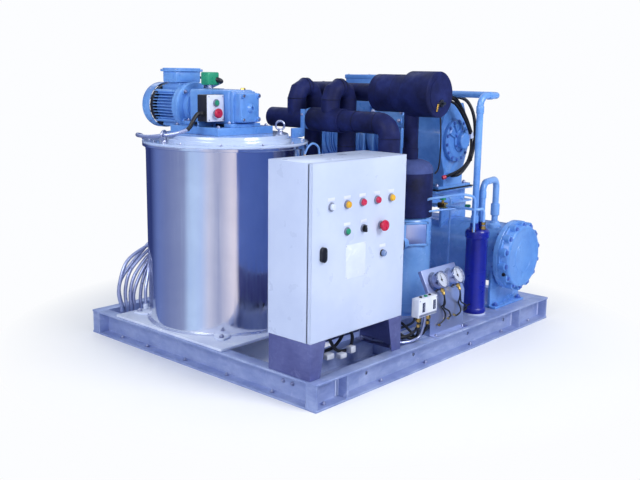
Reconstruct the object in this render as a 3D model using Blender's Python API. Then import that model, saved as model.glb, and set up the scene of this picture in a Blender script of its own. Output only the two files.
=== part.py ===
"""Slurry ice machine on a steel skid, with its own refrigeration plant.

Metres, +Z up. The origin is on the floor under the middle of the skid. The electrical cabinet
faces -Y, the ice drum stands at the -X end and the compressor, condenser and suction
accumulator stand at the +X end. Places along X are measured from the skid's left end and
places along Y from its front, so the equipment stays on its bearers when the skid is resized.
"""
import math

import bmesh
import bpy
from mathutils import Matrix, Vector

for item in list(bpy.data.objects):
    bpy.data.objects.remove(item, do_unlink=True)

ALONG_X = Vector((1, 0, 0))
ALONG_Y = Vector((0, 1, 0))
ALONG_Z = Vector((0, 0, 1))

# Clearances and shared section sizes
GAP = 0.0003
OVERLAP = 0.001
OVERRUN = 0.004
DRUM_SIDES = 36
SHELL_SIDES = 24
VESSEL_SIDES = 20
PIPE_SIDES = 12
ARCH_SIDES = 10
ROD_SIDES = 12
SMALL_SIDES = 8

# Skid
SKID_LENGTH = 1.600
SKID_WIDTH = 1.300
CHANNEL_HEIGHT = 0.100
CHANNEL_WIDTH = 0.050
CHANNEL_WEB = 0.006
CHANNEL_LIP = 0.008
END_PLATE = 0.010
PLATE_RECESS = 0.002
STIFFENER_INSETS = (0.160, 0.255)
RAIL_HOLE_RADIUS = 0.008
RAIL_HOLE_SHARES = (0.20, 0.38, 0.62, 0.80)
MIDDLE_MEMBER_INSET = 0.602
LEFT_MEMBER_INSET = 0.195
RIGHT_MEMBER_INSET = 1.160
DECK_WIDTH = 0.090
DECK_DEPTH = 0.050
FRONT_DECK_INSET = 0.052
ACCUMULATOR_DECK_INSET = 0.258
REAR_DECK_SETBACK = 0.170
REAR_DECK_INSET = SKID_WIDTH - REAR_DECK_SETBACK - DECK_WIDTH

LEFT = -SKID_LENGTH / 2
RIGHT = SKID_LENGTH / 2
FRONT = -SKID_WIDTH / 2
REAR = SKID_WIDTH / 2
INNER_LEFT = LEFT + CHANNEL_WIDTH
INNER_RIGHT = RIGHT - CHANNEL_WIDTH
INNER_FRONT = FRONT + CHANNEL_WIDTH
INNER_REAR = REAR - CHANNEL_WIDTH
DECK_TOP = CHANNEL_HEIGHT
MIDDLE_X = LEFT + MIDDLE_MEMBER_INSET
RIGHT_MEMBER_X = LEFT + RIGHT_MEMBER_INSET

# Ice drum
BASE_PLATE_SIDE = 0.654
BASE_PLATE_INSET = 0.006
BASE_PLATE_FRONT = 0.478
BASE_PLATE_THICKNESS = 0.010
DRUM_CENTRE_INSET = 0.346
DRUM_CENTRE_FRONT = 0.826
DRUM_RADIUS = 0.320
DRUM_WALL = 0.058
DRUM_HEIGHT = 0.719
DRUM_FLOOR = 0.050
DRUM_FLANGE_RADIUS = 0.333
DRUM_FLANGE_THICKNESS = 0.012
DRUM_FOOT_RADIUS = 0.328
DRUM_FOOT_THICKNESS = 0.006
EAR_WIDTH = 0.060
EAR_REACH = 0.385
EAR_THICKNESS = 0.008
NOZZLE_RADIUS = 0.030
NOZZLE_HEIGHT = 0.440
NOZZLE_REACH = 0.364
LINER_CLEARANCE = 0.0006
LINER_THICKNESS = 0.004
SHAFT_RADIUS = 0.0178
SHAFT_BORE_RADIUS = 0.0184
BEARING_RADIUS = 0.040
BEARING_HEIGHT = 0.030
BEARING_SEAT = 0.005
SCRAPER_ARM_WIDTH = 0.024
SCRAPER_ARM_THICKNESS = 0.012
SCRAPER_ARM_SHARES = (0.10, 0.50, 0.90)
SCRAPER_BLADE_DEPTH = 0.024
SCRAPER_BLADE_THICKNESS = 0.010
SCRAPER_BLADE_CLEARANCE = 0.0030
SCRAPER_BLADE_MARGIN = 0.030

DRUM_X = LEFT + DRUM_CENTRE_INSET
DRUM_Y = FRONT + DRUM_CENTRE_FRONT
DRUM_BOTTOM = DECK_TOP + GAP + BASE_PLATE_THICKNESS + GAP
DRUM_TOP = DRUM_BOTTOM + DRUM_HEIGHT
CAVITY_RADIUS = DRUM_RADIUS - DRUM_WALL
CAVITY_FLOOR = DRUM_BOTTOM + DRUM_FLOOR
LINER_RADIUS = CAVITY_RADIUS - LINER_CLEARANCE
LINER_BORE = LINER_RADIUS - LINER_THICKNESS

# Drum lid with its lifting eyes
LID_FLANGE_THICKNESS = 0.009
LID_FIRST_STEP_RADIUS = 0.280
LID_FIRST_STEP_HEIGHT = 0.013
LID_SECOND_STEP_RADIUS = 0.252
LID_SECOND_STEP_HEIGHT = 0.0145
LID_STEP_SLOPE = 0.005
EYE_CIRCLE_RADIUS = 0.238
EYE_ANGLES = (-24.0, 46.0, 172.0)
EYE_RING_RADIUS = 0.018
EYE_WIRE_RADIUS = 0.0035
EYE_STUD_RADIUS = 0.009
EYE_STUD_HEIGHT = 0.008
EYE_SIDES = 10
EYE_WIRE_SIDES = 4

LID_BOTTOM = DRUM_TOP + GAP
LID_TOP = LID_BOTTOM + LID_FLANGE_THICKNESS + LID_FIRST_STEP_HEIGHT + LID_SECOND_STEP_HEIGHT

# Gear unit on its base frame, and the motor behind it
GEAR_BASE_LENGTH = 0.296
GEAR_BASE_FRONT = 0.121
GEAR_BASE_REAR = 0.169
GEAR_BASE_HEIGHT = 0.029
GEAR_BASE_BEAM = 0.042
GEAR_HUB_RADIUS = 0.050
GEAR_HUB_BORE_HEIGHT = 0.062
GEAR_HALF_WIDTH = 0.066
GEAR_FRONT = 0.098
GEAR_REAR = 0.149
GEAR_BOTTOM_RISE = 0.009
GEAR_HEIGHT = 0.135
GEAR_FOOT_HALF_WIDTH = 0.078
GEAR_FOOT_LENGTH = 0.044
GEAR_FOOT_HEIGHT = 0.014
GEAR_EDGE = 0.012
GEAR_NOSE_HALF_WIDTH = 0.051
GEAR_NOSE_LENGTH = 0.048
GEAR_NOSE_MARGIN = 0.010
GEAR_BOSS_RADIUS = 0.012
GEAR_BOSS_HEIGHT = 0.012
GEAR_BOSS_RISE = 0.075
GEAR_NECK_RADIUS = 0.068
GEAR_NECK_LENGTH = 0.036
MOTOR_FLANGE_RADIUS = 0.097
MOTOR_FLANGE_THICKNESS = 0.020
MOTOR_AXIS_RISE = 0.070
MOTOR_CORE_RADIUS = 0.078
MOTOR_FIN_RADIUS = 0.090
MOTOR_FIN_COUNT = 20
MOTOR_FIN_SHARE = 0.42
MOTOR_LENGTH = 0.152
MOTOR_SHIELD_THICKNESS = 0.010
COWL_RADIUS = 0.095
COWL_LENGTH = 0.054
COWL_WALL = 0.003
COWL_EDGE = 0.010
COWL_SLOT_COUNT = 10
COWL_SLOT_WIDTH = 0.007
COWL_SLOT_INNER = 0.028
COWL_SLOT_OUTER = 0.078
FAN_SHAFT_RADIUS = 0.0080
FAN_BORE_RADIUS = 0.0085
FAN_BORE_DEPTH = 0.020
FAN_HUB_RADIUS = 0.017
FAN_HUB_LENGTH = 0.028
FAN_BLADE_LENGTH_SHARE = 0.8
FAN_START_SHARE = 0.5
FAN_BLADE_RADIUS = 0.076
FAN_BLADE_THICKNESS = 0.003
FAN_BLADE_COUNT = 8
FAN_STANDOFF = 0.008
NECK_HALF_WIDTH = 0.044
NECK_LENGTH = 0.070
NECK_START = 0.014
TERMINAL_RISE = 0.097
TERMINAL_HALF_WIDTH = 0.065
TERMINAL_LENGTH = 0.088
TERMINAL_HEIGHT = 0.050
TERMINAL_LID_THICKNESS = 0.015
TERMINAL_LID_MARGIN = 0.008
TERMINAL_EDGE = 0.006

GEAR_BASE_BOTTOM = LID_TOP + GAP
GEAR_BASE_TOP = GEAR_BASE_BOTTOM + GEAR_BASE_HEIGHT
GEAR_BOTTOM = GEAR_BASE_TOP + GEAR_BOTTOM_RISE
GEAR_TOP = GEAR_BOTTOM + GEAR_HEIGHT
MOTOR_Z = GEAR_BASE_TOP + MOTOR_AXIS_RISE
MOTOR_FACE_Y = DRUM_Y + GEAR_REAR + GEAR_NECK_LENGTH + MOTOR_FLANGE_THICKNESS + GAP
MOTOR_REAR_Y = MOTOR_FACE_Y + MOTOR_LENGTH + MOTOR_FLANGE_THICKNESS
TERMINAL_BOTTOM = MOTOR_Z + TERMINAL_RISE

# Start and stop box beside the gear unit
LOCAL_BOX_LEFT = 0.152
LOCAL_BOX_WIDTH = 0.085
LOCAL_BOX_FRONT = 0.067
LOCAL_BOX_DEPTH = 0.062
LOCAL_BOX_RISE = 0.022
LOCAL_BOX_HEIGHT = 0.104
LOCAL_BOX_EDGE = 0.004
LOCAL_START_SHARE = 0.70
LOCAL_STOP_SHARE = 0.32
LOCAL_PLATE_THICKNESS = 0.005

# Push buttons, shared by the start and stop box and the cabinet door
BEZEL_RADIUS = 0.0145
BEZEL_HEIGHT = 0.006
BUTTON_RADIUS = 0.0100
BUTTON_BORE_RADIUS = 0.0105
BUTTON_PROUD = 0.004
BUTTON_TRAVEL = 0.0035
BUTTON_DEPTH = 0.012
MUSHROOM_RADIUS = 0.0190
MUSHROOM_THICKNESS = 0.012
MUSHROOM_GAP = 0.005
MUSHROOM_EDGE = 0.004

# Level sensor on top of the gear unit
SENSOR_WIDTH = 0.058
SENSOR_DEPTH = 0.050
SENSOR_HEIGHT = 0.052
SENSOR_STEM_RADIUS = 0.011
SENSOR_STEM_HEIGHT = 0.015
SENSOR_SETBACK = 0.094
SENSOR_EDGE = 0.005
SENSOR_PLUG_RADIUS = 0.009
SENSOR_PLUG_LENGTH = 0.030

# Electrical cabinet on its plinth
CABINET_WIDTH = 0.500
CABINET_HEIGHT = 0.600
CABINET_DEPTH = 0.200
CABINET_INSET = 0.006
CABINET_FRONT = 0.035
CABINET_WALL = 0.0020
CABINET_RIM = 0.014
PLINTH_HEIGHT = 0.129
PLINTH_SHEET = 0.003
PLINTH_TOP_RETURN = 0.077
PLINTH_FOOT_RETURN = 0.052
PLINTH_FLANGE = 0.030
PLINTH_REAR_MARGIN = 0.004
DOOR_THICKNESS = 0.0195
DOOR_SHEET = 0.0020
DOOR_RETURN = 0.0025
HINGE_RADIUS = 0.0055
HINGE_PIN_RADIUS = 0.0028
HINGE_BORE_RADIUS = 0.0032
HINGE_KNUCKLE = 0.022
HINGE_LEAF = 0.003
HINGE_SHARES = (0.14, 0.80)
DOOR_SWING_CLEARANCE = 0.0010
LAMP_PITCH = 0.080
LAMP_FIRST_INSET = 0.093
LAMP_HEIGHT = 0.452
LAMP_COUNT = 5
LAMP_LENS_RADIUS = 0.0115
LAMP_LENS_HEIGHT = 0.009
LENS_CROWN_SHARE = 0.6
LAMP_BODY_RADIUS = 0.011
LAMP_BODY_LENGTH = 0.034
PANEL_BUTTON_HEIGHT = 0.360
GREEN_BUTTON_INSET = 0.175
SELECTOR_INSET = 0.262
EMERGENCY_INSET = 0.358
DIAL_KNOB_HEIGHT = 0.257
DIAL_KNOB_INSET = 0.372
EMERGENCY_COLLAR_RADIUS = 0.0165
EMERGENCY_COLLAR_HEIGHT = 0.012
LABEL_INSET = 0.171
LABEL_WIDTH = 0.106
LABEL_HEIGHT = 0.118
LABEL_BOTTOM = 0.193
LABEL_THICKNESS = 0.001
SELECTOR_SHAFT_RADIUS = 0.0060
SELECTOR_BORE_RADIUS = 0.0064
SELECTOR_KNOB_RADIUS = 0.0120
SELECTOR_KNOB_HEIGHT = 0.006
SELECTOR_BAR_WIDTH = 0.006
SELECTOR_BAR_HEIGHT = 0.010
SELECTOR_SHAFT_LENGTH = 0.012
DIAL_KNOB_RADIUS = 0.0110
DIAL_KNOB_DEPTH = 0.014
DIAL_POINTER_WIDTH = 0.003
LOCK_INSET = 0.053
LOCK_HEIGHT = 0.297
LOCK_SHAFT_RADIUS = 0.0070
LOCK_BORE_RADIUS = 0.0075
LOCK_HANDLE_LENGTH = 0.052
LOCK_HANDLE_WIDTH = 0.026
LOCK_HANDLE_THICKNESS = 0.010
LOCK_CAM_LENGTH = 0.034
LOCK_CAM_WIDTH = 0.016
LOCK_CAM_THICKNESS = 0.003
PLATE_MARGIN = 0.035
PLATE_THICKNESS = 0.0025
PLATE_SPACER_RADIUS = 0.005
DEVICE_ROW_SHARES = (0.20, 0.50, 0.78)
DEVICE_ROW_HEIGHT = 0.080
DEVICE_DEPTH = 0.060
DEVICE_COUNT = 4
DEVICE_GAP_SHARE = 0.12
DEVICE_RAIL_HEIGHT = 0.035
DEVICE_RAIL_DEPTH = 0.008

CABINET_LEFT = LEFT + CABINET_INSET
CABINET_RIGHT = CABINET_LEFT + CABINET_WIDTH
DOOR_FACE_Y = FRONT + CABINET_FRONT
DOOR_BACK_Y = DOOR_FACE_Y + DOOR_THICKNESS
BODY_FRONT_Y = DOOR_BACK_Y + DOOR_SWING_CLEARANCE
CABINET_BACK_Y = DOOR_FACE_Y + CABINET_DEPTH
CABINET_BOTTOM = DECK_TOP + GAP + PLINTH_HEIGHT + GAP
CABINET_TOP = CABINET_BOTTOM + CABINET_HEIGHT
HINGE_X = CABINET_RIGHT + HINGE_RADIUS + GAP
HINGE_Y = (DOOR_BACK_Y + BODY_FRONT_Y) / 2

# Gauge bracket, gauges and pressure switch
BRACKET_LEFT = 0.705
BRACKET_WIDTH = 0.235
BRACKET_FRONT = 0.040
BRACKET_SHEET = 0.003
BRACKET_FOOT = 0.032
BRACKET_UPRIGHT = 0.152
BRACKET_PANEL_LENGTH = 0.117
BRACKET_PANEL_TILT = 28.0
BRACKET_RETURN = 0.016
BRACKET_EAR_WIDTH = 0.110
BRACKET_EAR_BOTTOM = 0.110
GAUGE_SPREAD = 0.112
GAUGE_RADIUS = 0.036
GAUGE_DEPTH = 0.044
GAUGE_RIM = 0.003
GAUGE_DIAL_DEPTH = 0.009
GAUGE_PIVOT_RADIUS = 0.0022
GAUGE_FITTING_RADIUS = 0.006
GAUGE_FITTING_LENGTH = 0.022
NEEDLE_LENGTH = 0.026
NEEDLE_TAIL = 0.008
NEEDLE_WIDTH = 0.0022
NEEDLE_THICKNESS = 0.0012
NEEDLE_HUB_RADIUS = 0.0036
NEEDLE_HUB_HEIGHT = 0.003
SWITCH_WIDTH = 0.120
SWITCH_HEIGHT = 0.074
SWITCH_DEPTH = 0.036
SWITCH_OFFSET = 0.131
SWITCH_RISE = 0.107
SWITCH_EDGE = 0.003
SWITCH_WINDOW_WIDTH = 0.018
SWITCH_WINDOW_HEIGHT = 0.034
SWITCH_WINDOW_DEPTH = 0.002
SWITCH_WINDOW_SHARES = (0.26, 0.84)
SWITCH_PORT_RADIUS = 0.009
SWITCH_PORT_LENGTH = 0.020
SWITCH_PORT_SHARES = (0.20, 0.72)

# Oil separator and discharge pipes
SEPARATOR_INSET = 1.123
SEPARATOR_FRONT = 0.104
SEPARATOR_RADIUS = 0.047
SEPARATOR_RING_RADIUS = 0.051
SEPARATOR_RING_HEIGHT = 0.012
SEPARATOR_HEIGHT = 0.372
SEPARATOR_EDGE = 0.010
SEPARATOR_PORT_RADIUS = 0.018
SEPARATOR_PORT_HEIGHT = 0.026
SEPARATOR_PORT_OFFSET = 0.0265
PIPE_RADIUS = 0.014
PIPE_BEND = 0.042
OIL_RADIUS = 0.006
OIL_BEND = 0.022
OIL_SIDES = 8
OIL_PORT_RADIUS = 0.0105
OIL_PORT_OFFSET = 0.027
OIL_TOP = 0.560
OIL_TURN_X = 1.070
OIL_END_FRONT = 0.450
OIL_END_RISE = 0.040
DISCHARGE_TOP = 1.027
DISCHARGE_TURN_X = 1.248
DISCHARGE_END_Y = 0.488
HOT_GAS_TOP = 0.664

# Condenser
CONDENSER_INSET = 1.360
CONDENSER_Z = 0.330
CONDENSER_RADIUS = 0.135
CONDENSER_FLANGE_RADIUS = 0.153
CONDENSER_FLANGE_THICKNESS = 0.022
CONDENSER_FRONT = 0.052
CONDENSER_REAR = 1.245
CAP_RADIUS = 0.150
CAP_DOME_RADIUS = 0.118
CAP_THICKNESS = 0.018
CAP_DOME_HEIGHT = 0.015
SADDLE_WIDTH = 0.250
SADDLE_THICKNESS = 0.012
SADDLE_FOOT_WIDTH = 0.070
SADDLE_FOOT_THICKNESS = 0.010
SADDLE_INSETS = (0.098, 1.084)
SOCKET_OFFSET = 0.040
SOCKET_RADIUS = 0.021
SOCKET_HEIGHT = 0.476
SOCKET_FRONT = 0.140
WATER_PORT_OFFSET = 0.062
WATER_PORT_REACH = 0.205

CONDENSER_X = LEFT + CONDENSER_INSET

# Compressor on its stand over the condenser
COMPRESSOR_INSET = 1.310
STAND_HALF_WIDTH = 0.150
STAND_TOP = 0.600
STAND_BEAM_HEIGHT = 0.070
STAND_BEAM_WIDTH = 0.045
STAND_BEAM_INSETS = (0.350, 0.905)
STAND_TIE_WIDTH = 0.040
STAND_TIE_HEIGHT = 0.030
STAND_SADDLE_HALF_WIDTH = 0.100
STAND_SADDLE_THICKNESS = 0.014
CRANKCASE_FRONT = 0.362
CRANKCASE_REAR = 0.780
CRANKCASE_FOOT_HALF_WIDTH = 0.130
CRANKCASE_FOOT_HEIGHT = 0.016
CRANKCASE_WAIST = 0.075
CRANKCASE_WAIST_HEIGHT = 0.080
CRANKCASE_SHOULDER = 0.120
CRANKCASE_SHOULDER_LOW = 0.200
CRANKCASE_SHOULDER_HIGH = 0.260
CRANKCASE_CROWN = 0.060
CRANKCASE_HEIGHT = 0.385
COMPRESSOR_AXIS_RISE = 0.205
STATOR_RADIUS = 0.132
STATOR_REAR = 1.060
STATOR_RIB_COUNT = 3
STATOR_RIB_RADIUS = 0.140
STATOR_RIB_THICKNESS = 0.008
REAR_BELL_RADIUS = 0.140
REAR_BELL_THICKNESS = 0.024
HEAD_LENGTH = 0.190
HEAD_WIDTH = 0.104
HEAD_THICKNESS = 0.034
HEAD_SETBACK = 0.200
HEAD_EDGE = 0.010
END_COVER_RADIUS = 0.094
END_COVER_FACE_SHARE = 0.9
END_COVER_THICKNESS = 0.022
END_COVER_RISE = 0.218
PUMP_RADIUS = 0.042
PUMP_THICKNESS = 0.030
PUMP_OFFSET = 0.012
VALVE_WIDTH = 0.060
VALVE_DEPTH = 0.060
VALVE_HEIGHT = 0.070
SUCTION_VALVE_Y = 1.010
SUCTION_VALVE_RADIUS = 0.045
SUCTION_VALVE_RISE = 0.155
COMPRESSOR_BOX_HALF_WIDTH = 0.090
COMPRESSOR_BOX_FRONT = 0.715
COMPRESSOR_BOX_REAR = 0.940
COMPRESSOR_BOX_HEIGHT = 0.118
COMPRESSOR_BOX_NECK_MARGIN = 0.035
COMPRESSOR_BOX_EDGE = 0.006

COMPRESSOR_X = LEFT + COMPRESSOR_INSET
COMPRESSOR_BOTTOM = STAND_TOP + GAP
COMPRESSOR_AXIS_Z = COMPRESSOR_BOTTOM + COMPRESSOR_AXIS_RISE
COMPRESSOR_BOX_BOTTOM = COMPRESSOR_BOTTOM + CRANKCASE_HEIGHT + GAP

# Suction accumulator, filter and insulated suction pipes
ACCUMULATOR_INSET = 0.950
ACCUMULATOR_FRONT = 0.343
ACCUMULATOR_RADIUS = 0.100
ACCUMULATOR_NECK_RADIUS = 0.085
ACCUMULATOR_SHOULDER = 0.520
ACCUMULATOR_NECK_TOP = 0.700
ACCUMULATOR_EDGE = 0.014
JACKET_CLEARANCE = 0.0005
JACKET_SEAM = 0.705
DOME_STEPS = 5
JACKET_TOP = 0.760
STUB_HEIGHT = 0.420
STUB_REACH = 0.130
STUB_RADIUS = 0.030
FILTER_Z = 1.030
FILTER_FRONT = 0.205
FILTER_RADIUS = 0.093
FILTER_HEAD_LENGTH = 0.138
FILTER_TAIL_RADIUS = 0.0785
FILTER_LENGTH = 0.314
FILTER_EDGE = 0.006
RISER_RADIUS = 0.031
RISER_BOOT_RADIUS = 0.052
RISER_BOOT_HEIGHT = 0.045
SUCTION_PIPE_RADIUS = 0.0385
SUCTION_BEND = 0.050
HEADER_INSET = 0.750
HEADER_Z = 0.915
HEADER_RADIUS = 0.0425
HEADER_THICK_RADIUS = 0.050
HEADER_REAR = 0.966
HEADER_STEP_REAR = 0.7205
HEADER_STEP_FRONT = 0.544
HEADER_DROP_FRONT = 0.303
HEADER_DROP_RADIUS = 0.0440
HEADER_BEND = 0.056
ARCH_RADIUS = 0.040
ARCH_TOP = 1.047
ARCH_SPAN = 0.110
ARCH_BEND = 0.045
FRONT_ARCH_FRONT = 0.620
REAR_ARCH_FRONT = 0.817
ARCH_FRONTS = (FRONT_ARCH_FRONT, REAR_ARCH_FRONT)
BEND_STEPS = 3

ACCUMULATOR_X = LEFT + ACCUMULATOR_INSET
ACCUMULATOR_Y = FRONT + ACCUMULATOR_FRONT
HEADER_X = LEFT + HEADER_INSET

# Bracket that holds the header on the drum lid
CLAMP_FRONT = 0.722
CLAMP_WIDTH = 0.018
CLAMP_THICKNESS = 0.005
CLAMP_ARM_HEIGHT = 0.040
CLAMP_ARM_FOOT_X = 0.630
CLAMP_ARM_THICKNESS = 0.008
CLAMP_ARM_RECESS = 0.004
CLAMP_BAR_RISE = 0.003

# Cables: each route is a table of places from the skid's left end, its front and the floor
CABLE_RADIUS = 0.0075
CABLE_SIDES = 8
CABLE_LEAD = 0.012
GLAND_RADIUS = 0.0110
GLAND_LENGTH = 0.0250
LOCAL_GLAND_RISE = 0.030
PLATE_GLAND_INSET = 0.140
PLATE_GLAND_SETBACK = 0.022
PLATE_GLAND_FRONT = BASE_PLATE_FRONT + BASE_PLATE_SIDE - PLATE_GLAND_SETBACK
DRUM_GLAND_OFFSET = 0.046
DRUM_GLAND_Z = 0.420
MEMBER_GLAND_SETBACK = 0.110
MEMBER_GLAND_FRONT = SKID_WIDTH - MEMBER_GLAND_SETBACK
MEMBER_GLAND_Z = 0.055
BOX_GLAND_OFFSET = 0.050
BOX_GLAND_RISE = 0.028
CRANK_GLAND_OFFSET = 0.055
CRANK_GLAND_RISE = 0.065
CONTROL_ROUTE = ((0.148, 0.790, 0.925), (0.128, 0.795, 0.893), (0.095, 0.820, 0.876),
                 (0.060, 0.870, 0.866), (0.045, 0.940, 0.858), (0.058, 1.020, 0.857),
                 (0.100, 1.080, 0.856), (0.160, 1.128, 0.840), (0.195, 1.147, 0.780),
                 (0.202, 1.150, 0.680), (0.202, 1.150, 0.500), (0.180, 1.135, 0.300),
                 (0.145, 1.115, 0.200))
SUPPLY_ROUTE = ((0.300, 1.190, 0.418), (0.201, 1.195, 0.355), (0.075, 1.190, 0.240),
                (0.066, 1.185, 0.150), (0.110, 1.190, 0.080), (0.230, 1.190, 0.057),
                (0.450, 1.190, 0.055))
COMPRESSOR_ROUTE = ((1.362, 0.620, 1.016), (1.366, 0.450, 1.010), (1.370, 0.375, 1.007),
                    (1.376, 0.336, 0.982), (1.392, 0.316, 0.920), (1.400, 0.312, 0.830),
                    (1.378, 0.312, 0.745), (1.320, 0.305, 0.700), (1.270, 0.303, 0.674))
CONTROL_POINTS = 30
SUPPLY_POINTS = 28
COMPRESSOR_POINTS = 26


class Form:
    """A closed mesh that is put together from simple closed shapes."""

    def __init__(self):
        self.mesh = bmesh.new()

    def box(self, low, high, edge=0.0):
        """Add a box between two corners, with its edges chamfered when edge is given."""
        low, high = Vector(low), Vector(high)
        size = high - low
        place = Matrix.Translation((low + high) / 2) @ Matrix.Diagonal((*size, 1))
        made = bmesh.ops.create_cube(self.mesh, size=1, matrix=place)
        if edge:
            edges = {line for vert in made["verts"] for line in vert.link_edges}
            bmesh.ops.bevel(self.mesh, geom=list(edges), offset=edge, segments=1,
                            profile=0.5, affect="EDGES")
        return self

    def slab(self, centre, size, turn):
        """Add a box that is turned by a matrix about its own centre."""
        place = Matrix.Translation(centre) @ turn @ Matrix.Diagonal((*size, 1))
        bmesh.ops.create_cube(self.mesh, size=1, matrix=place)
        return self

    def rod(self, start, end, radius, end_radius=None, sides=ROD_SIDES):
        """Add a round bar between two points, tapered when end_radius is given."""
        start, end = Vector(start), Vector(end)
        run = end - start
        turn = run.to_track_quat("Z", "Y").to_matrix().to_4x4()
        bmesh.ops.create_cone(self.mesh, cap_ends=True, cap_tris=False, segments=sides,
                              radius1=radius, radius2=radius if end_radius is None else end_radius,
                              depth=run.length,
                              matrix=Matrix.Translation((start + end) / 2) @ turn)
        return self

    def turning(self, profile, origin, axis, sides=ROD_SIDES):
        """Spin a profile of (radius, distance along the axis) points about the axis."""
        turned = bmesh.new()
        verts = [turned.verts.new((radius, 0, along)) for radius, along in profile]
        edges = [turned.edges.new(pair) for pair in zip(verts, verts[1:])]
        if profile[0][0] > 0 and profile[-1][0] > 0:
            edges.append(turned.edges.new((verts[-1], verts[0])))
        bmesh.ops.spin(turned, geom=verts + edges, cent=(0, 0, 0), axis=ALONG_Z,
                       angle=math.tau, steps=sides, use_merge=True)
        bmesh.ops.remove_doubles(turned, verts=turned.verts, dist=GAP / 10)
        bmesh.ops.recalc_face_normals(turned, faces=turned.faces)
        turn = Vector(axis).to_track_quat("Z", "Y").to_matrix().to_4x4()
        turned.transform(Matrix.Translation(origin) @ turn)
        self.take(turned)
        return self

    def prism(self, outline, origin, across, upward, run):
        """Extrude an outline, given in the across and upward directions, along run."""
        made = bmesh.new()
        origin = Vector(origin)
        verts = [made.verts.new(origin + across * u + upward * v) for u, v in outline]
        face = made.faces.new(verts)
        pushed = bmesh.ops.extrude_face_region(made, geom=[face])["geom"]
        moved = [item for item in pushed if isinstance(item, bmesh.types.BMVert)]
        bmesh.ops.translate(made, verts=moved, vec=run)
        bmesh.ops.recalc_face_normals(made, faces=made.faces)
        self.take(made)
        return self

    def pipe(self, corners, radius, bend, sides=PIPE_SIDES):
        """Add a pipe along a broken line whose corners are rounded by bends."""
        self.sweep(bent_line(corners, bend), radius, sides)
        return self

    def sweep(self, points, radius, sides):
        """Add a round tube with filled ends along a line of points."""
        curve = bpy.data.curves.new("centre_line", "CURVE")
        fill_curve(curve, points, radius, sides)
        guide = bpy.data.objects.new("centre_line", curve)
        bpy.context.collection.objects.link(guide)
        graph = bpy.context.evaluated_depsgraph_get()
        tube = bpy.data.meshes.new_from_object(guide.evaluated_get(graph))
        swept = bmesh.new()
        swept.from_mesh(tube)
        bmesh.ops.remove_doubles(swept, verts=swept.verts, dist=GAP / 10)
        bmesh.ops.recalc_face_normals(swept, faces=swept.faces)
        bpy.data.objects.remove(guide, do_unlink=True)
        bpy.data.meshes.remove(tube)
        bpy.data.curves.remove(curve)
        self.take(swept)

    def channel(self, corner, run, spine, mouth, height=CHANNEL_HEIGHT, width=CHANNEL_WIDTH):
        """Add a C-channel. The corner is the web's back, spine is the web's direction and
        mouth the way its flanges point."""
        outline = ((0, 0), (width, 0), (width, CHANNEL_LIP), (CHANNEL_WEB, CHANNEL_LIP),
                   (CHANNEL_WEB, height - CHANNEL_LIP), (width, height - CHANNEL_LIP),
                   (width, height), (0, height))
        return self.prism(outline, corner, mouth, spine, run)

    def take(self, other):
        """Copy another mesh into this one."""
        scratch = bpy.data.meshes.new("scratch")
        other.to_mesh(scratch)
        other.free()
        self.mesh.from_mesh(scratch)
        bpy.data.meshes.remove(scratch)


def fill_curve(curve, points, radius, sides):
    """Give a curve one straight-sided spline with a round section and filled ends."""
    curve.dimensions = "3D"
    spline = curve.splines.new("POLY")
    spline.points.add(len(points) - 1)
    for knot, point in zip(spline.points, points):
        knot.co = (*point, 1)
    curve.bevel_depth = radius
    curve.bevel_resolution = (sides - 4) // 2
    curve.use_fill_caps = True


def bent_line(corners, bend):
    """Points of a broken line with an arc of radius bend at each inner corner."""
    corners = [Vector(corner) for corner in corners]
    points = [corners[0]]
    for before, corner, after in zip(corners, corners[1:], corners[2:]):
        back = (before - corner).normalized()
        ahead = (after - corner).normalized()
        half = back.angle(ahead) / 2
        middle = corner + (back + ahead).normalized() * (bend / math.sin(half))
        start = corner + back * (bend / math.tan(half)) - middle
        end = corner + ahead * (bend / math.tan(half)) - middle
        swing = start.angle(end)
        pivot = start.cross(end).normalized()
        for step in range(BEND_STEPS + 1):
            turn = Matrix.Rotation(swing * step / BEND_STEPS, 3, pivot)
            points.append(middle + turn @ start)
    points.append(corners[-1])
    return points


def smooth_line(knots, count):
    """Evenly counted points of a Catmull-Rom curve through the knots."""
    knots = [Vector(knot) for knot in knots]
    padded = [knots[0] * 2 - knots[1]] + knots + [knots[-1] * 2 - knots[-2]]
    points = []
    for index in range(count):
        place = index * (len(knots) - 1) / (count - 1)
        span = min(int(place), len(knots) - 2)
        t = place - span
        a, b, c, d = padded[span:span + 4]
        points.append((b * 2 + (c - a) * t + (a * 2 - b * 5 + c * 4 - d) * t ** 2
                       + (b * 3 - a - c * 3 + d) * t ** 3) / 2)
    return points


def finish(name, colour, roughness, metallic=0.0):
    """A plain surface of one colour."""
    material = bpy.data.materials.new(name)
    material.use_nodes = True
    shader = material.node_tree.nodes["Principled BSDF"]
    shader.inputs["Base Color"].default_value = (*colour, 1)
    shader.inputs["Roughness"].default_value = roughness
    shader.inputs["Metallic"].default_value = metallic
    material.diffuse_color = (*colour, 1)
    return material


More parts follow.
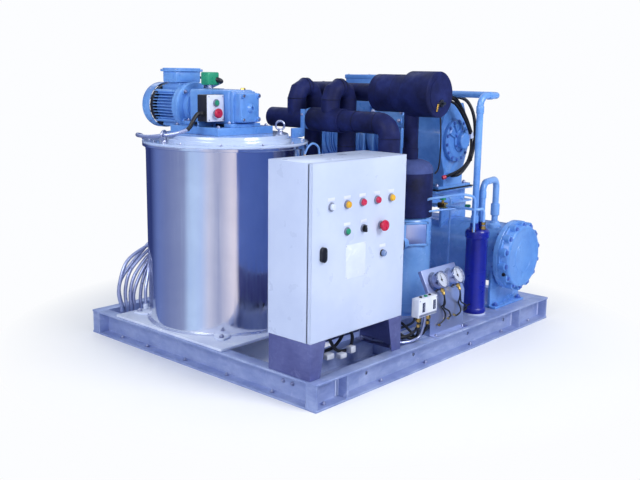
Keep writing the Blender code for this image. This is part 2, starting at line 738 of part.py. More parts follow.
GALVANISED = finish("galvanised_steel", (0.50, 0.51, 0.56), 0.45, 0.8)
PLANT_BLUE = finish("light_blue_paint", (0.16, 0.36, 0.72), 0.35)
DRIVE_BLUE = finish("drive_blue_paint", (0.10, 0.28, 0.68), 0.35)
ROYAL_BLUE = finish("royal_blue_paint", (0.01, 0.03, 0.42), 0.25)
CABINET_GREY = finish("cabinet_grey_paint", (0.72, 0.73, 0.75), 0.4)
DARK_GREY = finish("plinth_grey_paint", (0.10, 0.10, 0.12), 0.5)
PALE_PAINT = finish("pale_paint", (0.70, 0.74, 0.80), 0.4)
STAINLESS = finish("polished_stainless", (0.62, 0.63, 0.66), 0.18, 1.0)
INSULATION = finish("black_insulation", (0.008, 0.010, 0.025), 0.7)
BLACK_PLASTIC = finish("black_plastic", (0.01, 0.01, 0.012), 0.4)
WHITE_PLASTIC = finish("white_plastic", (0.78, 0.78, 0.80), 0.4)
GREEN_PLASTIC = finish("green_plastic", (0.02, 0.30, 0.12), 0.35)
RED_PLASTIC = finish("red_plastic", (0.55, 0.01, 0.03), 0.3)
CONDUIT_GREY = finish("conduit_grey", (0.35, 0.36, 0.40), 0.5)


def empty(name, place, parent=None):
    """A named pivot that moving pieces hang on."""
    pivot = bpy.data.objects.new(name, None)
    bpy.context.collection.objects.link(pivot)
    pivot.location = place
    if parent:
        pivot.parent = parent
        pivot.matrix_parent_inverse = Matrix.Translation(-parent.matrix_world.translation)
    bpy.context.view_layer.update()
    return pivot


def mesh_object(name, form, material=None):
    """Turn a form into an object of its own."""
    bmesh.ops.recalc_face_normals(form.mesh, faces=form.mesh.faces)
    data = bpy.data.meshes.new(name)
    form.mesh.to_mesh(data)
    form.mesh.free()
    if material:
        data.materials.append(material)
    thing = bpy.data.objects.new(name, data)
    bpy.context.collection.objects.link(thing)
    return thing


def part(name, material, form, adds=(), cuts=(), pivot=None):
    """One named piece: a form, the forms that are welded to it and those cut out of it."""
    thing = mesh_object(name, form, material)
    jobs = [("UNION", extra) for extra in adds] + [("DIFFERENCE", extra) for extra in cuts]
    for number, (operation, extra) in enumerate(jobs):
        guide = mesh_object(f"{name}_{operation.lower()}_{number}", extra)
        guide.hide_render = True
        guide.display_type = "WIRE"
        step = thing.modifiers.new(guide.name, "BOOLEAN")
        step.operation = operation
        step.solver = "EXACT"
        step.object = guide
    if pivot:
        place = pivot.matrix_world.translation
        thing.data.transform(Matrix.Translation(-place))
        thing.parent = pivot
    thing.data.shade_smooth()
    thing.data.set_sharp_from_angle(angle=math.radians(35))
    return thing


def tube_part(name, material, points, radius, sides):
    """A loose conduit or cable as a curve with a round section."""
    curve = bpy.data.curves.new(name, "CURVE")
    fill_curve(curve, points, radius, sides)
    curve.materials.append(material)
    thing = bpy.data.objects.new(name, curve)
    bpy.context.collection.objects.link(thing)
    return thing


def build_skid():
    """Four rails with end plates and stiffeners, and the bearers between them."""
    long_run = ALONG_X * SKID_LENGTH
    cross_length = INNER_REAR - INNER_FRONT - 2 * GAP
    cross_run = ALONG_Y * cross_length
    for name, web_y, mouth in (("front_rail", INNER_FRONT, -ALONG_Y),
                               ("rear_rail", INNER_REAR, ALONG_Y)):
        near = web_y + mouth.y * (CHANNEL_WEB - OVERLAP)
        far = web_y + mouth.y * (CHANNEL_WIDTH - PLATE_RECESS)
        rail = Form().channel((LEFT, web_y, 0), long_run, ALONG_Z, mouth)
        plates = Form()
        holes = Form()
        for plate_x in (LEFT + PLATE_RECESS, LEFT + STIFFENER_INSETS[0],
                        RIGHT - STIFFENER_INSETS[1], RIGHT - PLATE_RECESS - END_PLATE):
            plates.box((plate_x, min(near, far), CHANNEL_LIP - OVERLAP),
                       (plate_x + END_PLATE, max(near, far),
                        CHANNEL_HEIGHT - CHANNEL_LIP + OVERLAP))
        for share in RAIL_HOLE_SHARES:
            hole_x = LEFT + SKID_LENGTH * share
            holes.rod((hole_x, web_y - OVERRUN - CHANNEL_WEB, CHANNEL_HEIGHT / 2),
                      (hole_x, web_y + OVERRUN + CHANNEL_WEB, CHANNEL_HEIGHT / 2),
                      RAIL_HOLE_RADIUS, sides=SMALL_SIDES)
        part(name, GALVANISED, rail, [plates], [holes])
    for name, web_x, mouth in (("left_rail", INNER_LEFT, -ALONG_X),
                               ("right_rail", INNER_RIGHT, ALONG_X)):
        rail = Form().channel((web_x, INNER_FRONT + GAP, 0), cross_run, ALONG_Z, mouth)
        part(name, GALVANISED, rail)
    middle = Form().channel((MIDDLE_X, INNER_FRONT + GAP, 0), cross_run, ALONG_Z, ALONG_X)
    member_gland = Form().rod((MIDDLE_X - GLAND_LENGTH, FRONT + MEMBER_GLAND_FRONT, MEMBER_GLAND_Z),
                              (MIDDLE_X + CHANNEL_WEB / 2, FRONT + MEMBER_GLAND_FRONT,
                               MEMBER_GLAND_Z), GLAND_RADIUS, sides=SMALL_SIDES)
    part("middle_member", GALVANISED, middle, [member_gland])
    left_y = FRONT + LEFT_MEMBER_INSET + CHANNEL_WIDTH
    left_run = ALONG_X * (MIDDLE_X - INNER_LEFT - 2 * GAP)
    part("left_member", GALVANISED,
         Form().channel((INNER_LEFT + GAP, left_y, 0), left_run, ALONG_Z, -ALONG_Y))
    deck_start = MIDDLE_X + CHANNEL_WIDTH + GAP
    full_run = ALONG_X * (INNER_RIGHT - GAP - deck_start)
    short_run = ALONG_X * (RIGHT_MEMBER_X + CHANNEL_WEB / 2 - deck_start)
    spine = Form().channel((RIGHT_MEMBER_X, INNER_FRONT + GAP, 0), cross_run, ALONG_Z, ALONG_X)
    decks = []
    for inset, run in ((FRONT_DECK_INSET, full_run), (ACCUMULATOR_DECK_INSET, short_run),
                       (REAR_DECK_INSET, full_run)):
        decks.append(Form().channel((deck_start, FRONT + inset, DECK_TOP), run, ALONG_Y,
                                    -ALONG_Z, height=DECK_WIDTH, width=DECK_DEPTH))
    part("right_frame", GALVANISED, spine, decks)


def drum_reach(offset_y, radius):
    """How far the drum's round wall lies from its centre line, beside the centre."""
    return math.sqrt(radius ** 2 - offset_y ** 2)


def build_drum():
    """Base plate, insulated jacket, liner, scraper and the lid."""
    plate_left = LEFT + BASE_PLATE_INSET
    plate_front = FRONT + BASE_PLATE_FRONT
    plate_bottom = DECK_TOP + GAP
    plate_top = plate_bottom + BASE_PLATE_THICKNESS
    gland_x, gland_y = LEFT + PLATE_GLAND_INSET, FRONT + PLATE_GLAND_FRONT
    plate_gland = Form().rod((gland_x, gland_y, plate_top - OVERLAP),
                             (gland_x, gland_y, plate_top + GLAND_LENGTH), GLAND_RADIUS,
                             sides=SMALL_SIDES)
    part("drum_base_plate", PALE_PAINT,
         Form().box((plate_left, plate_front, plate_bottom),
                    (plate_left + BASE_PLATE_SIDE, plate_front + BASE_PLATE_SIDE, plate_top)),
         [plate_gland])

    seat = DRUM_FLOOR + BEARING_SEAT
    wall = ((0, 0), (DRUM_FOOT_RADIUS, 0), (DRUM_FOOT_RADIUS, DRUM_FOOT_THICKNESS),
            (DRUM_RADIUS, DRUM_FOOT_THICKNESS),
            (DRUM_RADIUS, DRUM_HEIGHT - DRUM_FLANGE_THICKNESS),
            (DRUM_FLANGE_RADIUS, DRUM_HEIGHT - DRUM_FLANGE_THICKNESS),
            (DRUM_FLANGE_RADIUS, DRUM_HEIGHT), (CAVITY_RADIUS, DRUM_HEIGHT),
            (CAVITY_RADIUS, DRUM_FLOOR), (BEARING_RADIUS, DRUM_FLOOR),
            (BEARING_RADIUS, DRUM_FLOOR + BEARING_HEIGHT),
            (SHAFT_BORE_RADIUS, DRUM_FLOOR + BEARING_HEIGHT), (SHAFT_BORE_RADIUS, seat),
            (0, seat))
    ears = []
    for quarter in range(4):
        angle = math.radians(45 + 90 * quarter)
        outward = Vector((math.cos(angle), math.sin(angle), 0))
        inner = DRUM_RADIUS - DRUM_WALL / 2
        centre = (Vector((DRUM_X, DRUM_Y, DRUM_BOTTOM + EAR_THICKNESS / 2))
                  + outward * (inner + EAR_REACH) / 2)
        ears.append(Form().slab(centre, (EAR_REACH - inner, EAR_WIDTH, EAR_THICKNESS),
                                Matrix.Rotation(angle, 4, "Z")))
    nozzles = []
    for arch_front in ARCH_FRONTS:
        offset = FRONT + arch_front - DRUM_Y
        start = (drum_reach(offset, DRUM_RADIUS) + drum_reach(offset, CAVITY_RADIUS)) / 2
        height = DRUM_BOTTOM + NOZZLE_HEIGHT
        nozzles.append(Form().rod((DRUM_X + start, DRUM_Y + offset, height),
                                  (DRUM_X + NOZZLE_REACH, DRUM_Y + offset, height),
                                  NOZZLE_RADIUS, sides=PIPE_SIDES))
    gland_x = DRUM_X - DRUM_GLAND_OFFSET
    gland_y = DRUM_Y + drum_reach(DRUM_GLAND_OFFSET, DRUM_RADIUS)
    drum_gland = Form().rod((gland_x, gland_y - DRUM_WALL / 2, DRUM_GLAND_Z),
                            (gland_x, gland_y + GLAND_LENGTH, DRUM_GLAND_Z), GLAND_RADIUS,
                            sides=SMALL_SIDES)
    part("drum_jacket", STAINLESS,
         Form().turning(wall, (DRUM_X, DRUM_Y, DRUM_BOTTOM), ALONG_Z, DRUM_SIDES),
         ears + nozzles + [drum_gland])

    liner_height = DRUM_HEIGHT - DRUM_FLOOR - GAP - OVERLAP
    ring = ((LINER_BORE, 0), (LINER_RADIUS, 0), (LINER_RADIUS, liner_height),
            (LINER_BORE, liner_height))
    part("drum_liner", STAINLESS,
         Form().turning(ring, (DRUM_X, DRUM_Y, CAVITY_FLOOR + GAP), ALONG_Z, DRUM_SIDES))

    build_lid()
    build_scraper()


def build_lid():
    """Stepped round cover with three lifting eyes."""
    first = LID_FLANGE_THICKNESS + LID_FIRST_STEP_HEIGHT
    top = LID_TOP - LID_BOTTOM
    cover = ((SHAFT_BORE_RADIUS, 0), (DRUM_FLANGE_RADIUS, 0),
             (DRUM_FLANGE_RADIUS, LID_FLANGE_THICKNESS),
             (LID_FIRST_STEP_RADIUS + LID_STEP_SLOPE, LID_FLANGE_THICKNESS),
             (LID_FIRST_STEP_RADIUS, first), (LID_SECOND_STEP_RADIUS + LID_STEP_SLOPE, first),
             (LID_SECOND_STEP_RADIUS, top), (SHAFT_BORE_RADIUS, top))
    eyes = []
    for degrees in EYE_ANGLES:
        angle = math.radians(degrees)
        outward = Vector((math.cos(angle), math.sin(angle), 0))
        foot = Vector((DRUM_X, DRUM_Y, LID_TOP - OVERLAP)) + outward * EYE_CIRCLE_RADIUS
        stud_top = foot + ALONG_Z * (EYE_STUD_HEIGHT + OVERLAP)
        stud = Form().rod(foot, stud_top, EYE_STUD_RADIUS, sides=SMALL_SIDES)
        turns = [math.tau * number / EYE_WIRE_SIDES for number in range(EYE_WIRE_SIDES)]
        loop = [(EYE_RING_RADIUS + EYE_WIRE_RADIUS * math.cos(swing),
                 EYE_WIRE_RADIUS * math.sin(swing)) for swing in turns]
        ring = Form().turning(loop, stud_top + ALONG_Z * EYE_RING_RADIUS, outward, EYE_SIDES)
        eyes += [stud, ring]
    part("drum_lid", PALE_PAINT,
         Form().turning(cover, (DRUM_X, DRUM_Y, LID_BOTTOM), ALONG_Z, DRUM_SIDES), eyes)


def build_scraper():
    """Upright shaft with two scraper blades on three pairs of arms."""
    pivot = empty("scraper_pivot", (DRUM_X, DRUM_Y, CAVITY_FLOOR))
    bottom = CAVITY_FLOOR + BEARING_SEAT + GAP
    top = GEAR_BASE_BOTTOM + GEAR_HUB_BORE_HEIGHT - OVERRUN
    blade_outer = LINER_BORE * math.cos(math.pi / DRUM_SIDES) - SCRAPER_BLADE_CLEARANCE
    blade_inner = blade_outer - SCRAPER_BLADE_DEPTH
    low = CAVITY_FLOOR + BEARING_HEIGHT + SCRAPER_BLADE_MARGIN
    high = DRUM_TOP - SCRAPER_BLADE_MARGIN
    shaft = Form().rod((DRUM_X, DRUM_Y, bottom), (DRUM_X, DRUM_Y, top), SHAFT_RADIUS,
                       sides=ROD_SIDES)
    arms = []
    for share in SCRAPER_ARM_SHARES:
        height = low + (high - low) * share
        arms.append(Form().box((DRUM_X - blade_inner - OVERLAP, DRUM_Y - SCRAPER_ARM_THICKNESS / 2,
                                height - SCRAPER_ARM_WIDTH / 2),
                               (DRUM_X + blade_inner + OVERLAP, DRUM_Y + SCRAPER_ARM_THICKNESS / 2,
                                height + SCRAPER_ARM_WIDTH / 2)))
    blades = Form()
    for near, far in ((-blade_outer, -blade_inner), (blade_inner, blade_outer)):
        blades.box((DRUM_X + near, DRUM_Y - SCRAPER_BLADE_THICKNESS / 2, low),
                   (DRUM_X + far, DRUM_Y + SCRAPER_BLADE_THICKNESS / 2, high))
    part("scraper_shaft", STAINLESS, shaft, arms + [blades], pivot=pivot)


def build_gear_unit():
    """Base frame on the lid, bevel gear unit with its hub down, and the level sensor."""
    left, right = DRUM_X - GEAR_BASE_LENGTH / 2, DRUM_X + GEAR_BASE_LENGTH / 2
    front, rear = DRUM_Y - GEAR_BASE_FRONT, DRUM_Y + GEAR_BASE_REAR
    frame = Form().box((left, front, GEAR_BASE_BOTTOM), (right, rear, GEAR_BASE_TOP))
    window = Form().box((left + GEAR_BASE_BEAM, front + GEAR_BASE_BEAM,
                         GEAR_BASE_BOTTOM - OVERRUN),
                        (right - GEAR_BASE_BEAM, rear - GEAR_BASE_BEAM, GEAR_BASE_TOP + OVERRUN))
    box_left = DRUM_X - LOCAL_BOX_LEFT
    box_back = DRUM_Y - LOCAL_BOX_FRONT + LOCAL_BOX_DEPTH
    upright = Form().box((left, box_back + GAP, GEAR_BASE_TOP - OVERLAP),
                         (box_left + LOCAL_BOX_WIDTH - LOCAL_BOX_EDGE,
                          box_back + GAP + LOCAL_PLATE_THICKNESS,
                          GEAR_BASE_TOP + LOCAL_BOX_RISE + LOCAL_BOX_HEIGHT / 2))
    part("gear_base", DRIVE_BLUE, frame, [upright], [window])

    body_front, body_rear = DRUM_Y - GEAR_FRONT, DRUM_Y + GEAR_REAR
    housing = Form().box((DRUM_X - GEAR_HALF_WIDTH, body_front, GEAR_BOTTOM),
                         (DRUM_X + GEAR_HALF_WIDTH, body_rear, GEAR_TOP), GEAR_EDGE)
    nose = Form().box((DRUM_X - GEAR_NOSE_HALF_WIDTH, body_front - GEAR_NOSE_LENGTH,
                       GEAR_BOTTOM + GEAR_NOSE_MARGIN),
                      (DRUM_X + GEAR_NOSE_HALF_WIDTH, body_front + GEAR_EDGE * 2,
                       GEAR_TOP - GEAR_NOSE_MARGIN), GEAR_EDGE)
    boss_z = GEAR_BASE_TOP + GEAR_BOSS_RISE
    boss = Form().rod((DRUM_X, body_front - GEAR_NOSE_LENGTH - GEAR_BOSS_HEIGHT, boss_z),
                      (DRUM_X, body_front - GEAR_NOSE_LENGTH + OVERRUN, boss_z),
                      GEAR_BOSS_RADIUS, sides=SMALL_SIDES)
    feet = []
    for foot_y in (front, rear - GEAR_FOOT_LENGTH):
        feet.append(Form().box((DRUM_X - GEAR_FOOT_HALF_WIDTH, foot_y, GEAR_BASE_TOP + GAP),
                               (DRUM_X + GEAR_FOOT_HALF_WIDTH, foot_y + GEAR_FOOT_LENGTH,
                                GEAR_BASE_TOP + GEAR_FOOT_HEIGHT)))
    hub = Form().rod((DRUM_X, DRUM_Y, GEAR_BASE_BOTTOM), (DRUM_X, DRUM_Y, GEAR_BOTTOM + GEAR_EDGE),
                     GEAR_HUB_RADIUS)
    disc_front = body_rear + GEAR_NECK_LENGTH
    neck = Form().rod((DRUM_X, body_rear - GEAR_EDGE, MOTOR_Z),
                      (DRUM_X, disc_front + OVERLAP, MOTOR_Z), GEAR_NECK_RADIUS)
    disc = Form().rod((DRUM_X, disc_front, MOTOR_Z),
                      (DRUM_X, disc_front + MOTOR_FLANGE_THICKNESS, MOTOR_Z),
                      MOTOR_FLANGE_RADIUS, sides=SHELL_SIDES)
    bore = Form().rod((DRUM_X, DRUM_Y, GEAR_BASE_BOTTOM - OVERRUN),
                      (DRUM_X, DRUM_Y, GEAR_BASE_BOTTOM + GEAR_HUB_BORE_HEIGHT),
                      SHAFT_BORE_RADIUS)
    part("gear_housing", DRIVE_BLUE, housing, [nose, boss] + feet + [hub, neck, disc], [bore])

    sensor_y = DRUM_Y + SENSOR_SETBACK
    sensor_bottom = GEAR_TOP + GAP + SENSOR_STEM_HEIGHT
    sensor = Form().box((DRUM_X - SENSOR_WIDTH / 2, sensor_y - SENSOR_DEPTH / 2, sensor_bottom),
                        (DRUM_X + SENSOR_WIDTH / 2, sensor_y + SENSOR_DEPTH / 2,
                         sensor_bottom + SENSOR_HEIGHT), SENSOR_EDGE)
    stem = Form().rod((DRUM_X, sensor_y, GEAR_TOP + GAP),
                      (DRUM_X, sensor_y, sensor_bottom + OVERRUN), SENSOR_STEM_RADIUS,
                      sides=SMALL_SIDES)
    plug_z = sensor_bottom + SENSOR_HEIGHT / 3
    plug_y = sensor_y - SENSOR_DEPTH / 2
    plug = Form().rod((DRUM_X, plug_y + OVERRUN, plug_z),
                      (DRUM_X, plug_y - SENSOR_PLUG_LENGTH, plug_z - SENSOR_PLUG_RADIUS),
                      SENSOR_PLUG_RADIUS, sides=SMALL_SIDES)
    part("sensor_box", GREEN_PLASTIC, sensor, [stem, plug])


def fin_outline():
    """Outline of the finned motor body: a fin and a valley for each share of the circle."""
    outline = []
    pitch = math.tau / MOTOR_FIN_COUNT
    for fin in range(MOTOR_FIN_COUNT):
        start = fin * pitch
        crest = start + pitch * MOTOR_FIN_SHARE
        for radius, angle in ((MOTOR_CORE_RADIUS, start), (MOTOR_FIN_RADIUS, start),
                              (MOTOR_FIN_RADIUS, crest), (MOTOR_CORE_RADIUS, crest)):
            outline.append((radius * math.cos(angle), radius * math.sin(angle)))
    return outline


def build_motor():
    """Finned motor, its terminal box, the fan and the slotted cowl."""
    axis = Vector((DRUM_X, 0, MOTOR_Z))
    face = axis + ALONG_Y * MOTOR_FACE_Y
    rear = axis + ALONG_Y * MOTOR_REAR_Y
    shield = MOTOR_SHIELD_THICKNESS
    body = Form().prism(fin_outline(), face + ALONG_Y * (MOTOR_FLANGE_THICKNESS - OVERLAP),
                        ALONG_X, ALONG_Z, ALONG_Y * (MOTOR_LENGTH - shield + 2 * OVERLAP))
    flange = Form().rod(face, face + ALONG_Y * MOTOR_FLANGE_THICKNESS, MOTOR_FLANGE_RADIUS,
                        sides=SHELL_SIDES)
    back = Form().rod(rear - ALONG_Y * shield, rear, COWL_RADIUS, sides=SHELL_SIDES)
    neck_y = MOTOR_FACE_Y + MOTOR_FLANGE_THICKNESS + NECK_START
    neck = Form().box((DRUM_X - NECK_HALF_WIDTH, neck_y, MOTOR_Z + MOTOR_CORE_RADIUS / 2),
                      (DRUM_X + NECK_HALF_WIDTH, neck_y + NECK_LENGTH, TERMINAL_BOTTOM - GAP))
    bore = Form().rod(rear - ALONG_Y * FAN_BORE_DEPTH, rear + ALONG_Y * OVERRUN, FAN_BORE_RADIUS,
                      sides=PIPE_SIDES)
    part("motor_body", DRIVE_BLUE, body, [flange, back, neck], [bore])

    box_y = neck_y - (TERMINAL_LENGTH - NECK_LENGTH) / 2
    lid_z = TERMINAL_BOTTOM + TERMINAL_HEIGHT
    box = Form().box((DRUM_X - TERMINAL_HALF_WIDTH, box_y, TERMINAL_BOTTOM),
                     (DRUM_X + TERMINAL_HALF_WIDTH, box_y + TERMINAL_LENGTH, lid_z + OVERLAP),
                     TERMINAL_EDGE)
    lid = Form().box((DRUM_X - TERMINAL_HALF_WIDTH - TERMINAL_LID_MARGIN,
                      box_y - TERMINAL_LID_MARGIN, lid_z - TERMINAL_EDGE),
                     (DRUM_X + TERMINAL_HALF_WIDTH + TERMINAL_LID_MARGIN,
                      box_y + TERMINAL_LENGTH + TERMINAL_LID_MARGIN,
                      lid_z - TERMINAL_EDGE + TERMINAL_LID_THICKNESS), TERMINAL_EDGE / 2)
    part("motor_terminal_box", DRIVE_BLUE, box, [lid])

    shell = ((0, COWL_LENGTH), (COWL_RADIUS - COWL_EDGE, COWL_LENGTH),
             (COWL_RADIUS, COWL_LENGTH - COWL_EDGE), (COWL_RADIUS, 0),
             (COWL_RADIUS - COWL_WALL, 0), (COWL_RADIUS - COWL_WALL, COWL_LENGTH - COWL_EDGE),
             (COWL_RADIUS - COWL_EDGE, COWL_LENGTH - COWL_WALL), (0, COWL_LENGTH - COWL_WALL))
    slots = Form()
    cowl_start = rear + ALONG_Y * GAP
    slot_y = ALONG_Y * (COWL_LENGTH - COWL_WALL / 2)
    for number in range(COWL_SLOT_COUNT):
        turn = Matrix.Rotation(math.tau * number / COWL_SLOT_COUNT, 4, "Y")
        reach = turn.to_3x3() @ (ALONG_X * (COWL_SLOT_INNER + COWL_SLOT_OUTER) / 2)
        slots.slab(cowl_start + slot_y + reach,
                   (COWL_SLOT_OUTER - COWL_SLOT_INNER, COWL_WALL * 2, COWL_SLOT_WIDTH), turn)
    part("fan_cowl", DRIVE_BLUE, Form().turning(shell, cowl_start, ALONG_Y, SHELL_SIDES), (),
         [slots])

    pivot = empty("fan_pivot", rear)
    shaft = Form().rod(rear - ALONG_Y * (FAN_BORE_DEPTH - OVERLAP),
                       rear + ALONG_Y * (FAN_STANDOFF + OVERLAP), FAN_SHAFT_RADIUS,
                       sides=PIPE_SIDES)
    hub_start = rear + ALONG_Y * FAN_STANDOFF
    hub = Form().rod(hub_start, hub_start + ALONG_Y * FAN_HUB_LENGTH, FAN_HUB_RADIUS)
    blades = []
    inner = FAN_HUB_RADIUS / 2
    for number in range(FAN_BLADE_COUNT):
        turn = Matrix.Rotation(math.tau * (number + FAN_START_SHARE) / FAN_BLADE_COUNT, 4, "Y")
        reach = turn.to_3x3() @ (ALONG_X * (inner + FAN_BLADE_RADIUS) / 2)
        centre = hub_start + ALONG_Y * FAN_HUB_LENGTH / 2 + reach
        sides = (FAN_BLADE_RADIUS - inner, FAN_HUB_LENGTH * FAN_BLADE_LENGTH_SHARE,
                 FAN_BLADE_THICKNESS)
        blades.append(Form().slab(centre, sides, turn))
    part("motor_fan", BLACK_PLASTIC, shaft, [hub] + blades, pivot=pivot)


def bezel_form(centre, height=BEZEL_HEIGHT, radius=BEZEL_RADIUS):
    """Ring round a button, standing proud of a face that looks to -Y."""
    return Form().rod(centre + ALONG_Y * OVERLAP, centre - ALONG_Y * height, radius)


def bore_form(centre, radius, proud, depth):
    """Bore from in front of a face that looks to -Y to a depth behind it."""
    return Form().rod(centre - ALONG_Y * (proud + OVERRUN), centre + ALONG_Y * depth, radius)


def push_button(name, material, centre, proud, pivot):
    """Flush button that slides into its bezel along +Y."""
    part(name, material,
         Form().rod(centre - ALONG_Y * (proud + BUTTON_PROUD), centre + ALONG_Y * BUTTON_DEPTH,
                    BUTTON_RADIUS), pivot=pivot)


def mushroom_button(name, material, centre, proud, pivot):
    """Mushroom head on a stem that slides into its collar along +Y."""
    head_back = proud + MUSHROOM_GAP
    head = ((0, head_back), (MUSHROOM_RADIUS - MUSHROOM_EDGE / 2, head_back),
            (MUSHROOM_RADIUS, head_back + MUSHROOM_EDGE),
            (MUSHROOM_RADIUS - MUSHROOM_EDGE, head_back + MUSHROOM_THICKNESS),
            (0, head_back + MUSHROOM_THICKNESS))
    stem = Form().rod(centre - ALONG_Y * (head_back + OVERLAP), centre + ALONG_Y * BUTTON_DEPTH,
                      BUTTON_RADIUS)
    part(name, material, Form().turning(head, centre, -ALONG_Y, ROD_SIDES), [stem], pivot=pivot)


def local_gland_end():
    """Where the cable leaves the start and stop box."""
    return Vector((DRUM_X - LOCAL_BOX_LEFT - GLAND_LENGTH / 2,
                   DRUM_Y - LOCAL_BOX_FRONT + LOCAL_BOX_DEPTH / 2,
                   GEAR_BASE_TOP + LOCAL_BOX_RISE + LOCAL_GLAND_RISE))


def build_local_box():
    """Start and stop box on an upright plate beside the gear unit."""
    left = DRUM_X - LOCAL_BOX_LEFT
    front = DRUM_Y - LOCAL_BOX_FRONT
    bottom = GEAR_BASE_TOP + LOCAL_BOX_RISE
    middle = left + LOCAL_BOX_WIDTH / 2
    start = Vector((middle, front, bottom + LOCAL_BOX_HEIGHT * LOCAL_START_SHARE))
    stop = Vector((middle, front, bottom + LOCAL_BOX_HEIGHT * LOCAL_STOP_SHARE))
    box = Form().box((left, front, bottom),
                     (left + LOCAL_BOX_WIDTH, front + LOCAL_BOX_DEPTH, bottom + LOCAL_BOX_HEIGHT),
                     LOCAL_BOX_EDGE)
    gland_end = local_gland_end()
    gland = Form().rod(gland_end, (left + OVERLAP, gland_end.y, gland_end.z), GLAND_RADIUS,
                       sides=SMALL_SIDES)
    depth = BUTTON_DEPTH + BUTTON_TRAVEL + OVERLAP
    part("local_box", WHITE_PLASTIC, box, [bezel_form(start), bezel_form(stop), gland],
         [bore_form(start, BUTTON_BORE_RADIUS, BEZEL_HEIGHT, depth),
          bore_form(stop, BUTTON_BORE_RADIUS, BEZEL_HEIGHT, depth)])
    push_button("local_start_button", GREEN_PLASTIC, start, BEZEL_HEIGHT,
                empty("local_start_pivot", start))
    mushroom_button("local_stop_button", RED_PLASTIC, stop, BEZEL_HEIGHT,
                    empty("local_stop_pivot", stop))


def build_plinth():
    """Two folded side plates that carry the cabinet over the skid."""
    bottom = DECK_TOP + GAP
    top = bottom + PLINTH_HEIGHT
    rear = CABINET_BACK_Y - PLINTH_REAR_MARGIN
    for name, edge_x, inward in (("left_plinth", CABINET_LEFT, 1), ("right_plinth", CABINET_RIGHT, -1)):
        near, far = sorted((edge_x, edge_x + inward * PLINTH_SHEET))
        side = Form().box((near, DOOR_FACE_Y, bottom), (far, rear, top))
        outline = ((0, 0), (PLINTH_FOOT_RETURN, 0), (PLINTH_TOP_RETURN, PLINTH_HEIGHT),
                   (0, PLINTH_HEIGHT))
        face = Form().prism(outline, (edge_x, DOOR_FACE_Y, bottom), ALONG_X * inward, ALONG_Z,
                            ALONG_Y * PLINTH_SHEET)
        flanges = []
        low_x, high_x = sorted((edge_x, edge_x + inward * PLINTH_FLANGE))
        for flange_z in (bottom, top - PLINTH_SHEET):
            flanges.append(Form().box((low_x, DOOR_FACE_Y, flange_z),
                                      (high_x, rear, flange_z + PLINTH_SHEET)))
        part(name, DARK_GREY, side, [face] + flanges)


def build_cabinet():
    """Open-fronted cabinet, its mounting plate with devices, and the hinged door."""
    inner_left, inner_right = CABINET_LEFT + CABINET_WALL, CABINET_RIGHT - CABINET_WALL
    inner_bottom, inner_top = CABINET_BOTTOM + CABINET_WALL, CABINET_TOP - CABINET_WALL
    shell = Form().box((CABINET_LEFT, BODY_FRONT_Y, CABINET_BOTTOM),
                       (CABINET_RIGHT, CABINET_BACK_Y, CABINET_TOP))
    hollow = Form().box((inner_left, BODY_FRONT_Y + CABINET_WALL, inner_bottom),
                        (inner_right, CABINET_BACK_Y - CABINET_WALL, inner_top))
    mouth = Form().box((CABINET_LEFT + CABINET_RIM, BODY_FRONT_Y - OVERRUN,
                        CABINET_BOTTOM + CABINET_RIM),
                       (CABINET_RIGHT - CABINET_RIM, BODY_FRONT_Y + CABINET_WALL + OVERRUN,
                        CABINET_TOP - CABINET_RIM))
    knuckles = []
    for share in HINGE_SHARES:
        middle = CABINET_BOTTOM + CABINET_HEIGHT * share
        knuckles.append(Form().rod((HINGE_X, HINGE_Y, middle - HINGE_KNUCKLE),
                                   (HINGE_X, HINGE_Y, middle), HINGE_RADIUS, sides=SMALL_SIDES))
        knuckles.append(Form().rod((HINGE_X, HINGE_Y, middle - OVERLAP),
                                   (HINGE_X, HINGE_Y, middle + HINGE_KNUCKLE - OVERLAP),
                                   HINGE_PIN_RADIUS, sides=SMALL_SIDES))
        knuckles.append(Form().box((CABINET_RIGHT - OVERLAP, HINGE_Y + HINGE_PIN_RADIUS,
                                    middle - HINGE_KNUCKLE),
                                   (HINGE_X, HINGE_Y + HINGE_RADIUS + HINGE_LEAF / 2,
                                    middle)))
    part("cabinet_body", CABINET_GREY, shell, knuckles, [hollow, mouth])

    build_mounting_plate()
    build_door()


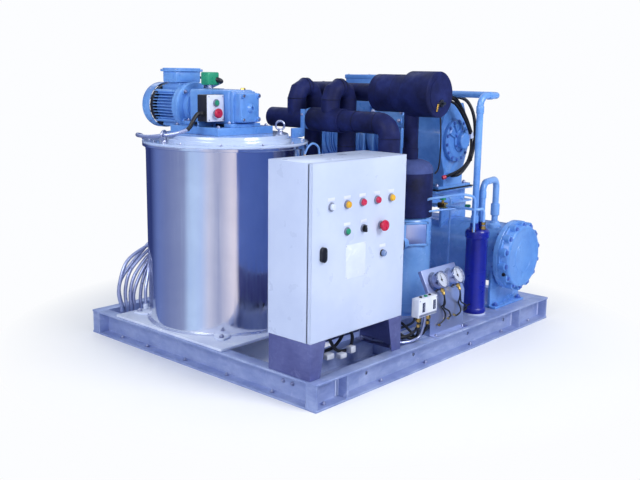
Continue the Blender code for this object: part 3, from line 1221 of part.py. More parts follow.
def build_mounting_plate():
    """Zinc plate at the back of the cabinet with three rails of devices."""
    left, right = CABINET_LEFT + PLATE_MARGIN, CABINET_RIGHT - PLATE_MARGIN
    bottom, top = CABINET_BOTTOM + PLATE_MARGIN, CABINET_TOP - PLATE_MARGIN
    back = CABINET_BACK_Y - CABINET_WALL - GAP
    plate_back = back - PLATE_SPACER_RADIUS * 2
    plate_front = plate_back - PLATE_THICKNESS
    plate = Form().box((left, plate_front, bottom), (right, plate_back, top))
    extras = []
    for corner_x in (left + PLATE_MARGIN / 2, right - PLATE_MARGIN / 2):
        for corner_z in (bottom + PLATE_MARGIN / 2, top - PLATE_MARGIN / 2):
            extras.append(Form().rod((corner_x, plate_back - OVERLAP, corner_z),
                                     (corner_x, back, corner_z), PLATE_SPACER_RADIUS,
                                     sides=SMALL_SIDES))
    pitch = (right - left - PLATE_MARGIN) / DEVICE_COUNT
    for share in DEVICE_ROW_SHARES:
        height = bottom + (top - bottom) * share
        extras.append(Form().box((left + PLATE_MARGIN / 2, plate_front - DEVICE_RAIL_DEPTH,
                                  height - DEVICE_RAIL_HEIGHT / 2),
                                 (right - PLATE_MARGIN / 2, plate_front + OVERLAP,
                                  height + DEVICE_RAIL_HEIGHT / 2)))
        devices = Form()
        for number in range(DEVICE_COUNT):
            start = left + PLATE_MARGIN / 2 + pitch * (number + DEVICE_GAP_SHARE / 2)
            devices.box((start, plate_front - DEVICE_DEPTH, height - DEVICE_ROW_HEIGHT / 2),
                        (start + pitch * (1 - DEVICE_GAP_SHARE),
                         plate_front - DEVICE_RAIL_DEPTH / 2, height + DEVICE_ROW_HEIGHT / 2))
        extras.append(devices)
    part("mounting_plate", GALVANISED, plate, extras)


def build_door():
    """Pan-shaped door with its lamps, and the controls that move in it."""
    face = DOOR_FACE_Y
    hinge = empty("door_pivot", (HINGE_X, HINGE_Y, CABINET_BOTTOM))
    shell = Form().box((CABINET_LEFT, face, CABINET_BOTTOM), (CABINET_RIGHT, DOOR_BACK_Y, CABINET_TOP))
    pocket = Form().box((CABINET_LEFT + DOOR_RETURN, face + DOOR_SHEET, CABINET_BOTTOM + DOOR_RETURN),
                        (CABINET_RIGHT - DOOR_RETURN, DOOR_BACK_Y + OVERRUN,
                         CABINET_TOP - DOOR_RETURN))
    controls = {
        "green": Vector((CABINET_LEFT + GREEN_BUTTON_INSET, face, CABINET_BOTTOM + PANEL_BUTTON_HEIGHT)),
        "selector": Vector((CABINET_LEFT + SELECTOR_INSET, face, CABINET_BOTTOM + PANEL_BUTTON_HEIGHT)),
        "emergency": Vector((CABINET_LEFT + EMERGENCY_INSET, face,
                             CABINET_BOTTOM + PANEL_BUTTON_HEIGHT)),
        "dial": Vector((CABINET_LEFT + DIAL_KNOB_INSET, face, CABINET_BOTTOM + DIAL_KNOB_HEIGHT)),
        "lock": Vector((CABINET_LEFT + LOCK_INSET, face, CABINET_BOTTOM + LOCK_HEIGHT)),
    }
    extras = []
    for number in range(LAMP_COUNT):
        centre = Vector((CABINET_LEFT + LAMP_FIRST_INSET + LAMP_PITCH * number, face,
                         CABINET_BOTTOM + LAMP_HEIGHT))
        lens_top = BEZEL_HEIGHT + LAMP_LENS_HEIGHT
        lamp = ((0, -LAMP_BODY_LENGTH), (LAMP_BODY_RADIUS, -LAMP_BODY_LENGTH),
                (LAMP_BODY_RADIUS, -OVERLAP), (BEZEL_RADIUS, -OVERLAP), (BEZEL_RADIUS, BEZEL_HEIGHT),
                (LAMP_LENS_RADIUS, BEZEL_HEIGHT),
                (LAMP_LENS_RADIUS, BEZEL_HEIGHT + LAMP_LENS_HEIGHT / 2),
                (LAMP_LENS_RADIUS * LENS_CROWN_SHARE, lens_top), (0, lens_top))
        extras.append(Form().turning(lamp, centre, -ALONG_Y, PIPE_SIDES))
    guide_depth = BUTTON_DEPTH + BUTTON_TRAVEL + OVERRUN
    for name, height, radius in (("green", BEZEL_HEIGHT, BEZEL_RADIUS),
                                 ("selector", BEZEL_HEIGHT, BEZEL_RADIUS),
                                 ("emergency", EMERGENCY_COLLAR_HEIGHT, EMERGENCY_COLLAR_RADIUS),
                                 ("dial", OVERLAP * 2, BEZEL_RADIUS),
                                 ("lock", OVERLAP * 2, BEZEL_RADIUS)):
        centre = controls[name]
        extras.append(Form().rod(centre - ALONG_Y * height, centre + ALONG_Y * guide_depth, radius))
    extras.append(Form().box((CABINET_LEFT + LABEL_INSET, face - LABEL_THICKNESS,
                              CABINET_BOTTOM + LABEL_BOTTOM),
                             (CABINET_LEFT + LABEL_INSET + LABEL_WIDTH, face + OVERLAP,
                              CABINET_BOTTOM + LABEL_BOTTOM + LABEL_HEIGHT)))
    knuckle_bores = Form()
    for share in HINGE_SHARES:
        middle = CABINET_BOTTOM + CABINET_HEIGHT * share
        extras.append(Form().rod((HINGE_X, HINGE_Y, middle + GAP),
                                 (HINGE_X, HINGE_Y, middle + HINGE_KNUCKLE), HINGE_RADIUS,
                                 sides=SMALL_SIDES))
        extras.append(Form().box((CABINET_RIGHT - OVERLAP, HINGE_Y - HINGE_RADIUS - HINGE_LEAF / 2,
                                  middle + GAP),
                                 (HINGE_X, HINGE_Y - HINGE_PIN_RADIUS, middle + HINGE_KNUCKLE)))
        knuckle_bores.rod((HINGE_X, HINGE_Y, middle - OVERRUN),
                          (HINGE_X, HINGE_Y, middle + HINGE_KNUCKLE + OVERRUN), HINGE_BORE_RADIUS,
                          sides=SMALL_SIDES)
    bores = Form()
    for name, radius, height in (("green", BUTTON_BORE_RADIUS, BEZEL_HEIGHT),
                                 ("selector", SELECTOR_BORE_RADIUS, BEZEL_HEIGHT),
                                 ("emergency", BUTTON_BORE_RADIUS, EMERGENCY_COLLAR_HEIGHT),
                                 ("dial", SELECTOR_BORE_RADIUS, OVERLAP * 2),
                                 ("lock", LOCK_BORE_RADIUS, OVERLAP * 2)):
        centre = controls[name]
        bores.rod(centre - ALONG_Y * (height + OVERRUN), centre + ALONG_Y * (guide_depth + OVERRUN),
                  radius)
    door = part("cabinet_door", CABINET_GREY, shell, (), [pocket], pivot=hinge)
    for number, extra in enumerate(extras):
        weld(door, extra, "UNION", number)
    weld(door, bores, "DIFFERENCE", "bores")
    weld(door, knuckle_bores, "DIFFERENCE", "knuckles")

    push_button("green_button", GREEN_PLASTIC, controls["green"], BEZEL_HEIGHT,
                empty("green_button_pivot", controls["green"], hinge))
    mushroom_button("emergency_stop", RED_PLASTIC, controls["emergency"], EMERGENCY_COLLAR_HEIGHT,
                    empty("emergency_pivot", controls["emergency"], hinge))
    build_turned_controls(controls, hinge, guide_depth)


def weld(thing, form, operation, label):
    """Add one more Boolean step to a piece."""
    guide = mesh_object(f"{thing.name}_{operation.lower()}_{label}", form)
    guide.hide_render = True
    guide.display_type = "WIRE"
    step = thing.modifiers.new(guide.name, "BOOLEAN")
    step.operation = operation
    step.solver = "EXACT"
    step.object = guide


def build_turned_controls(controls, hinge, guide_depth):
    """Selector switch, dial knob and the swing handle of the lock."""
    centre = controls["selector"]
    base = centre - ALONG_Y * (BEZEL_HEIGHT + GAP)
    knob = Form().rod(base, base - ALONG_Y * SELECTOR_KNOB_HEIGHT, SELECTOR_KNOB_RADIUS)
    bar_front = base.y - SELECTOR_KNOB_HEIGHT - SELECTOR_BAR_HEIGHT
    bar = Form().box((centre.x - SELECTOR_BAR_WIDTH / 2, bar_front, centre.z - SELECTOR_KNOB_RADIUS),
                     (centre.x + SELECTOR_BAR_WIDTH / 2, base.y - OVERLAP,
                      centre.z + SELECTOR_KNOB_RADIUS))
    shaft = Form().rod(base - ALONG_Y * OVERLAP, centre + ALONG_Y * SELECTOR_SHAFT_LENGTH,
                       SELECTOR_SHAFT_RADIUS)
    part("selector_switch", BLACK_PLASTIC, knob, [bar, shaft],
         pivot=empty("selector_pivot", centre, hinge))

    centre = controls["dial"]
    base = centre - ALONG_Y * (OVERLAP * 2 + GAP)
    knob = Form().rod(base, base - ALONG_Y * DIAL_KNOB_DEPTH, DIAL_KNOB_RADIUS)
    mark = Form().box((centre.x - DIAL_POINTER_WIDTH / 2, base.y - DIAL_KNOB_DEPTH - OVERLAP,
                       centre.z),
                      (centre.x + DIAL_POINTER_WIDTH / 2, base.y - OVERLAP,
                       centre.z + DIAL_KNOB_RADIUS + OVERLAP))
    shaft = Form().rod(base - ALONG_Y * OVERLAP, centre + ALONG_Y * SELECTOR_SHAFT_LENGTH,
                       SELECTOR_SHAFT_RADIUS)
    part("dial_knob", CONDUIT_GREY, knob, [mark, shaft], pivot=empty("dial_pivot", centre, hinge))

    centre = controls["lock"]
    base = centre - ALONG_Y * (OVERLAP * 2 + GAP)
    straight = (LOCK_HANDLE_LENGTH - LOCK_HANDLE_WIDTH) / 2
    oval = []
    for end, first in ((straight, 0), (-straight, math.pi)):
        for step in range(7):
            angle = first + math.pi * step / 6
            oval.append((LOCK_HANDLE_WIDTH / 2 * math.cos(angle),
                         end + LOCK_HANDLE_WIDTH / 2 * math.sin(angle)))
    handle = Form().prism(oval, base, ALONG_X, ALONG_Z, -ALONG_Y * LOCK_HANDLE_THICKNESS)
    cam_y = centre.y + guide_depth + GAP
    shaft = Form().rod(base - ALONG_Y * OVERLAP,
                       Vector((centre.x, cam_y + OVERLAP, centre.z)), LOCK_SHAFT_RADIUS)
    cam = Form().box((centre.x - LOCK_CAM_WIDTH / 2, cam_y, centre.z - LOCK_CAM_LENGTH),
                     (centre.x + LOCK_CAM_WIDTH / 2, cam_y + LOCK_CAM_THICKNESS,
                      centre.z + LOCK_CAM_WIDTH / 2))
    part("door_lock", BLACK_PLASTIC, handle, [shaft, cam], pivot=empty("lock_pivot", centre, hinge))


def build_gauges():
    """Folded stainless bracket, two dial gauges with needles, and the pressure switch."""
    left = LEFT + BRACKET_LEFT
    right = left + BRACKET_WIDTH
    bottom = DECK_TOP + GAP
    front = FRONT + BRACKET_FRONT
    sheet = BRACKET_SHEET
    tilt = math.radians(BRACKET_PANEL_TILT)
    up = Vector((0, math.sin(tilt), math.cos(tilt)))
    outward = Vector((0, -math.cos(tilt), math.sin(tilt)))
    knee = Vector((left, front, bottom + BRACKET_UPRIGHT))
    run = ALONG_X * BRACKET_WIDTH
    upright = Form().box((left, front, bottom), (right, front + sheet, bottom + BRACKET_UPRIGHT))
    foot = Form().box((left, front - BRACKET_FOOT, bottom), (right, front + sheet, bottom + sheet))
    panel = Form().prism(((0, -sheet), (BRACKET_PANEL_LENGTH, -sheet), (BRACKET_PANEL_LENGTH, 0),
                          (0, 0)), knee, up, outward, run)
    lip = Form().prism(((0, -BRACKET_RETURN), (BRACKET_PANEL_LENGTH, -BRACKET_RETURN),
                        (BRACKET_PANEL_LENGTH, 0), (0, 0)), knee, up, outward, ALONG_X * sheet)
    ear = Form().box((left - BRACKET_EAR_WIDTH, front, bottom + BRACKET_EAR_BOTTOM),
                     (left + OVERLAP, front + sheet, bottom + BRACKET_UPRIGHT))
    part("gauge_bracket", STAINLESS, upright, [foot, panel, lip, ear])

    middle = (left + right) / 2
    panel_centre = knee + up * BRACKET_PANEL_LENGTH / 2
    for name, needle_name, side in (("low_gauge", "low_needle", -1), ("high_gauge", "high_needle", 1)):
        seat = Vector((middle + side * GAUGE_SPREAD / 2, panel_centre.y, panel_centre.z))
        seat = seat + outward * GAP
        dial = GAUGE_DEPTH - GAUGE_DIAL_DEPTH
        case = ((0, 0), (GAUGE_RADIUS - GAUGE_RIM, 0), (GAUGE_RADIUS, GAUGE_RIM),
                (GAUGE_RADIUS, GAUGE_DEPTH), (GAUGE_RADIUS - GAUGE_RIM, GAUGE_DEPTH),
                (GAUGE_RADIUS - GAUGE_RIM, dial), (GAUGE_PIVOT_RADIUS, dial),
                (GAUGE_PIVOT_RADIUS, dial + NEEDLE_HUB_HEIGHT / 3), (0, dial + NEEDLE_HUB_HEIGHT / 3))
        port = seat + outward * dial / 2 - up * (GAUGE_RADIUS - OVERLAP * 2)
        fitting = Form().rod(port, port - up * GAUGE_FITTING_LENGTH, GAUGE_FITTING_RADIUS,
                             sides=SMALL_SIDES)
        part(name, STAINLESS, Form().turning(case, seat, outward, VESSEL_SIDES), [fitting])
        build_needle(needle_name, seat + outward * (dial + NEEDLE_HUB_HEIGHT / 3 + GAP), up, outward)

    switch_left = left - SWITCH_OFFSET
    switch_bottom = bottom + SWITCH_RISE
    switch_front = front - GAP - SWITCH_DEPTH
    switch = Form().box((switch_left, switch_front, switch_bottom),
                        (switch_left + SWITCH_WIDTH, front - GAP, switch_bottom + SWITCH_HEIGHT),
                        SWITCH_EDGE)
    windows = Form()
    for share in SWITCH_WINDOW_SHARES:
        window_x = switch_left + SWITCH_WIDTH * share
        window_z = switch_bottom + SWITCH_HEIGHT / 2
        windows.box((window_x - SWITCH_WINDOW_WIDTH / 2, switch_front - OVERRUN,
                     window_z - SWITCH_WINDOW_HEIGHT / 2),
                    (window_x + SWITCH_WINDOW_WIDTH / 2, switch_front + SWITCH_WINDOW_DEPTH,
                     window_z + SWITCH_WINDOW_HEIGHT / 2))
    ports = []
    for share in SWITCH_PORT_SHARES:
        port_x = switch_left + SWITCH_WIDTH * share
        ports.append(Form().rod((port_x, switch_front + SWITCH_DEPTH / 2,
                                 switch_bottom - SWITCH_PORT_LENGTH),
                                (port_x, switch_front + SWITCH_DEPTH / 2, switch_bottom + OVERLAP),
                                SWITCH_PORT_RADIUS, sides=SMALL_SIDES))
    part("pressure_switch", WHITE_PLASTIC, switch, ports, [windows])


def build_needle(name, centre, up, outward):
    """Gauge needle on its hub, pointing up the dial at rest."""
    pivot = empty(f"{name}_pivot", centre)
    across = Vector((1, 0, 0))
    hub = Form().rod(centre, centre + outward * NEEDLE_HUB_HEIGHT, NEEDLE_HUB_RADIUS,
                     sides=SMALL_SIDES)
    outline = ((-NEEDLE_WIDTH, -NEEDLE_TAIL), (NEEDLE_WIDTH, -NEEDLE_TAIL),
               (NEEDLE_WIDTH / 3, NEEDLE_LENGTH), (-NEEDLE_WIDTH / 3, NEEDLE_LENGTH))
    hand = Form().prism(outline, centre + outward * NEEDLE_THICKNESS, across, up,
                        outward * NEEDLE_THICKNESS)
    part(name, BLACK_PLASTIC, hub, [hand], pivot=pivot)


def build_discharge():
    """Oil separator, the tall discharge pipe and the hot gas bend into the condenser."""
    x, y = LEFT + SEPARATOR_INSET, FRONT + SEPARATOR_FRONT
    bottom = DECK_TOP + GAP
    vessel = ((0, 0), (SEPARATOR_RING_RADIUS, 0), (SEPARATOR_RING_RADIUS, SEPARATOR_RING_HEIGHT),
              (SEPARATOR_RADIUS, SEPARATOR_RING_HEIGHT + OVERRUN),
              (SEPARATOR_RADIUS, SEPARATOR_HEIGHT - SEPARATOR_EDGE),
              (SEPARATOR_RADIUS - SEPARATOR_EDGE, SEPARATOR_HEIGHT), (0, SEPARATOR_HEIGHT))
    port_top = bottom + SEPARATOR_HEIGHT + SEPARATOR_PORT_HEIGHT
    ports = []
    for side in (-1, 1):
        port_x = x + side * SEPARATOR_PORT_OFFSET
        ports.append(Form().rod((port_x, y, port_top - SEPARATOR_PORT_HEIGHT - SEPARATOR_EDGE * 2),
                                (port_x, y, port_top), SEPARATOR_PORT_RADIUS, sides=SMALL_SIDES))
    oil_x, oil_y = x, y - OIL_PORT_OFFSET
    ports.append(Form().rod((oil_x, oil_y, port_top - SEPARATOR_PORT_HEIGHT - SEPARATOR_EDGE * 2),
                            (oil_x, oil_y, port_top - SEPARATOR_PORT_HEIGHT / 2), OIL_PORT_RADIUS,
                            sides=SMALL_SIDES))
    part("oil_separator", ROYAL_BLUE, Form().turning(vessel, (x, y, bottom), ALONG_Z, VESSEL_SIDES),
         ports)

    inlet_x = x - SEPARATOR_PORT_OFFSET
    turn_x = LEFT + DISCHARGE_TURN_X
    part("discharge_pipe", PLANT_BLUE,
         Form().pipe(((inlet_x, y, port_top + GAP), (inlet_x, y, DISCHARGE_TOP),
                      (turn_x, y, DISCHARGE_TOP), (turn_x, FRONT + DISCHARGE_END_Y, DISCHARGE_TOP)),
                     PIPE_RADIUS, PIPE_BEND))
    crank_side = COMPRESSOR_X - CRANKCASE_WAIST - GAP
    oil_turn_x, oil_end_y = LEFT + OIL_TURN_X, FRONT + OIL_END_FRONT
    oil_end_z = COMPRESSOR_BOTTOM + OIL_END_RISE
    oil_line = Form().pipe(((oil_x, oil_y, port_top - SEPARATOR_PORT_HEIGHT / 2 + GAP),
                            (oil_x, oil_y, OIL_TOP), (oil_turn_x, oil_y, OIL_TOP),
                            (oil_turn_x, oil_end_y, OIL_TOP), (oil_turn_x, oil_end_y, oil_end_z),
                            (crank_side, oil_end_y, oil_end_z)), OIL_RADIUS, OIL_BEND, OIL_SIDES)
    part("oil_return_pipe", PLANT_BLUE, oil_line)
    outlet_x = x + SEPARATOR_PORT_OFFSET
    socket_x, socket_y = CONDENSER_X - SOCKET_OFFSET, FRONT + SOCKET_FRONT
    part("hot_gas_pipe", PLANT_BLUE,
         Form().pipe(((outlet_x, y, port_top + GAP), (outlet_x, y, HOT_GAS_TOP),
                      (socket_x, socket_y, HOT_GAS_TOP), (socket_x, socket_y, SOCKET_HEIGHT + GAP)),
                     PIPE_RADIUS, PIPE_BEND))


def build_condenser():
    """Shell on two saddles, with a bolted cap at each end."""
    front, rear = FRONT + CONDENSER_FRONT, FRONT + CONDENSER_REAR
    axis = Vector((CONDENSER_X, 0, CONDENSER_Z))
    length = rear - front
    flange = CONDENSER_FLANGE_THICKNESS
    shell = ((0, 0), (CONDENSER_FLANGE_RADIUS, 0), (CONDENSER_FLANGE_RADIUS, flange),
             (CONDENSER_RADIUS, flange), (CONDENSER_RADIUS, length - flange),
             (CONDENSER_FLANGE_RADIUS, length - flange), (CONDENSER_FLANGE_RADIUS, length),
             (0, length))
    extras = []
    foot_z = DECK_TOP + GAP
    for inset in SADDLE_INSETS:
        saddle_y = FRONT + inset
        extras.append(Form().box((CONDENSER_X - SADDLE_WIDTH / 2, saddle_y - SADDLE_THICKNESS / 2,
                                  foot_z + OVERLAP),
                                 (CONDENSER_X + SADDLE_WIDTH / 2, saddle_y + SADDLE_THICKNESS / 2,
                                  CONDENSER_Z)))
        extras.append(Form().box((CONDENSER_X - SADDLE_WIDTH / 2, saddle_y - SADDLE_FOOT_WIDTH / 2,
                                  foot_z),
                                 (CONDENSER_X + SADDLE_WIDTH / 2, saddle_y + SADDLE_FOOT_WIDTH / 2,
                                  foot_z + SADDLE_FOOT_THICKNESS)))
    socket_x, socket_y = CONDENSER_X - SOCKET_OFFSET, FRONT + SOCKET_FRONT
    extras.append(Form().rod((socket_x, socket_y, CONDENSER_Z + CONDENSER_RADIUS / 2),
                             (socket_x, socket_y, SOCKET_HEIGHT), SOCKET_RADIUS, sides=PIPE_SIDES))
    part("condenser_shell", PLANT_BLUE,
         Form().turning(shell, axis + ALONG_Y * front, ALONG_Y, SHELL_SIDES), extras)

    cover = ((0, 0), (CAP_RADIUS, 0), (CAP_RADIUS, CAP_THICKNESS),
             (CAP_DOME_RADIUS, CAP_THICKNESS), (CAP_DOME_RADIUS - CAP_DOME_HEIGHT,
                                                CAP_THICKNESS + CAP_DOME_HEIGHT),
             (0, CAP_THICKNESS + CAP_DOME_HEIGHT))
    for name, seat_y, outward in (("front_end_cap", front - GAP, -ALONG_Y),
                                  ("rear_end_cap", rear + GAP, ALONG_Y)):
        seat = axis + ALONG_Y * seat_y
        nozzles = []
        if outward.y > 0:
            middle = seat + outward * (CAP_THICKNESS + CAP_DOME_HEIGHT) / 2
            for side in (-1, 1):
                port = middle + ALONG_Z * (WATER_PORT_OFFSET * side)
                reach = Form().rod(port, port + ALONG_X * WATER_PORT_REACH,
                                   (CAP_THICKNESS + CAP_DOME_HEIGHT) / 2, sides=PIPE_SIDES)
                nozzles.append(reach)
        part(name, PLANT_BLUE, Form().turning(cover, seat, outward, SHELL_SIDES), nozzles)


def build_compressor():
    """Piston compressor on a welded stand that sits on the condenser's shell."""
    left, right = COMPRESSOR_X - STAND_HALF_WIDTH, COMPRESSOR_X + STAND_HALF_WIDTH
    beam_bottom = STAND_TOP - STAND_BEAM_HEIGHT
    first_y, last_y = (FRONT + inset for inset in STAND_BEAM_INSETS)
    run = ALONG_X * (2 * STAND_HALF_WIDTH)
    beam = Form().channel((left, first_y + STAND_BEAM_WIDTH, beam_bottom), run, ALONG_Z, -ALONG_Y,
                          height=STAND_BEAM_HEIGHT, width=STAND_BEAM_WIDTH)
    extras = [Form().channel((left, last_y, beam_bottom), run, ALONG_Z, ALONG_Y,
                             height=STAND_BEAM_HEIGHT, width=STAND_BEAM_WIDTH)]
    for tie_x in (left, right - STAND_TIE_WIDTH):
        extras.append(Form().box((tie_x, first_y + STAND_BEAM_WIDTH - OVERLAP,
                                  STAND_TOP - STAND_TIE_HEIGHT),
                                 (tie_x + STAND_TIE_WIDTH, last_y + OVERLAP, STAND_TOP)))
    for saddle_y in (first_y + STAND_BEAM_WIDTH - STAND_SADDLE_THICKNESS, last_y):
        extras.append(Form().box((CONDENSER_X - STAND_SADDLE_HALF_WIDTH, saddle_y, CONDENSER_Z
                                  + CONDENSER_RADIUS / 2),
                                 (CONDENSER_X + STAND_SADDLE_HALF_WIDTH,
                                  saddle_y + STAND_SADDLE_THICKNESS, beam_bottom + OVERLAP)))
    seat = Form().rod((CONDENSER_X, first_y - STAND_BEAM_WIDTH, CONDENSER_Z),
                      (CONDENSER_X, last_y + STAND_BEAM_WIDTH * 2, CONDENSER_Z),
                      CONDENSER_RADIUS + GAP, sides=SHELL_SIDES)
    part("compressor_stand", PLANT_BLUE, beam, extras, [seat])

    build_compressor_body()


def build_compressor_body():
    """Crankcase, motor barrel, heads, end cover and terminal box."""
    x, z = COMPRESSOR_X, COMPRESSOR_BOTTOM
    front, rear = FRONT + CRANKCASE_FRONT, FRONT + CRANKCASE_REAR
    half = ((CRANKCASE_WAIST, 0), (CRANKCASE_WAIST, CRANKCASE_WAIST_HEIGHT),
            (CRANKCASE_SHOULDER, CRANKCASE_SHOULDER_LOW), (CRANKCASE_SHOULDER, CRANKCASE_SHOULDER_HIGH),
            (CRANKCASE_CROWN, CRANKCASE_HEIGHT))
    outline = half + tuple((-u, v) for u, v in reversed(half))
    case = Form().prism(outline, (x, front, z), ALONG_X, ALONG_Z, ALONG_Y * (rear - front))
    axis = Vector((x, 0, COMPRESSOR_AXIS_Z))
    barrel_end = FRONT + STATOR_REAR
    extras = [Form().rod(axis + ALONG_Y * (rear - OVERRUN), axis + ALONG_Y * barrel_end,
                         STATOR_RADIUS, sides=VESSEL_SIDES)]
    pitch = (barrel_end - rear) / (STATOR_RIB_COUNT + 1)
    for number in range(STATOR_RIB_COUNT):
        rib_y = rear + pitch * (number + 1)
        extras.append(Form().rod(axis + ALONG_Y * (rib_y - STATOR_RIB_THICKNESS / 2),
                                 axis + ALONG_Y * (rib_y + STATOR_RIB_THICKNESS / 2),
                                 STATOR_RIB_RADIUS, sides=VESSEL_SIDES))
    extras.append(Form().rod(axis + ALONG_Y * (barrel_end - OVERLAP),
                             axis + ALONG_Y * (barrel_end + REAR_BELL_THICKNESS),
                             REAR_BELL_RADIUS, sides=VESSEL_SIDES))
    for foot_front in (FRONT + STAND_BEAM_INSETS[0], FRONT + STAND_BEAM_INSETS[1]):
        extras.append(Form().box((x - CRANKCASE_FOOT_HALF_WIDTH, foot_front, z),
                                 (x + CRANKCASE_FOOT_HALF_WIDTH, foot_front + STAND_BEAM_WIDTH,
                                  z + CRANKCASE_FOOT_HEIGHT)))
    web_rear = FRONT + STAND_BEAM_INSETS[1] + STAND_BEAM_WIDTH
    extras.append(Form().box((x - CRANKCASE_WAIST / 2, rear - OVERRUN, z),
                             (x + CRANKCASE_WAIST / 2, web_rear, COMPRESSOR_AXIS_Z)))
    valve_x = LEFT + DISCHARGE_TURN_X
    valve_y = FRONT + DISCHARGE_END_Y + GAP
    crown = z + CRANKCASE_HEIGHT
    extras.append(Form().box((valve_x - VALVE_WIDTH / 2, valve_y, crown - OVERRUN),
                             (valve_x + VALVE_WIDTH / 2, valve_y + VALVE_DEPTH, crown + VALVE_HEIGHT)))
    suction = Vector((x, FRONT + SUCTION_VALVE_Y, COMPRESSOR_AXIS_Z))
    extras.append(Form().rod(suction + ALONG_Z * STATOR_RADIUS / 2,
                             suction + ALONG_Z * SUCTION_VALVE_RISE, SUCTION_VALVE_RADIUS,
                             sides=PIPE_SIDES))
    crank_x, crank_z = x - CRANK_GLAND_OFFSET, z + CRANK_GLAND_RISE
    extras.append(Form().rod((crank_x, front - GLAND_LENGTH, crank_z),
                             (crank_x, front + OVERLAP, crank_z), GLAND_RADIUS,
                             sides=SMALL_SIDES))
    part("compressor_body", PLANT_BLUE, case, extras)

    slope = math.atan2(CRANKCASE_HEIGHT - CRANKCASE_SHOULDER_HIGH, CRANKCASE_SHOULDER - CRANKCASE_CROWN)
    for name, side in (("left_cylinder_head", -1), ("right_cylinder_head", 1)):
        along = Vector((-side * math.cos(slope), 0, math.sin(slope)))
        outward = Vector((side * math.sin(slope), 0, math.cos(slope)))
        middle = Vector((x + side * (CRANKCASE_SHOULDER + CRANKCASE_CROWN) / 2,
                         front + HEAD_SETBACK + HEAD_LENGTH / 2,
                         z + (CRANKCASE_SHOULDER_HIGH + CRANKCASE_HEIGHT) / 2))
        outline = ((-HEAD_WIDTH / 2, 0), (HEAD_WIDTH / 2, 0),
                   (HEAD_WIDTH / 2, HEAD_THICKNESS - HEAD_EDGE),
                   (HEAD_WIDTH / 2 - HEAD_EDGE, HEAD_THICKNESS),
                   (HEAD_EDGE - HEAD_WIDTH / 2, HEAD_THICKNESS),
                   (-HEAD_WIDTH / 2, HEAD_THICKNESS - HEAD_EDGE))
        start = middle + outward * GAP - ALONG_Y * HEAD_LENGTH / 2
        part(name, PLANT_BLUE, Form().prism(outline, start, along, outward, ALONG_Y * HEAD_LENGTH))

    cover_seat = Vector((x, front - GAP, z + END_COVER_RISE))
    cover = ((0, 0), (END_COVER_RADIUS, 0), (END_COVER_RADIUS, END_COVER_THICKNESS / 2),
             (END_COVER_RADIUS * END_COVER_FACE_SHARE, END_COVER_THICKNESS), (0, END_COVER_THICKNESS))
    pump = Form().rod(cover_seat - ALONG_Y * (END_COVER_THICKNESS - OVERLAP) + ALONG_X * PUMP_OFFSET,
                      cover_seat - ALONG_Y * (END_COVER_THICKNESS + PUMP_THICKNESS)
                      + ALONG_X * PUMP_OFFSET, PUMP_RADIUS, sides=8)
    part("compressor_end_cover", PLANT_BLUE,
         Form().turning(cover, cover_seat, -ALONG_Y, VESSEL_SIDES), [pump])

    box_front, box_rear = FRONT + COMPRESSOR_BOX_FRONT, FRONT + COMPRESSOR_BOX_REAR
    margin = COMPRESSOR_BOX_NECK_MARGIN
    box = Form().box((x - COMPRESSOR_BOX_HALF_WIDTH, box_front, COMPRESSOR_BOX_BOTTOM),
                     (x + COMPRESSOR_BOX_HALF_WIDTH, box_rear,
                      COMPRESSOR_BOX_BOTTOM + COMPRESSOR_BOX_HEIGHT), COMPRESSOR_BOX_EDGE)
    neck = Form().box((x - COMPRESSOR_BOX_HALF_WIDTH + margin, rear + margin, COMPRESSOR_AXIS_Z),
                      (x + COMPRESSOR_BOX_HALF_WIDTH - margin, box_rear - margin,
                       COMPRESSOR_BOX_BOTTOM + margin / 2))
    barrel = Form().rod(axis + ALONG_Y * rear, axis + ALONG_Y * barrel_end, STATOR_RIB_RADIUS + GAP,
                        sides=VESSEL_SIDES)
    gland_x = x + BOX_GLAND_OFFSET
    gland_z = COMPRESSOR_BOX_BOTTOM + BOX_GLAND_RISE
    box_gland = Form().rod((gland_x, box_front - GLAND_LENGTH, gland_z),
                           (gland_x, box_front + OVERLAP, gland_z), GLAND_RADIUS,
                           sides=SMALL_SIDES)
    part("compressor_terminal_box", PLANT_BLUE, box, [neck, box_gland], [barrel])


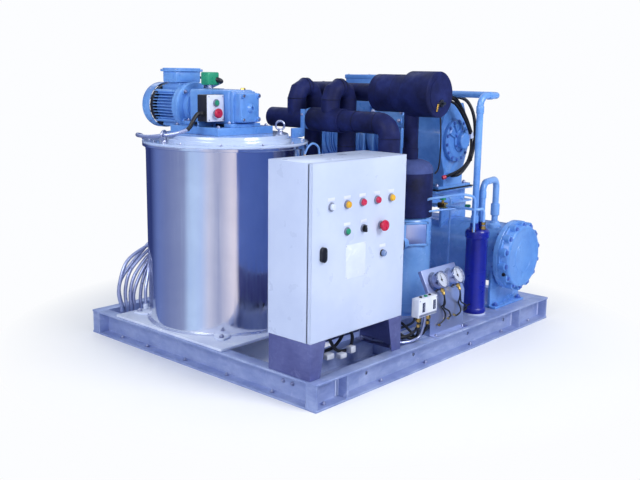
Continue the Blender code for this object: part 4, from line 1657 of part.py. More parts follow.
def build_accumulator():
    """Suction accumulator with its insulated upper half, filter and riser."""
    x, y = ACCUMULATOR_X, ACCUMULATOR_Y
    bottom = DECK_TOP + GAP
    vessel = ((0, 0), (ACCUMULATOR_RADIUS - ACCUMULATOR_EDGE, 0), (ACCUMULATOR_RADIUS, ACCUMULATOR_EDGE),
              (ACCUMULATOR_RADIUS, ACCUMULATOR_SHOULDER - bottom),
              (ACCUMULATOR_NECK_RADIUS, ACCUMULATOR_SHOULDER - bottom),
              (ACCUMULATOR_NECK_RADIUS, ACCUMULATOR_NECK_TOP - bottom),
              (0, ACCUMULATOR_NECK_TOP - bottom))
    stub_y = FRONT + HEADER_DROP_FRONT
    stub = Form().rod((x, stub_y, STUB_HEIGHT),
                      (x - STUB_REACH, stub_y, STUB_HEIGHT), STUB_RADIUS, sides=PIPE_SIDES)
    part("accumulator_shell", PLANT_BLUE, Form().turning(vessel, (x, y, bottom), ALONG_Z, SHELL_SIDES),
         [stub])

    base = ACCUMULATOR_SHOULDER + GAP
    bore = ACCUMULATOR_NECK_RADIUS + JACKET_CLEARANCE
    cavity_top = ACCUMULATOR_NECK_TOP + GAP - base
    jacket = [(0, cavity_top), (bore, cavity_top), (bore, 0), (ACCUMULATOR_RADIUS, 0)]
    dome_height = JACKET_TOP - JACKET_SEAM
    for step in range(DOME_STEPS):
        angle = math.pi / 2 * step / DOME_STEPS
        jacket.append((ACCUMULATOR_RADIUS * math.sqrt(math.cos(angle)),
                       JACKET_SEAM - base + dome_height * math.sin(angle)))
    jacket += [(ACCUMULATOR_RADIUS / 3, JACKET_TOP - base), (0, JACKET_TOP - base)]
    part("accumulator_jacket", INSULATION,
         Form().turning(jacket, (x, y, base), ALONG_Z, SHELL_SIDES))

    front = FRONT + FILTER_FRONT
    body = ((0, 0), (FILTER_RADIUS - FILTER_EDGE, 0), (FILTER_RADIUS, FILTER_EDGE),
            (FILTER_RADIUS, FILTER_HEAD_LENGTH), (FILTER_TAIL_RADIUS, FILTER_HEAD_LENGTH),
            (FILTER_TAIL_RADIUS, FILTER_LENGTH - FILTER_EDGE),
            (FILTER_TAIL_RADIUS - FILTER_EDGE, FILTER_LENGTH), (0, FILTER_LENGTH))
    riser_bottom = JACKET_TOP + GAP
    boot = Form().rod((x, y, riser_bottom), (x, y, riser_bottom + RISER_BOOT_HEIGHT),
                      min(RISER_BOOT_RADIUS, ACCUMULATOR_RADIUS / 3), RISER_RADIUS, sides=PIPE_SIDES)
    riser = Form().rod((x, y, riser_bottom + RISER_BOOT_HEIGHT - OVERLAP), (x, y, FILTER_Z),
                       RISER_RADIUS, sides=PIPE_SIDES)
    part("suction_filter", INSULATION,
         Form().turning(body, (x, front, FILTER_Z), ALONG_Y, VESSEL_SIDES), [riser, boot])

    pipe_start = front + FILTER_LENGTH + GAP
    valve_y = FRONT + SUCTION_VALVE_Y
    valve_top = COMPRESSOR_AXIS_Z + SUCTION_VALVE_RISE
    part("suction_pipe", INSULATION,
         Form().pipe(((x, pipe_start, FILTER_Z), (x, valve_y, FILTER_Z),
                      (COMPRESSOR_X, valve_y, FILTER_Z), (COMPRESSOR_X, valve_y, valve_top + GAP)),
                     SUCTION_PIPE_RADIUS, SUCTION_BEND))


def build_suction_line():
    """Insulated header with two arches to the drum and the drop to the accumulator."""
    x, z = HEADER_X, HEADER_Z
    rear, step_rear = FRONT + HEADER_REAR, FRONT + HEADER_STEP_REAR
    step_front, drop_y = FRONT + HEADER_STEP_FRONT, FRONT + HEADER_DROP_FRONT
    header = Form().rod((x, step_rear - OVERLAP, z), (x, rear, z), HEADER_RADIUS, sides=PIPE_SIDES)
    thick = Form().rod((x, step_front, z), (x, step_rear, z), HEADER_THICK_RADIUS, sides=PIPE_SIDES)
    stub_face = ACCUMULATOR_X - STUB_REACH - GAP
    drop = Form().pipe(((x, step_front + OVERRUN, z), (x, drop_y, z), (x, drop_y, STUB_HEIGHT),
                        (stub_face, drop_y, STUB_HEIGHT)), HEADER_DROP_RADIUS, HEADER_BEND)
    arches = []
    for arch_front in ARCH_FRONTS:
        arch_y = FRONT + arch_front
        nozzle_z = DRUM_BOTTOM + NOZZLE_HEIGHT
        arches.append(Form().pipe(((x, arch_y, z - HEADER_RADIUS / 3), (x, arch_y, ARCH_TOP),
                                   (x + ARCH_SPAN, arch_y, ARCH_TOP),
                                   (x + ARCH_SPAN, arch_y, nozzle_z),
                                   (DRUM_X + NOZZLE_REACH + GAP, arch_y, nozzle_z)),
                                  ARCH_RADIUS, ARCH_BEND, ARCH_SIDES))
    part("suction_line", INSULATION, header, [thick, drop] + arches)

    front = FRONT + CLAMP_FRONT
    arm_bottom = LID_BOTTOM + LID_FLANGE_THICKNESS + GAP
    bar_x = x - HEADER_RADIUS - CLAMP_THICKNESS - CLAMP_ARM_THICKNESS
    ring = ((HEADER_RADIUS + GAP, 0), (HEADER_RADIUS + CLAMP_THICKNESS, 0),
            (HEADER_RADIUS + CLAMP_THICKNESS, CLAMP_WIDTH), (HEADER_RADIUS + GAP, CLAMP_WIDTH))
    bar = Form().box((bar_x, front, arm_bottom + CLAMP_BAR_RISE),
                     (bar_x + CLAMP_ARM_THICKNESS + OVERLAP, front + CLAMP_WIDTH,
                      z + HEADER_RADIUS))
    arm_front = front + CLAMP_ARM_RECESS
    arm = Form().box((LEFT + CLAMP_ARM_FOOT_X, arm_front, arm_bottom),
                     (bar_x + OVERLAP, arm_front + CLAMP_ARM_THICKNESS,
                      arm_bottom + CLAMP_ARM_HEIGHT))
    part("header_bracket", DRIVE_BLUE, Form().turning(ring, (x, front, z), ALONG_Y, PIPE_SIDES),
         [bar, arm])


def cable(name, ends, route, count):
    """Cable along a smooth curve between two glands, straight for a short way at each."""
    (start, start_way), (end, end_way) = ends
    start, end = Vector(start) + start_way * GAP, Vector(end) + end_way * GAP
    knots = [Vector((LEFT + inset, FRONT + setback, height)) for inset, setback, height in route]
    knots = [start + start_way * CABLE_LEAD] + knots + [end + end_way * CABLE_LEAD]
    points = [start] + smooth_line(knots, count) + [end]
    tube_part(name, BLACK_PLASTIC, points, CABLE_RADIUS, CABLE_SIDES)


def build_cables():
    """Cable of the start and stop box, the drum's supply and the compressor's heater cable."""
    plate_gland = (LEFT + PLATE_GLAND_INSET, FRONT + PLATE_GLAND_FRONT,
                   DECK_TOP + GAP + BASE_PLATE_THICKNESS + GLAND_LENGTH)
    cable("control_cable", ((local_gland_end(), -ALONG_X), (plate_gland, ALONG_Z)),
          CONTROL_ROUTE, CONTROL_POINTS)
    drum_gland_y = DRUM_Y + drum_reach(DRUM_GLAND_OFFSET, DRUM_RADIUS) + GLAND_LENGTH
    drum_gland = (DRUM_X - DRUM_GLAND_OFFSET, drum_gland_y, DRUM_GLAND_Z)
    member_gland = (MIDDLE_X - GLAND_LENGTH, FRONT + MEMBER_GLAND_FRONT, MEMBER_GLAND_Z)
    cable("supply_cable", ((drum_gland, ALONG_Y), (member_gland, -ALONG_X)), SUPPLY_ROUTE,
          SUPPLY_POINTS)
    box_gland = (COMPRESSOR_X + BOX_GLAND_OFFSET, FRONT + COMPRESSOR_BOX_FRONT - GLAND_LENGTH,
                 COMPRESSOR_BOX_BOTTOM + BOX_GLAND_RISE)
    crank_gland = (COMPRESSOR_X - CRANK_GLAND_OFFSET, FRONT + CRANKCASE_FRONT - GLAND_LENGTH,
                   COMPRESSOR_BOTTOM + CRANK_GLAND_RISE)
    cable("compressor_cable", ((box_gland, -ALONG_Y), (crank_gland, -ALONG_Y)), COMPRESSOR_ROUTE,
          COMPRESSOR_POINTS)


build_skid()
build_drum()
build_gear_unit()
build_motor()
build_local_box()
build_plinth()
build_cabinet()
build_gauges()
build_discharge()
build_condenser()
build_compressor()
build_accumulator()
build_suction_line()
build_cables()
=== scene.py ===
import math

import bpy
from mathutils import Matrix, Vector


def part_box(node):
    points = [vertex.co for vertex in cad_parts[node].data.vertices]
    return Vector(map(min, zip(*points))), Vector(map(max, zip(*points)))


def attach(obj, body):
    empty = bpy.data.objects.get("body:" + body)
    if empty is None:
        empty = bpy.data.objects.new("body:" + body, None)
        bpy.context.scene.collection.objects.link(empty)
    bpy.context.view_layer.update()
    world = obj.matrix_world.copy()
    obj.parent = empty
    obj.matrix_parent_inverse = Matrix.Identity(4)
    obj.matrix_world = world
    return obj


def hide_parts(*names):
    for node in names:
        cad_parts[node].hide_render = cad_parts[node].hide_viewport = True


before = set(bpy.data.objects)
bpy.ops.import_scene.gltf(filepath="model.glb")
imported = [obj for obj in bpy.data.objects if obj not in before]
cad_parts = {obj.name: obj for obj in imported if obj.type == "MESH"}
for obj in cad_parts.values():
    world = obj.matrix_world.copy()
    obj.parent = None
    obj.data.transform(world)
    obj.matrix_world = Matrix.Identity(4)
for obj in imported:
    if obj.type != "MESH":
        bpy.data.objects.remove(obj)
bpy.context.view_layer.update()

mesh_ops, object_ops = bpy.ops.mesh, bpy.ops.object
ACROSS, BACK, UP = Vector((1, 0, 0)), Vector((0, 1, 0)), Vector((0, 0, 1))
LEFTWARD, FRONTWARD, DOWN = -ACROSS, -BACK, -UP


# Bench tools

def clear_bench():
    """Leaves edit mode with nothing selected."""
    if bpy.context.object and bpy.context.object.mode != "OBJECT":
        object_ops.mode_set(mode="OBJECT")
    object_ops.select_all(action="DESELECT")


def take(obj):
    clear_bench()
    obj.select_set(True)
    bpy.context.view_layer.objects.active = obj
    return obj


def settle(obj):
    """Moves an object's place, turn and size into its mesh."""
    take(obj)
    object_ops.transform_apply(location=True, rotation=True, scale=True)
    return obj


def stand(obj, start, way=UP):
    """Stands a shape, made along the Z axis at the origin, at start and along way."""
    turn = Vector(way).to_track_quat("Z", "Y").to_matrix().to_4x4()
    obj.matrix_world = Matrix.Translation(Vector(start)) @ turn
    return settle(obj)


def apply_modifier(obj, kind, **settings):
    take(obj)
    modifier = obj.modifiers.new(kind.title(), kind)
    for key, value in settings.items():
        setattr(modifier, key, value)
    object_ops.modifier_apply(modifier=modifier.name)
    return obj


def soften(obj, width, segments=2, angle=32):
    """Rounds the edges that are sharper than the angle."""
    return apply_modifier(obj, "BEVEL", width=width, segments=segments, limit_method="ANGLE",
        angle_limit=math.radians(angle), harden_normals=False)


def turned(profile, start, way=UP, steps=48):
    """A lathe's work: an outline of (radius, height) points spun about way, from start."""
    clear_bench()
    mesh_ops.primitive_plane_add(size=0.001)
    obj = bpy.context.object
    object_ops.mode_set(mode="EDIT")
    mesh_ops.select_mode(type="VERT")
    mesh_ops.select_all(action="SELECT")
    mesh_ops.merge(type="CENTER")
    radius, height = profile[0]
    bpy.ops.transform.translate(value=(radius, 0, height))
    for next_radius, next_height in profile[1:]:
        step = (next_radius - radius, 0, next_height - height)
        mesh_ops.extrude_vertices_move(TRANSFORM_OT_translate={"value": step})
        radius, height = next_radius, next_height
    mesh_ops.select_all(action="SELECT")
    mesh_ops.spin(steps=steps, angle=math.tau, center=(0, 0, 0), axis=(0, 0, 1))
    mesh_ops.select_all(action="SELECT")
    mesh_ops.remove_doubles(threshold=0.00001)
    mesh_ops.normals_make_consistent(inside=False)
    object_ops.mode_set(mode="OBJECT")
    return stand(obj, start, way)


def solid(profile, start, way=UP, steps=48):
    """A turned shape closed to its axis at both ends of the outline."""
    return turned([(0, profile[0][1]), *profile, (0, profile[-1][1])], start, way, steps)


def disc(radius, height, start, way=UP, steps=48):
    return solid([(radius, 0), (radius, height)], start, way, steps)


def band(profile, start, way=UP, steps=48):
    """A turned ring whose outline closes on its first point."""
    return turned([*profile, profile[0]], start, way, steps)


def rod(start, end, radius, steps=32, edge=0.0):
    """A round bar, with its end edges turned off where edge is given."""
    start, end = Vector(start), Vector(end)
    length = (end - start).length
    profile = [(0, 0), (radius, 0), (radius, length), (0, length)]
    if edge:
        profile = [(0, 0), (radius - edge, 0), (radius, edge), (radius, length - edge),
            (radius - edge, length), (0, length)]
    return turned(profile, start, end - start, steps)


def ring(centre, way, radius, wire, steps=40, wire_steps=12):
    clear_bench()
    mesh_ops.primitive_torus_add(major_radius=radius, minor_radius=wire, major_segments=steps,
        minor_segments=wire_steps)
    return stand(bpy.context.object, centre, way)


def block(low, high, edge=0.001, segments=2):
    """A box between two corners, with its edges rounded."""
    clear_bench()
    low, high = Vector(low), Vector(high)
    mesh_ops.primitive_cube_add(size=1, location=(low + high) / 2)
    obj = bpy.context.object
    obj.scale = high - low
    settle(obj)
    if edge:
        object_ops.mode_set(mode="EDIT")
        mesh_ops.select_all(action="SELECT")
        mesh_ops.bevel(offset=edge, segments=segments, affect="EDGES")
        object_ops.mode_set(mode="OBJECT")
    return obj


def turn_about(obj, point, axis, degrees):
    point = Vector(point)
    turn = Matrix.Rotation(math.radians(degrees), 4, Vector(axis))
    obj.matrix_world = Matrix.Translation(point) @ turn @ Matrix.Translation(-point)
    return settle(obj)


def cut_plate(outline, origin, across, upward, depth, edge=0.0):
    """A plate cut to an outline of (across, upward) points and pulled to its depth."""
    clear_bench()
    mesh_ops.primitive_circle_add(vertices=len(outline), radius=0.1, fill_type="NGON")
    obj = bpy.context.object
    for corner, (x, y) in zip(obj.data.vertices, outline):
        corner.co = (x, y, 0)
    object_ops.mode_set(mode="EDIT")
    mesh_ops.select_all(action="SELECT")
    mesh_ops.extrude_region_move(TRANSFORM_OT_translate={"value": (0, 0, depth)})
    mesh_ops.select_all(action="SELECT")
    mesh_ops.normals_make_consistent(inside=False)
    object_ops.mode_set(mode="OBJECT")
    across, upward = Vector(across).normalized(), Vector(upward).normalized()
    out = across.cross(upward)
    place = Matrix((across, upward, out)).transposed().to_4x4()
    obj.matrix_world = Matrix.Translation(Vector(origin)) @ place
    settle(obj)
    return soften(obj, edge) if edge else obj


def bent(points, radius, steps=8):
    """The line through the points with its corners rounded to the bend radius."""
    points = [Vector(p) for p in points]
    line = [points[0]]
    for before, corner, after in zip(points, points[1:], points[2:]):
        to_before, to_after = (before - corner).normalized(), (after - corner).normalized()
        half = to_before.angle(to_after) / 2
        if math.pi / 2 - half < 0.02:
            line.append(corner)
            continue
        leg = radius / math.tan(half)
        centre = corner + (to_before + to_after).normalized() * (radius / math.sin(half))
        first = (corner + to_before * leg - centre).normalized()
        last = (corner + to_after * leg - centre).normalized()
        for step in range(steps + 1):
            line.append(centre + first.slerp(last, step / steps) * radius)
    return line + [points[-1]]


def drawn(points, radius, sides=5):
    """A round line through the points, straight between them."""
    clear_bench()
    curve = bpy.data.curves.new("line", "CURVE")
    curve.dimensions, curve.bevel_depth, curve.bevel_resolution = "3D", radius, sides
    curve.use_fill_caps = True
    line = curve.splines.new("POLY")
    line.points.add(len(points) - 1)
    for knot, point in zip(line.points, points):
        knot.co = (*point, 1)
    obj = bpy.data.objects.new("line", curve)
    bpy.context.scene.collection.objects.link(obj)
    take(obj)
    object_ops.convert(target="MESH")
    return bpy.context.object


def smooth_way(knots):
    """Points of a smooth line that passes through every knot."""
    samples, knots = 6, [Vector(k) for k in knots]
    padded = [knots[0] * 2 - knots[1], *knots, knots[-1] * 2 - knots[-2]]
    line = []
    for a, b, c, d in zip(padded, padded[1:], padded[2:], padded[3:]):
        for step in range(samples):
            t = step / samples
            line.append((b * 2 + (c - a) * t + (a * 2 - b * 5 + c * 4 - d) * t ** 2
                    + (b * 3 - a - c * 3 + d) * t ** 3) / 2)
    return line + [knots[-1]]


def hose(knots, radius):
    """A round line that passes smoothly through every knot."""
    return drawn(smooth_way(knots), radius)


def pipe(points, radius, bend, sides=7):
    """A tube through the points with its corners bent."""
    return drawn(bent(points, bend), radius, sides=sides)


def copies(master, places):
    """Copies of a master made along Z, one for each (point, way) or (point, way, roll)."""
    made = []
    for place in places:
        point, way, roll = place if len(place) == 3 else (*place, 0.0)
        turn = Vector(way).to_track_quat("Z", "Y").to_matrix().to_4x4()
        obj = master.copy()
        obj.data = master.data.copy()
        obj.data.transform(Matrix.Translation(Vector(point)) @ turn @ Matrix.Rotation(roll, 4, "Z"))
        bpy.context.scene.collection.objects.link(obj)
        made.append(obj)
    bpy.data.objects.remove(master)
    return made


def around(centre, way, radius, count, start_angle=0.0, lift=0.0):
    """Points of a circle about way, each with that way: the places of a ring of bolts."""
    turn = Vector(way).to_track_quat("Z", "Y").to_matrix()
    places = []
    for index in range(count):
        angle = math.radians(start_angle) + math.tau * index / count
        spot = Vector((radius * math.cos(angle), radius * math.sin(angle), lift))
        places.append((Vector(centre) + turn @ spot, way, angle))
    return places


def dressed(node, edge=0.0012, segments=2, angle=32):
    """A copy of a CAD node's shape, welded and with its edges rounded."""
    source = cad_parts[node]
    obj = bpy.data.objects.new(node + "_copy", source.data.copy())
    bpy.context.scene.collection.objects.link(obj)
    take(obj)
    object_ops.mode_set(mode="EDIT")
    mesh_ops.select_all(action="SELECT")
    mesh_ops.remove_doubles(threshold=0.00002)
    mesh_ops.dissolve_limited(angle_limit=math.radians(1.0))
    object_ops.mode_set(mode="OBJECT")
    obj.data.materials.clear()
    return soften(obj, edge, segments, angle) if edge else obj


def of(finish, *parts):
    """Gives parts a finish."""
    found = []
    for item in parts:
        found += item if isinstance(item, list) else [item]
    for obj in found:
        obj.data.materials.clear()
        obj.data.materials.append(finish)
    return found


def piece(name, parts, nodes=(), body="machine", angle=35):
    """Joins parts into one piece that rides on a body and stands for the CAD nodes it covers."""
    obj = weld_parts([part for group in parts for part in (group if isinstance(group, list) else [group])])
    obj.name = obj.data.name = name
    take(obj)
    object_ops.shade_smooth_by_angle(angle=math.radians(angle))
    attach(obj, body)
    if nodes:
        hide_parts(*nodes)


def hex_bolt(size=0.008, washer=True, stub=True):
    """A hexagon head on its washer, made along Z."""
    across = size * 0.92
    clear_bench()
    mesh_ops.primitive_cylinder_add(vertices=6, radius=across, depth=size * 0.65,
        location=(0, 0, size * 0.5))
    head = bpy.context.object
    settle(head)
    soften(head, size * 0.09, 1)
    parts = [head]
    if washer:
        parts.append(disc(size * 1.15, size * 0.17, (0, 0, 0), steps=16))
    if stub:
        parts.append(solid([(size * 0.48, size * 0.7), (size * 0.48, size * 1.12),
                (size * 0.4, size * 1.25)], (0, 0, 0), steps=12))
    return weld_parts(parts)


def weld_parts(parts):
    """Joins parts into the first of them."""
    clear_bench()
    for obj in parts:
        obj.select_set(True)
    bpy.context.view_layer.objects.active = parts[0]
    if len(parts) > 1:
        object_ops.join()
    return bpy.context.object


def screw(radius=0.003, height=0.0015):
    """A pan head with a cross recess, made along Z."""
    head = solid([(radius, 0), (radius, height * 0.5), (radius * 0.75, height)], (0, 0, 0), steps=14)
    long, short, low, high = radius * 0.6, radius * 0.1, height * 0.6, height * 1.04
    slots = [block((-x, -y, low), (x, y, high), 0) for x, y in ((long, short), (short, long))]
    return weld_parts([head, *slots])


# Finishes

def tint(red, green, blue):
    """A colour as a screen shows it, turned into light."""
    return tuple((c / 255 / 12.92 if c <= 10 else ((c / 255 + 0.055) / 1.055) ** 2.4)
        for c in (red, green, blue)) + (1.0,)


def tints(*colours):
    return [tint(*colour) for colour in colours]


class Finish:
    """A finish whose patterns follow the piece's own metres."""

    def __init__(self, name, roughness=0.4, metallic=0.0, coat=0.0, specular=0.5):
        self.material = bpy.data.materials.new(name)
        self.material.use_nodes = True
        self.tree = self.material.node_tree
        self.shader = self.tree.nodes["Principled BSDF"]
        for key, value in (("Roughness", roughness), ("Metallic", metallic), ("Coat Weight", coat),
                ("Coat Roughness", 0.08), ("Specular IOR Level", specular)):
            self.shader.inputs[key].default_value = value
        self.where = self.tree.nodes.new("ShaderNodeTexCoord").outputs["Object"]

    def node(self, kind, **inputs):
        made = self.tree.nodes.new("ShaderNode" + kind)
        for key, value in inputs.items():
            made.inputs[key.replace("_", " ")].default_value = value
        return made

    def stretched(self, stretch):
        mapping = self.node("Mapping", Scale=stretch)
        self.tree.links.new(self.where, mapping.inputs["Vector"])
        return mapping.outputs["Vector"]

    def cloud(self, scale, detail=3.0, rough=0.55, stretch=(1, 1, 1), distortion=0.0):
        noise = self.node("TexNoise", Scale=scale, Detail=detail, Roughness=rough, Distortion=distortion)
        self.tree.links.new(self.stretched(stretch), noise.inputs["Vector"])
        return noise.outputs["Fac"]

    def cells(self, scale):
        cell = self.node("TexVoronoi", Scale=scale)
        self.tree.links.new(self.where, cell.inputs["Vector"])
        return cell.outputs["Distance"]

    def ramp(self, source, *stops):
        made = self.node("ValToRGB")
        band = made.color_ramp
        while len(band.elements) < len(stops):
            band.elements.new(0.5)
        for element, (place, colour) in zip(band.elements, stops):
            element.position, element.color = place, colour
        self.tree.links.new(source, made.inputs["Fac"])
        return made.outputs["Color"]

    def over(self, base, top, factor):
        mix = self.tree.nodes.new("ShaderNodeMix")
        mix.data_type = "RGBA"
        for socket, value in ((mix.inputs[6], base), (mix.inputs[7], top), (mix.inputs[0], factor)):
            if isinstance(value, (tuple, float, int)):
                socket.default_value = value
            else:
                self.tree.links.new(value, socket)
        return mix.outputs[2]

    def level(self, source, low, high, start=0.3, end=0.7):
        made = self.node("MapRange", From_Min=start, From_Max=end, To_Min=low, To_Max=high)
        self.tree.links.new(source, made.inputs["Value"])
        return made.outputs["Result"]

    def paint(self, colour):
        self.tree.links.new(colour, self.shader.inputs["Base Color"])
        return self

    def gloss(self, roughness):
        self.tree.links.new(roughness, self.shader.inputs["Roughness"])
        return self

    def relief(self, height, strength=0.2, distance=0.001):
        bump = self.node("Bump", Strength=strength, Distance=distance)
        self.tree.links.new(height, bump.inputs["Height"])
        self.tree.links.new(bump.outputs["Normal"], self.shader.inputs["Normal"])
        return self


PAINT_PEEL, METAL_GRAIN, PLASTIC_GRAIN, FOAM_PORES = 0.0006, 0.0004, 0.0003, 0.0012


def painted(name, colour, shadow, light, roughness=0.28, coat=0.35, texture=0.05, dirt=0.35):
    """Machine paint: slow changes of tone, dust in faint clouds, and the orange peel of a sprayed coat."""
    colour, shadow, light = tints(colour, shadow, light)
    made = Finish(name, roughness, coat=coat)
    tone = made.ramp(made.cloud(3.2, 4), (0.3, shadow), (0.5, colour), (0.72, light))
    fine = made.ramp(made.cloud(38, 5, 0.65), (0.35, shadow), (0.62, colour))
    made.paint(made.over(tone, fine, dirt))
    made.gloss(made.level(made.cloud(14, 4), roughness - 0.07, roughness + 0.12))
    return made.relief(made.cloud(420, 2), texture, PAINT_PEEL).material


def bare_metal(name, colour, shadow, light, roughness=0.3, stretch=(1, 1, 1), streak=60, metallic=1.0,
        spots=None, spread=1.0):
    """Bare metal: brushed or rolled streaks along one way, and stains in clouds."""
    colour, shadow, light = tints(colour, shadow, light)
    made = Finish(name, roughness, metallic)
    brushed = made.cloud(streak, 4, 0.6, stretch)
    tone = made.ramp(made.cloud(5, 5, 0.62, distortion=0.4), (0.32, shadow), (0.5, colour), (0.7, light))
    streaks = made.ramp(brushed, (0.3, shadow), (0.55, colour), (0.75, light))
    mixed = made.over(tone, streaks, 0.35)
    if spots:
        stained = made.level(made.cloud(16, 6, 0.7, distortion=1.2), 0.0, 0.75, 0.56, 0.7)
        mixed = made.over(mixed, tint(*spots), stained)
    made.paint(mixed)
    made.gloss(made.level(brushed, roughness - 0.08 * spread, roughness + 0.12 * spread))
    return made.relief(brushed, 0.06 * spread, METAL_GRAIN).material


def moulded(name, colour, shadow, roughness=0.38, grain=900, strength=0.08, specular=0.5):
    """Moulded plastic: a slight spark-eroded grain and faint handling marks."""
    colour, shadow = tints(colour, shadow)
    made = Finish(name, roughness, specular=specular)
    made.paint(made.ramp(made.cloud(22, 5, 0.6), (0.3, shadow), (0.62, colour)))
    made.gloss(made.level(made.cloud(60, 4), roughness - 0.08, roughness + 0.14))
    return made.relief(made.cloud(grain, 2), strength, PLASTIC_GRAIN).material


def foam(name, colour, shadow, light):
    """Closed-cell foam: a matt skin with shallow pores and pressed marks."""
    colour, shadow, light = tints(colour, shadow, light)
    made = Finish(name, 0.66, specular=0.2)
    tone = made.ramp(made.cloud(9, 5, 0.6), (0.3, shadow), (0.55, colour), (0.8, light))
    made.paint(made.over(tone, shadow, made.level(made.cells(260), 0.25, 0.0, 0.05, 0.35)))
    made.gloss(made.level(made.cloud(30, 4), 0.5, 0.75))
    return made.relief(made.over(made.cloud(55, 5), made.cells(300), 0.4), 0.35, FOAM_PORES).material


GALVANISED = bare_metal("mill_steel", (156, 171, 214), (128, 144, 196), (188, 200, 232), 0.42, (1, 1, 3),
    22, 0.3, (186, 197, 230))
PLATE_STEEL = bare_metal("pale_plate", (216, 225, 247), (198, 208, 238), (230, 237, 252), 0.62, (1, 1, 1),
    12, 0.08, (236, 242, 252))
MIRROR = bare_metal("polished_stainless", (234, 235, 242), (226, 228, 240), (244, 245, 250), 0.12,
    (14, 14, 0.35), 9, 1.0)
BRIGHT = bare_metal("bright_stainless", (206, 210, 228), (188, 192, 216), (224, 228, 242), 0.24,
    (1, 1, 1), 16)
SATIN = bare_metal("satin_sheet", (188, 198, 234), (178, 188, 228), (200, 210, 240), 0.3, (1, 0.04, 0.04),
    240, 0.85, spread=0.25)
BRASS = bare_metal("brass", (206, 170, 92), (160, 124, 60), (232, 204, 140), 0.26)
ZINC = bare_metal("zinc_plate", (176, 180, 204), (136, 140, 170), (210, 214, 232), 0.32)
PLINTH = bare_metal("plinth_sheet", (104, 110, 164), (90, 94, 146), (124, 130, 180), 0.36, (1, 1, 4), 30,
    0.4, (132, 138, 186))
LID_GLOSS = painted("lid_gloss", (188, 204, 236), (170, 190, 230), (212, 224, 246), 0.16, 0.6, 0.03, 0.2)
DRIVE_BLUE = painted("drive_paint", (106, 160, 230), (78, 130, 208), (140, 188, 246), 0.3, 0.4, 0.3)
SKY_BLUE = painted("vessel_paint", (110, 163, 233), (84, 136, 216), (142, 188, 246), 0.26, 0.4, 0.12)
CASTING_BLUE = painted("casting_paint", (96, 150, 224), (66, 118, 200), (130, 180, 240), 0.32, 0.3, 0.6)
ROYAL = painted("separator_paint", (4, 22, 150), (2, 14, 120), (10, 36, 172), 0.3, 0.08, 0.1)
CABINET = painted("cabinet_paint", (198, 210, 238), (188, 201, 232), (209, 219, 244), 0.32, 0.25, 0.2, 0.14)
PALE = painted("pale_coat", (206, 216, 242), (184, 196, 230), (226, 234, 250), 0.3, 0.2)
FOAM = foam("insulation_foam", (25, 33, 86), (12, 16, 50), (42, 54, 120))
FOAM_CAP = foam("insulation_cap", (74, 88, 146), (52, 64, 116), (104, 120, 178))
SEAM = foam("insulation_seam", (12, 16, 46), (6, 8, 26), (26, 34, 80))
BLACK = moulded("black_plastic", (24, 25, 34), (12, 12, 20))
RUBBER = moulded("black_rubber", (22, 23, 32), (12, 12, 18), 0.6, 300, 0.2, 0.3)
CABLE = moulded("cable_sheath", (20, 21, 30), (10, 10, 16), 0.42, 200, 0.1)
WHITE = moulded("white_plastic", (226, 231, 244), (208, 214, 234))
GREEN = moulded("green_plastic", (44, 160, 120), (28, 132, 98), 0.3)
RED = moulded("red_plastic", (208, 36, 74), (172, 24, 58), 0.26)
GREY = moulded("grey_plastic", (128, 136, 160), (104, 110, 136))
YELLOW = moulded("amber_lens", (240, 190, 60), (214, 156, 30), 0.2)
RED_LENS = moulded("red_lens", (214, 52, 88), (172, 28, 62), 0.2)
MILKY = moulded("milky_lens", (222, 230, 246), (200, 210, 236), 0.2)
SMOKE = moulded("smoked_knob", (126, 150, 196), (96, 118, 168), 0.2)
DIAL_FACE = moulded("dial_card", (204, 210, 228), (190, 197, 218), 0.5)
GASKET = moulded("door_gasket", (30, 33, 58), (16, 18, 36), 0.6, 300, 0.2)
CONDUIT = bare_metal("steel_conduit", (170, 178, 212), (158, 166, 202), (184, 192, 222), 0.28, (1, 1, 1),
    60, 0.7, spread=0.15)
OIL_TUBE = painted("oil_tube_paint", (134, 182, 246), (108, 158, 236), (164, 204, 252), 0.26, 0.3, 0.05)
RIM = bare_metal("rim_steel", (176, 182, 206), (124, 130, 156), (226, 230, 240), 0.14)
BOLT_BLUE = painted("bolt_paint", (76, 114, 200), (54, 86, 168), (104, 146, 226), 0.3, 0.3)
# Darker blue for the sheet on the cabinet's back: painted shade, standing for the pale cabinet paint in
# shadow.
BACK_PAINTED_SHADE = painted("cabinet_back_paint", (120, 152, 228), (100, 132, 214), (142, 172, 240), 0.5, 0.1)
WINDOW = moulded("switch_window", (52, 60, 96), (34, 40, 70), 0.12)


# Ice drum
DRUM_X, DRUM_Y = -0.454, 0.176
DRUM = Vector((DRUM_X, DRUM_Y, 0))
DRUM_RADIUS, DRUM_FOOT = 0.32, 0.1106
LID_STEP, LID_TOP = 0.839, 0.8664
NOZZLE_YS, NOZZLE_Z = (-0.03, 0.167), 0.5506
MOTOR_Z, FLANGE_Y, COWL_Y = 0.9657, 0.364, 0.5533
GEAR_COVER_Y, GEAR_COVER_Z = 0.168, 0.974
STATION_X, STATION_FRONT, START_Z, STOP_Z = -0.5635, 0.1091, 0.9905, 0.951


def at_drum(x=0.0, y=0.0, z=0.0):
    return Vector((DRUM_X + x, DRUM_Y + y, z))


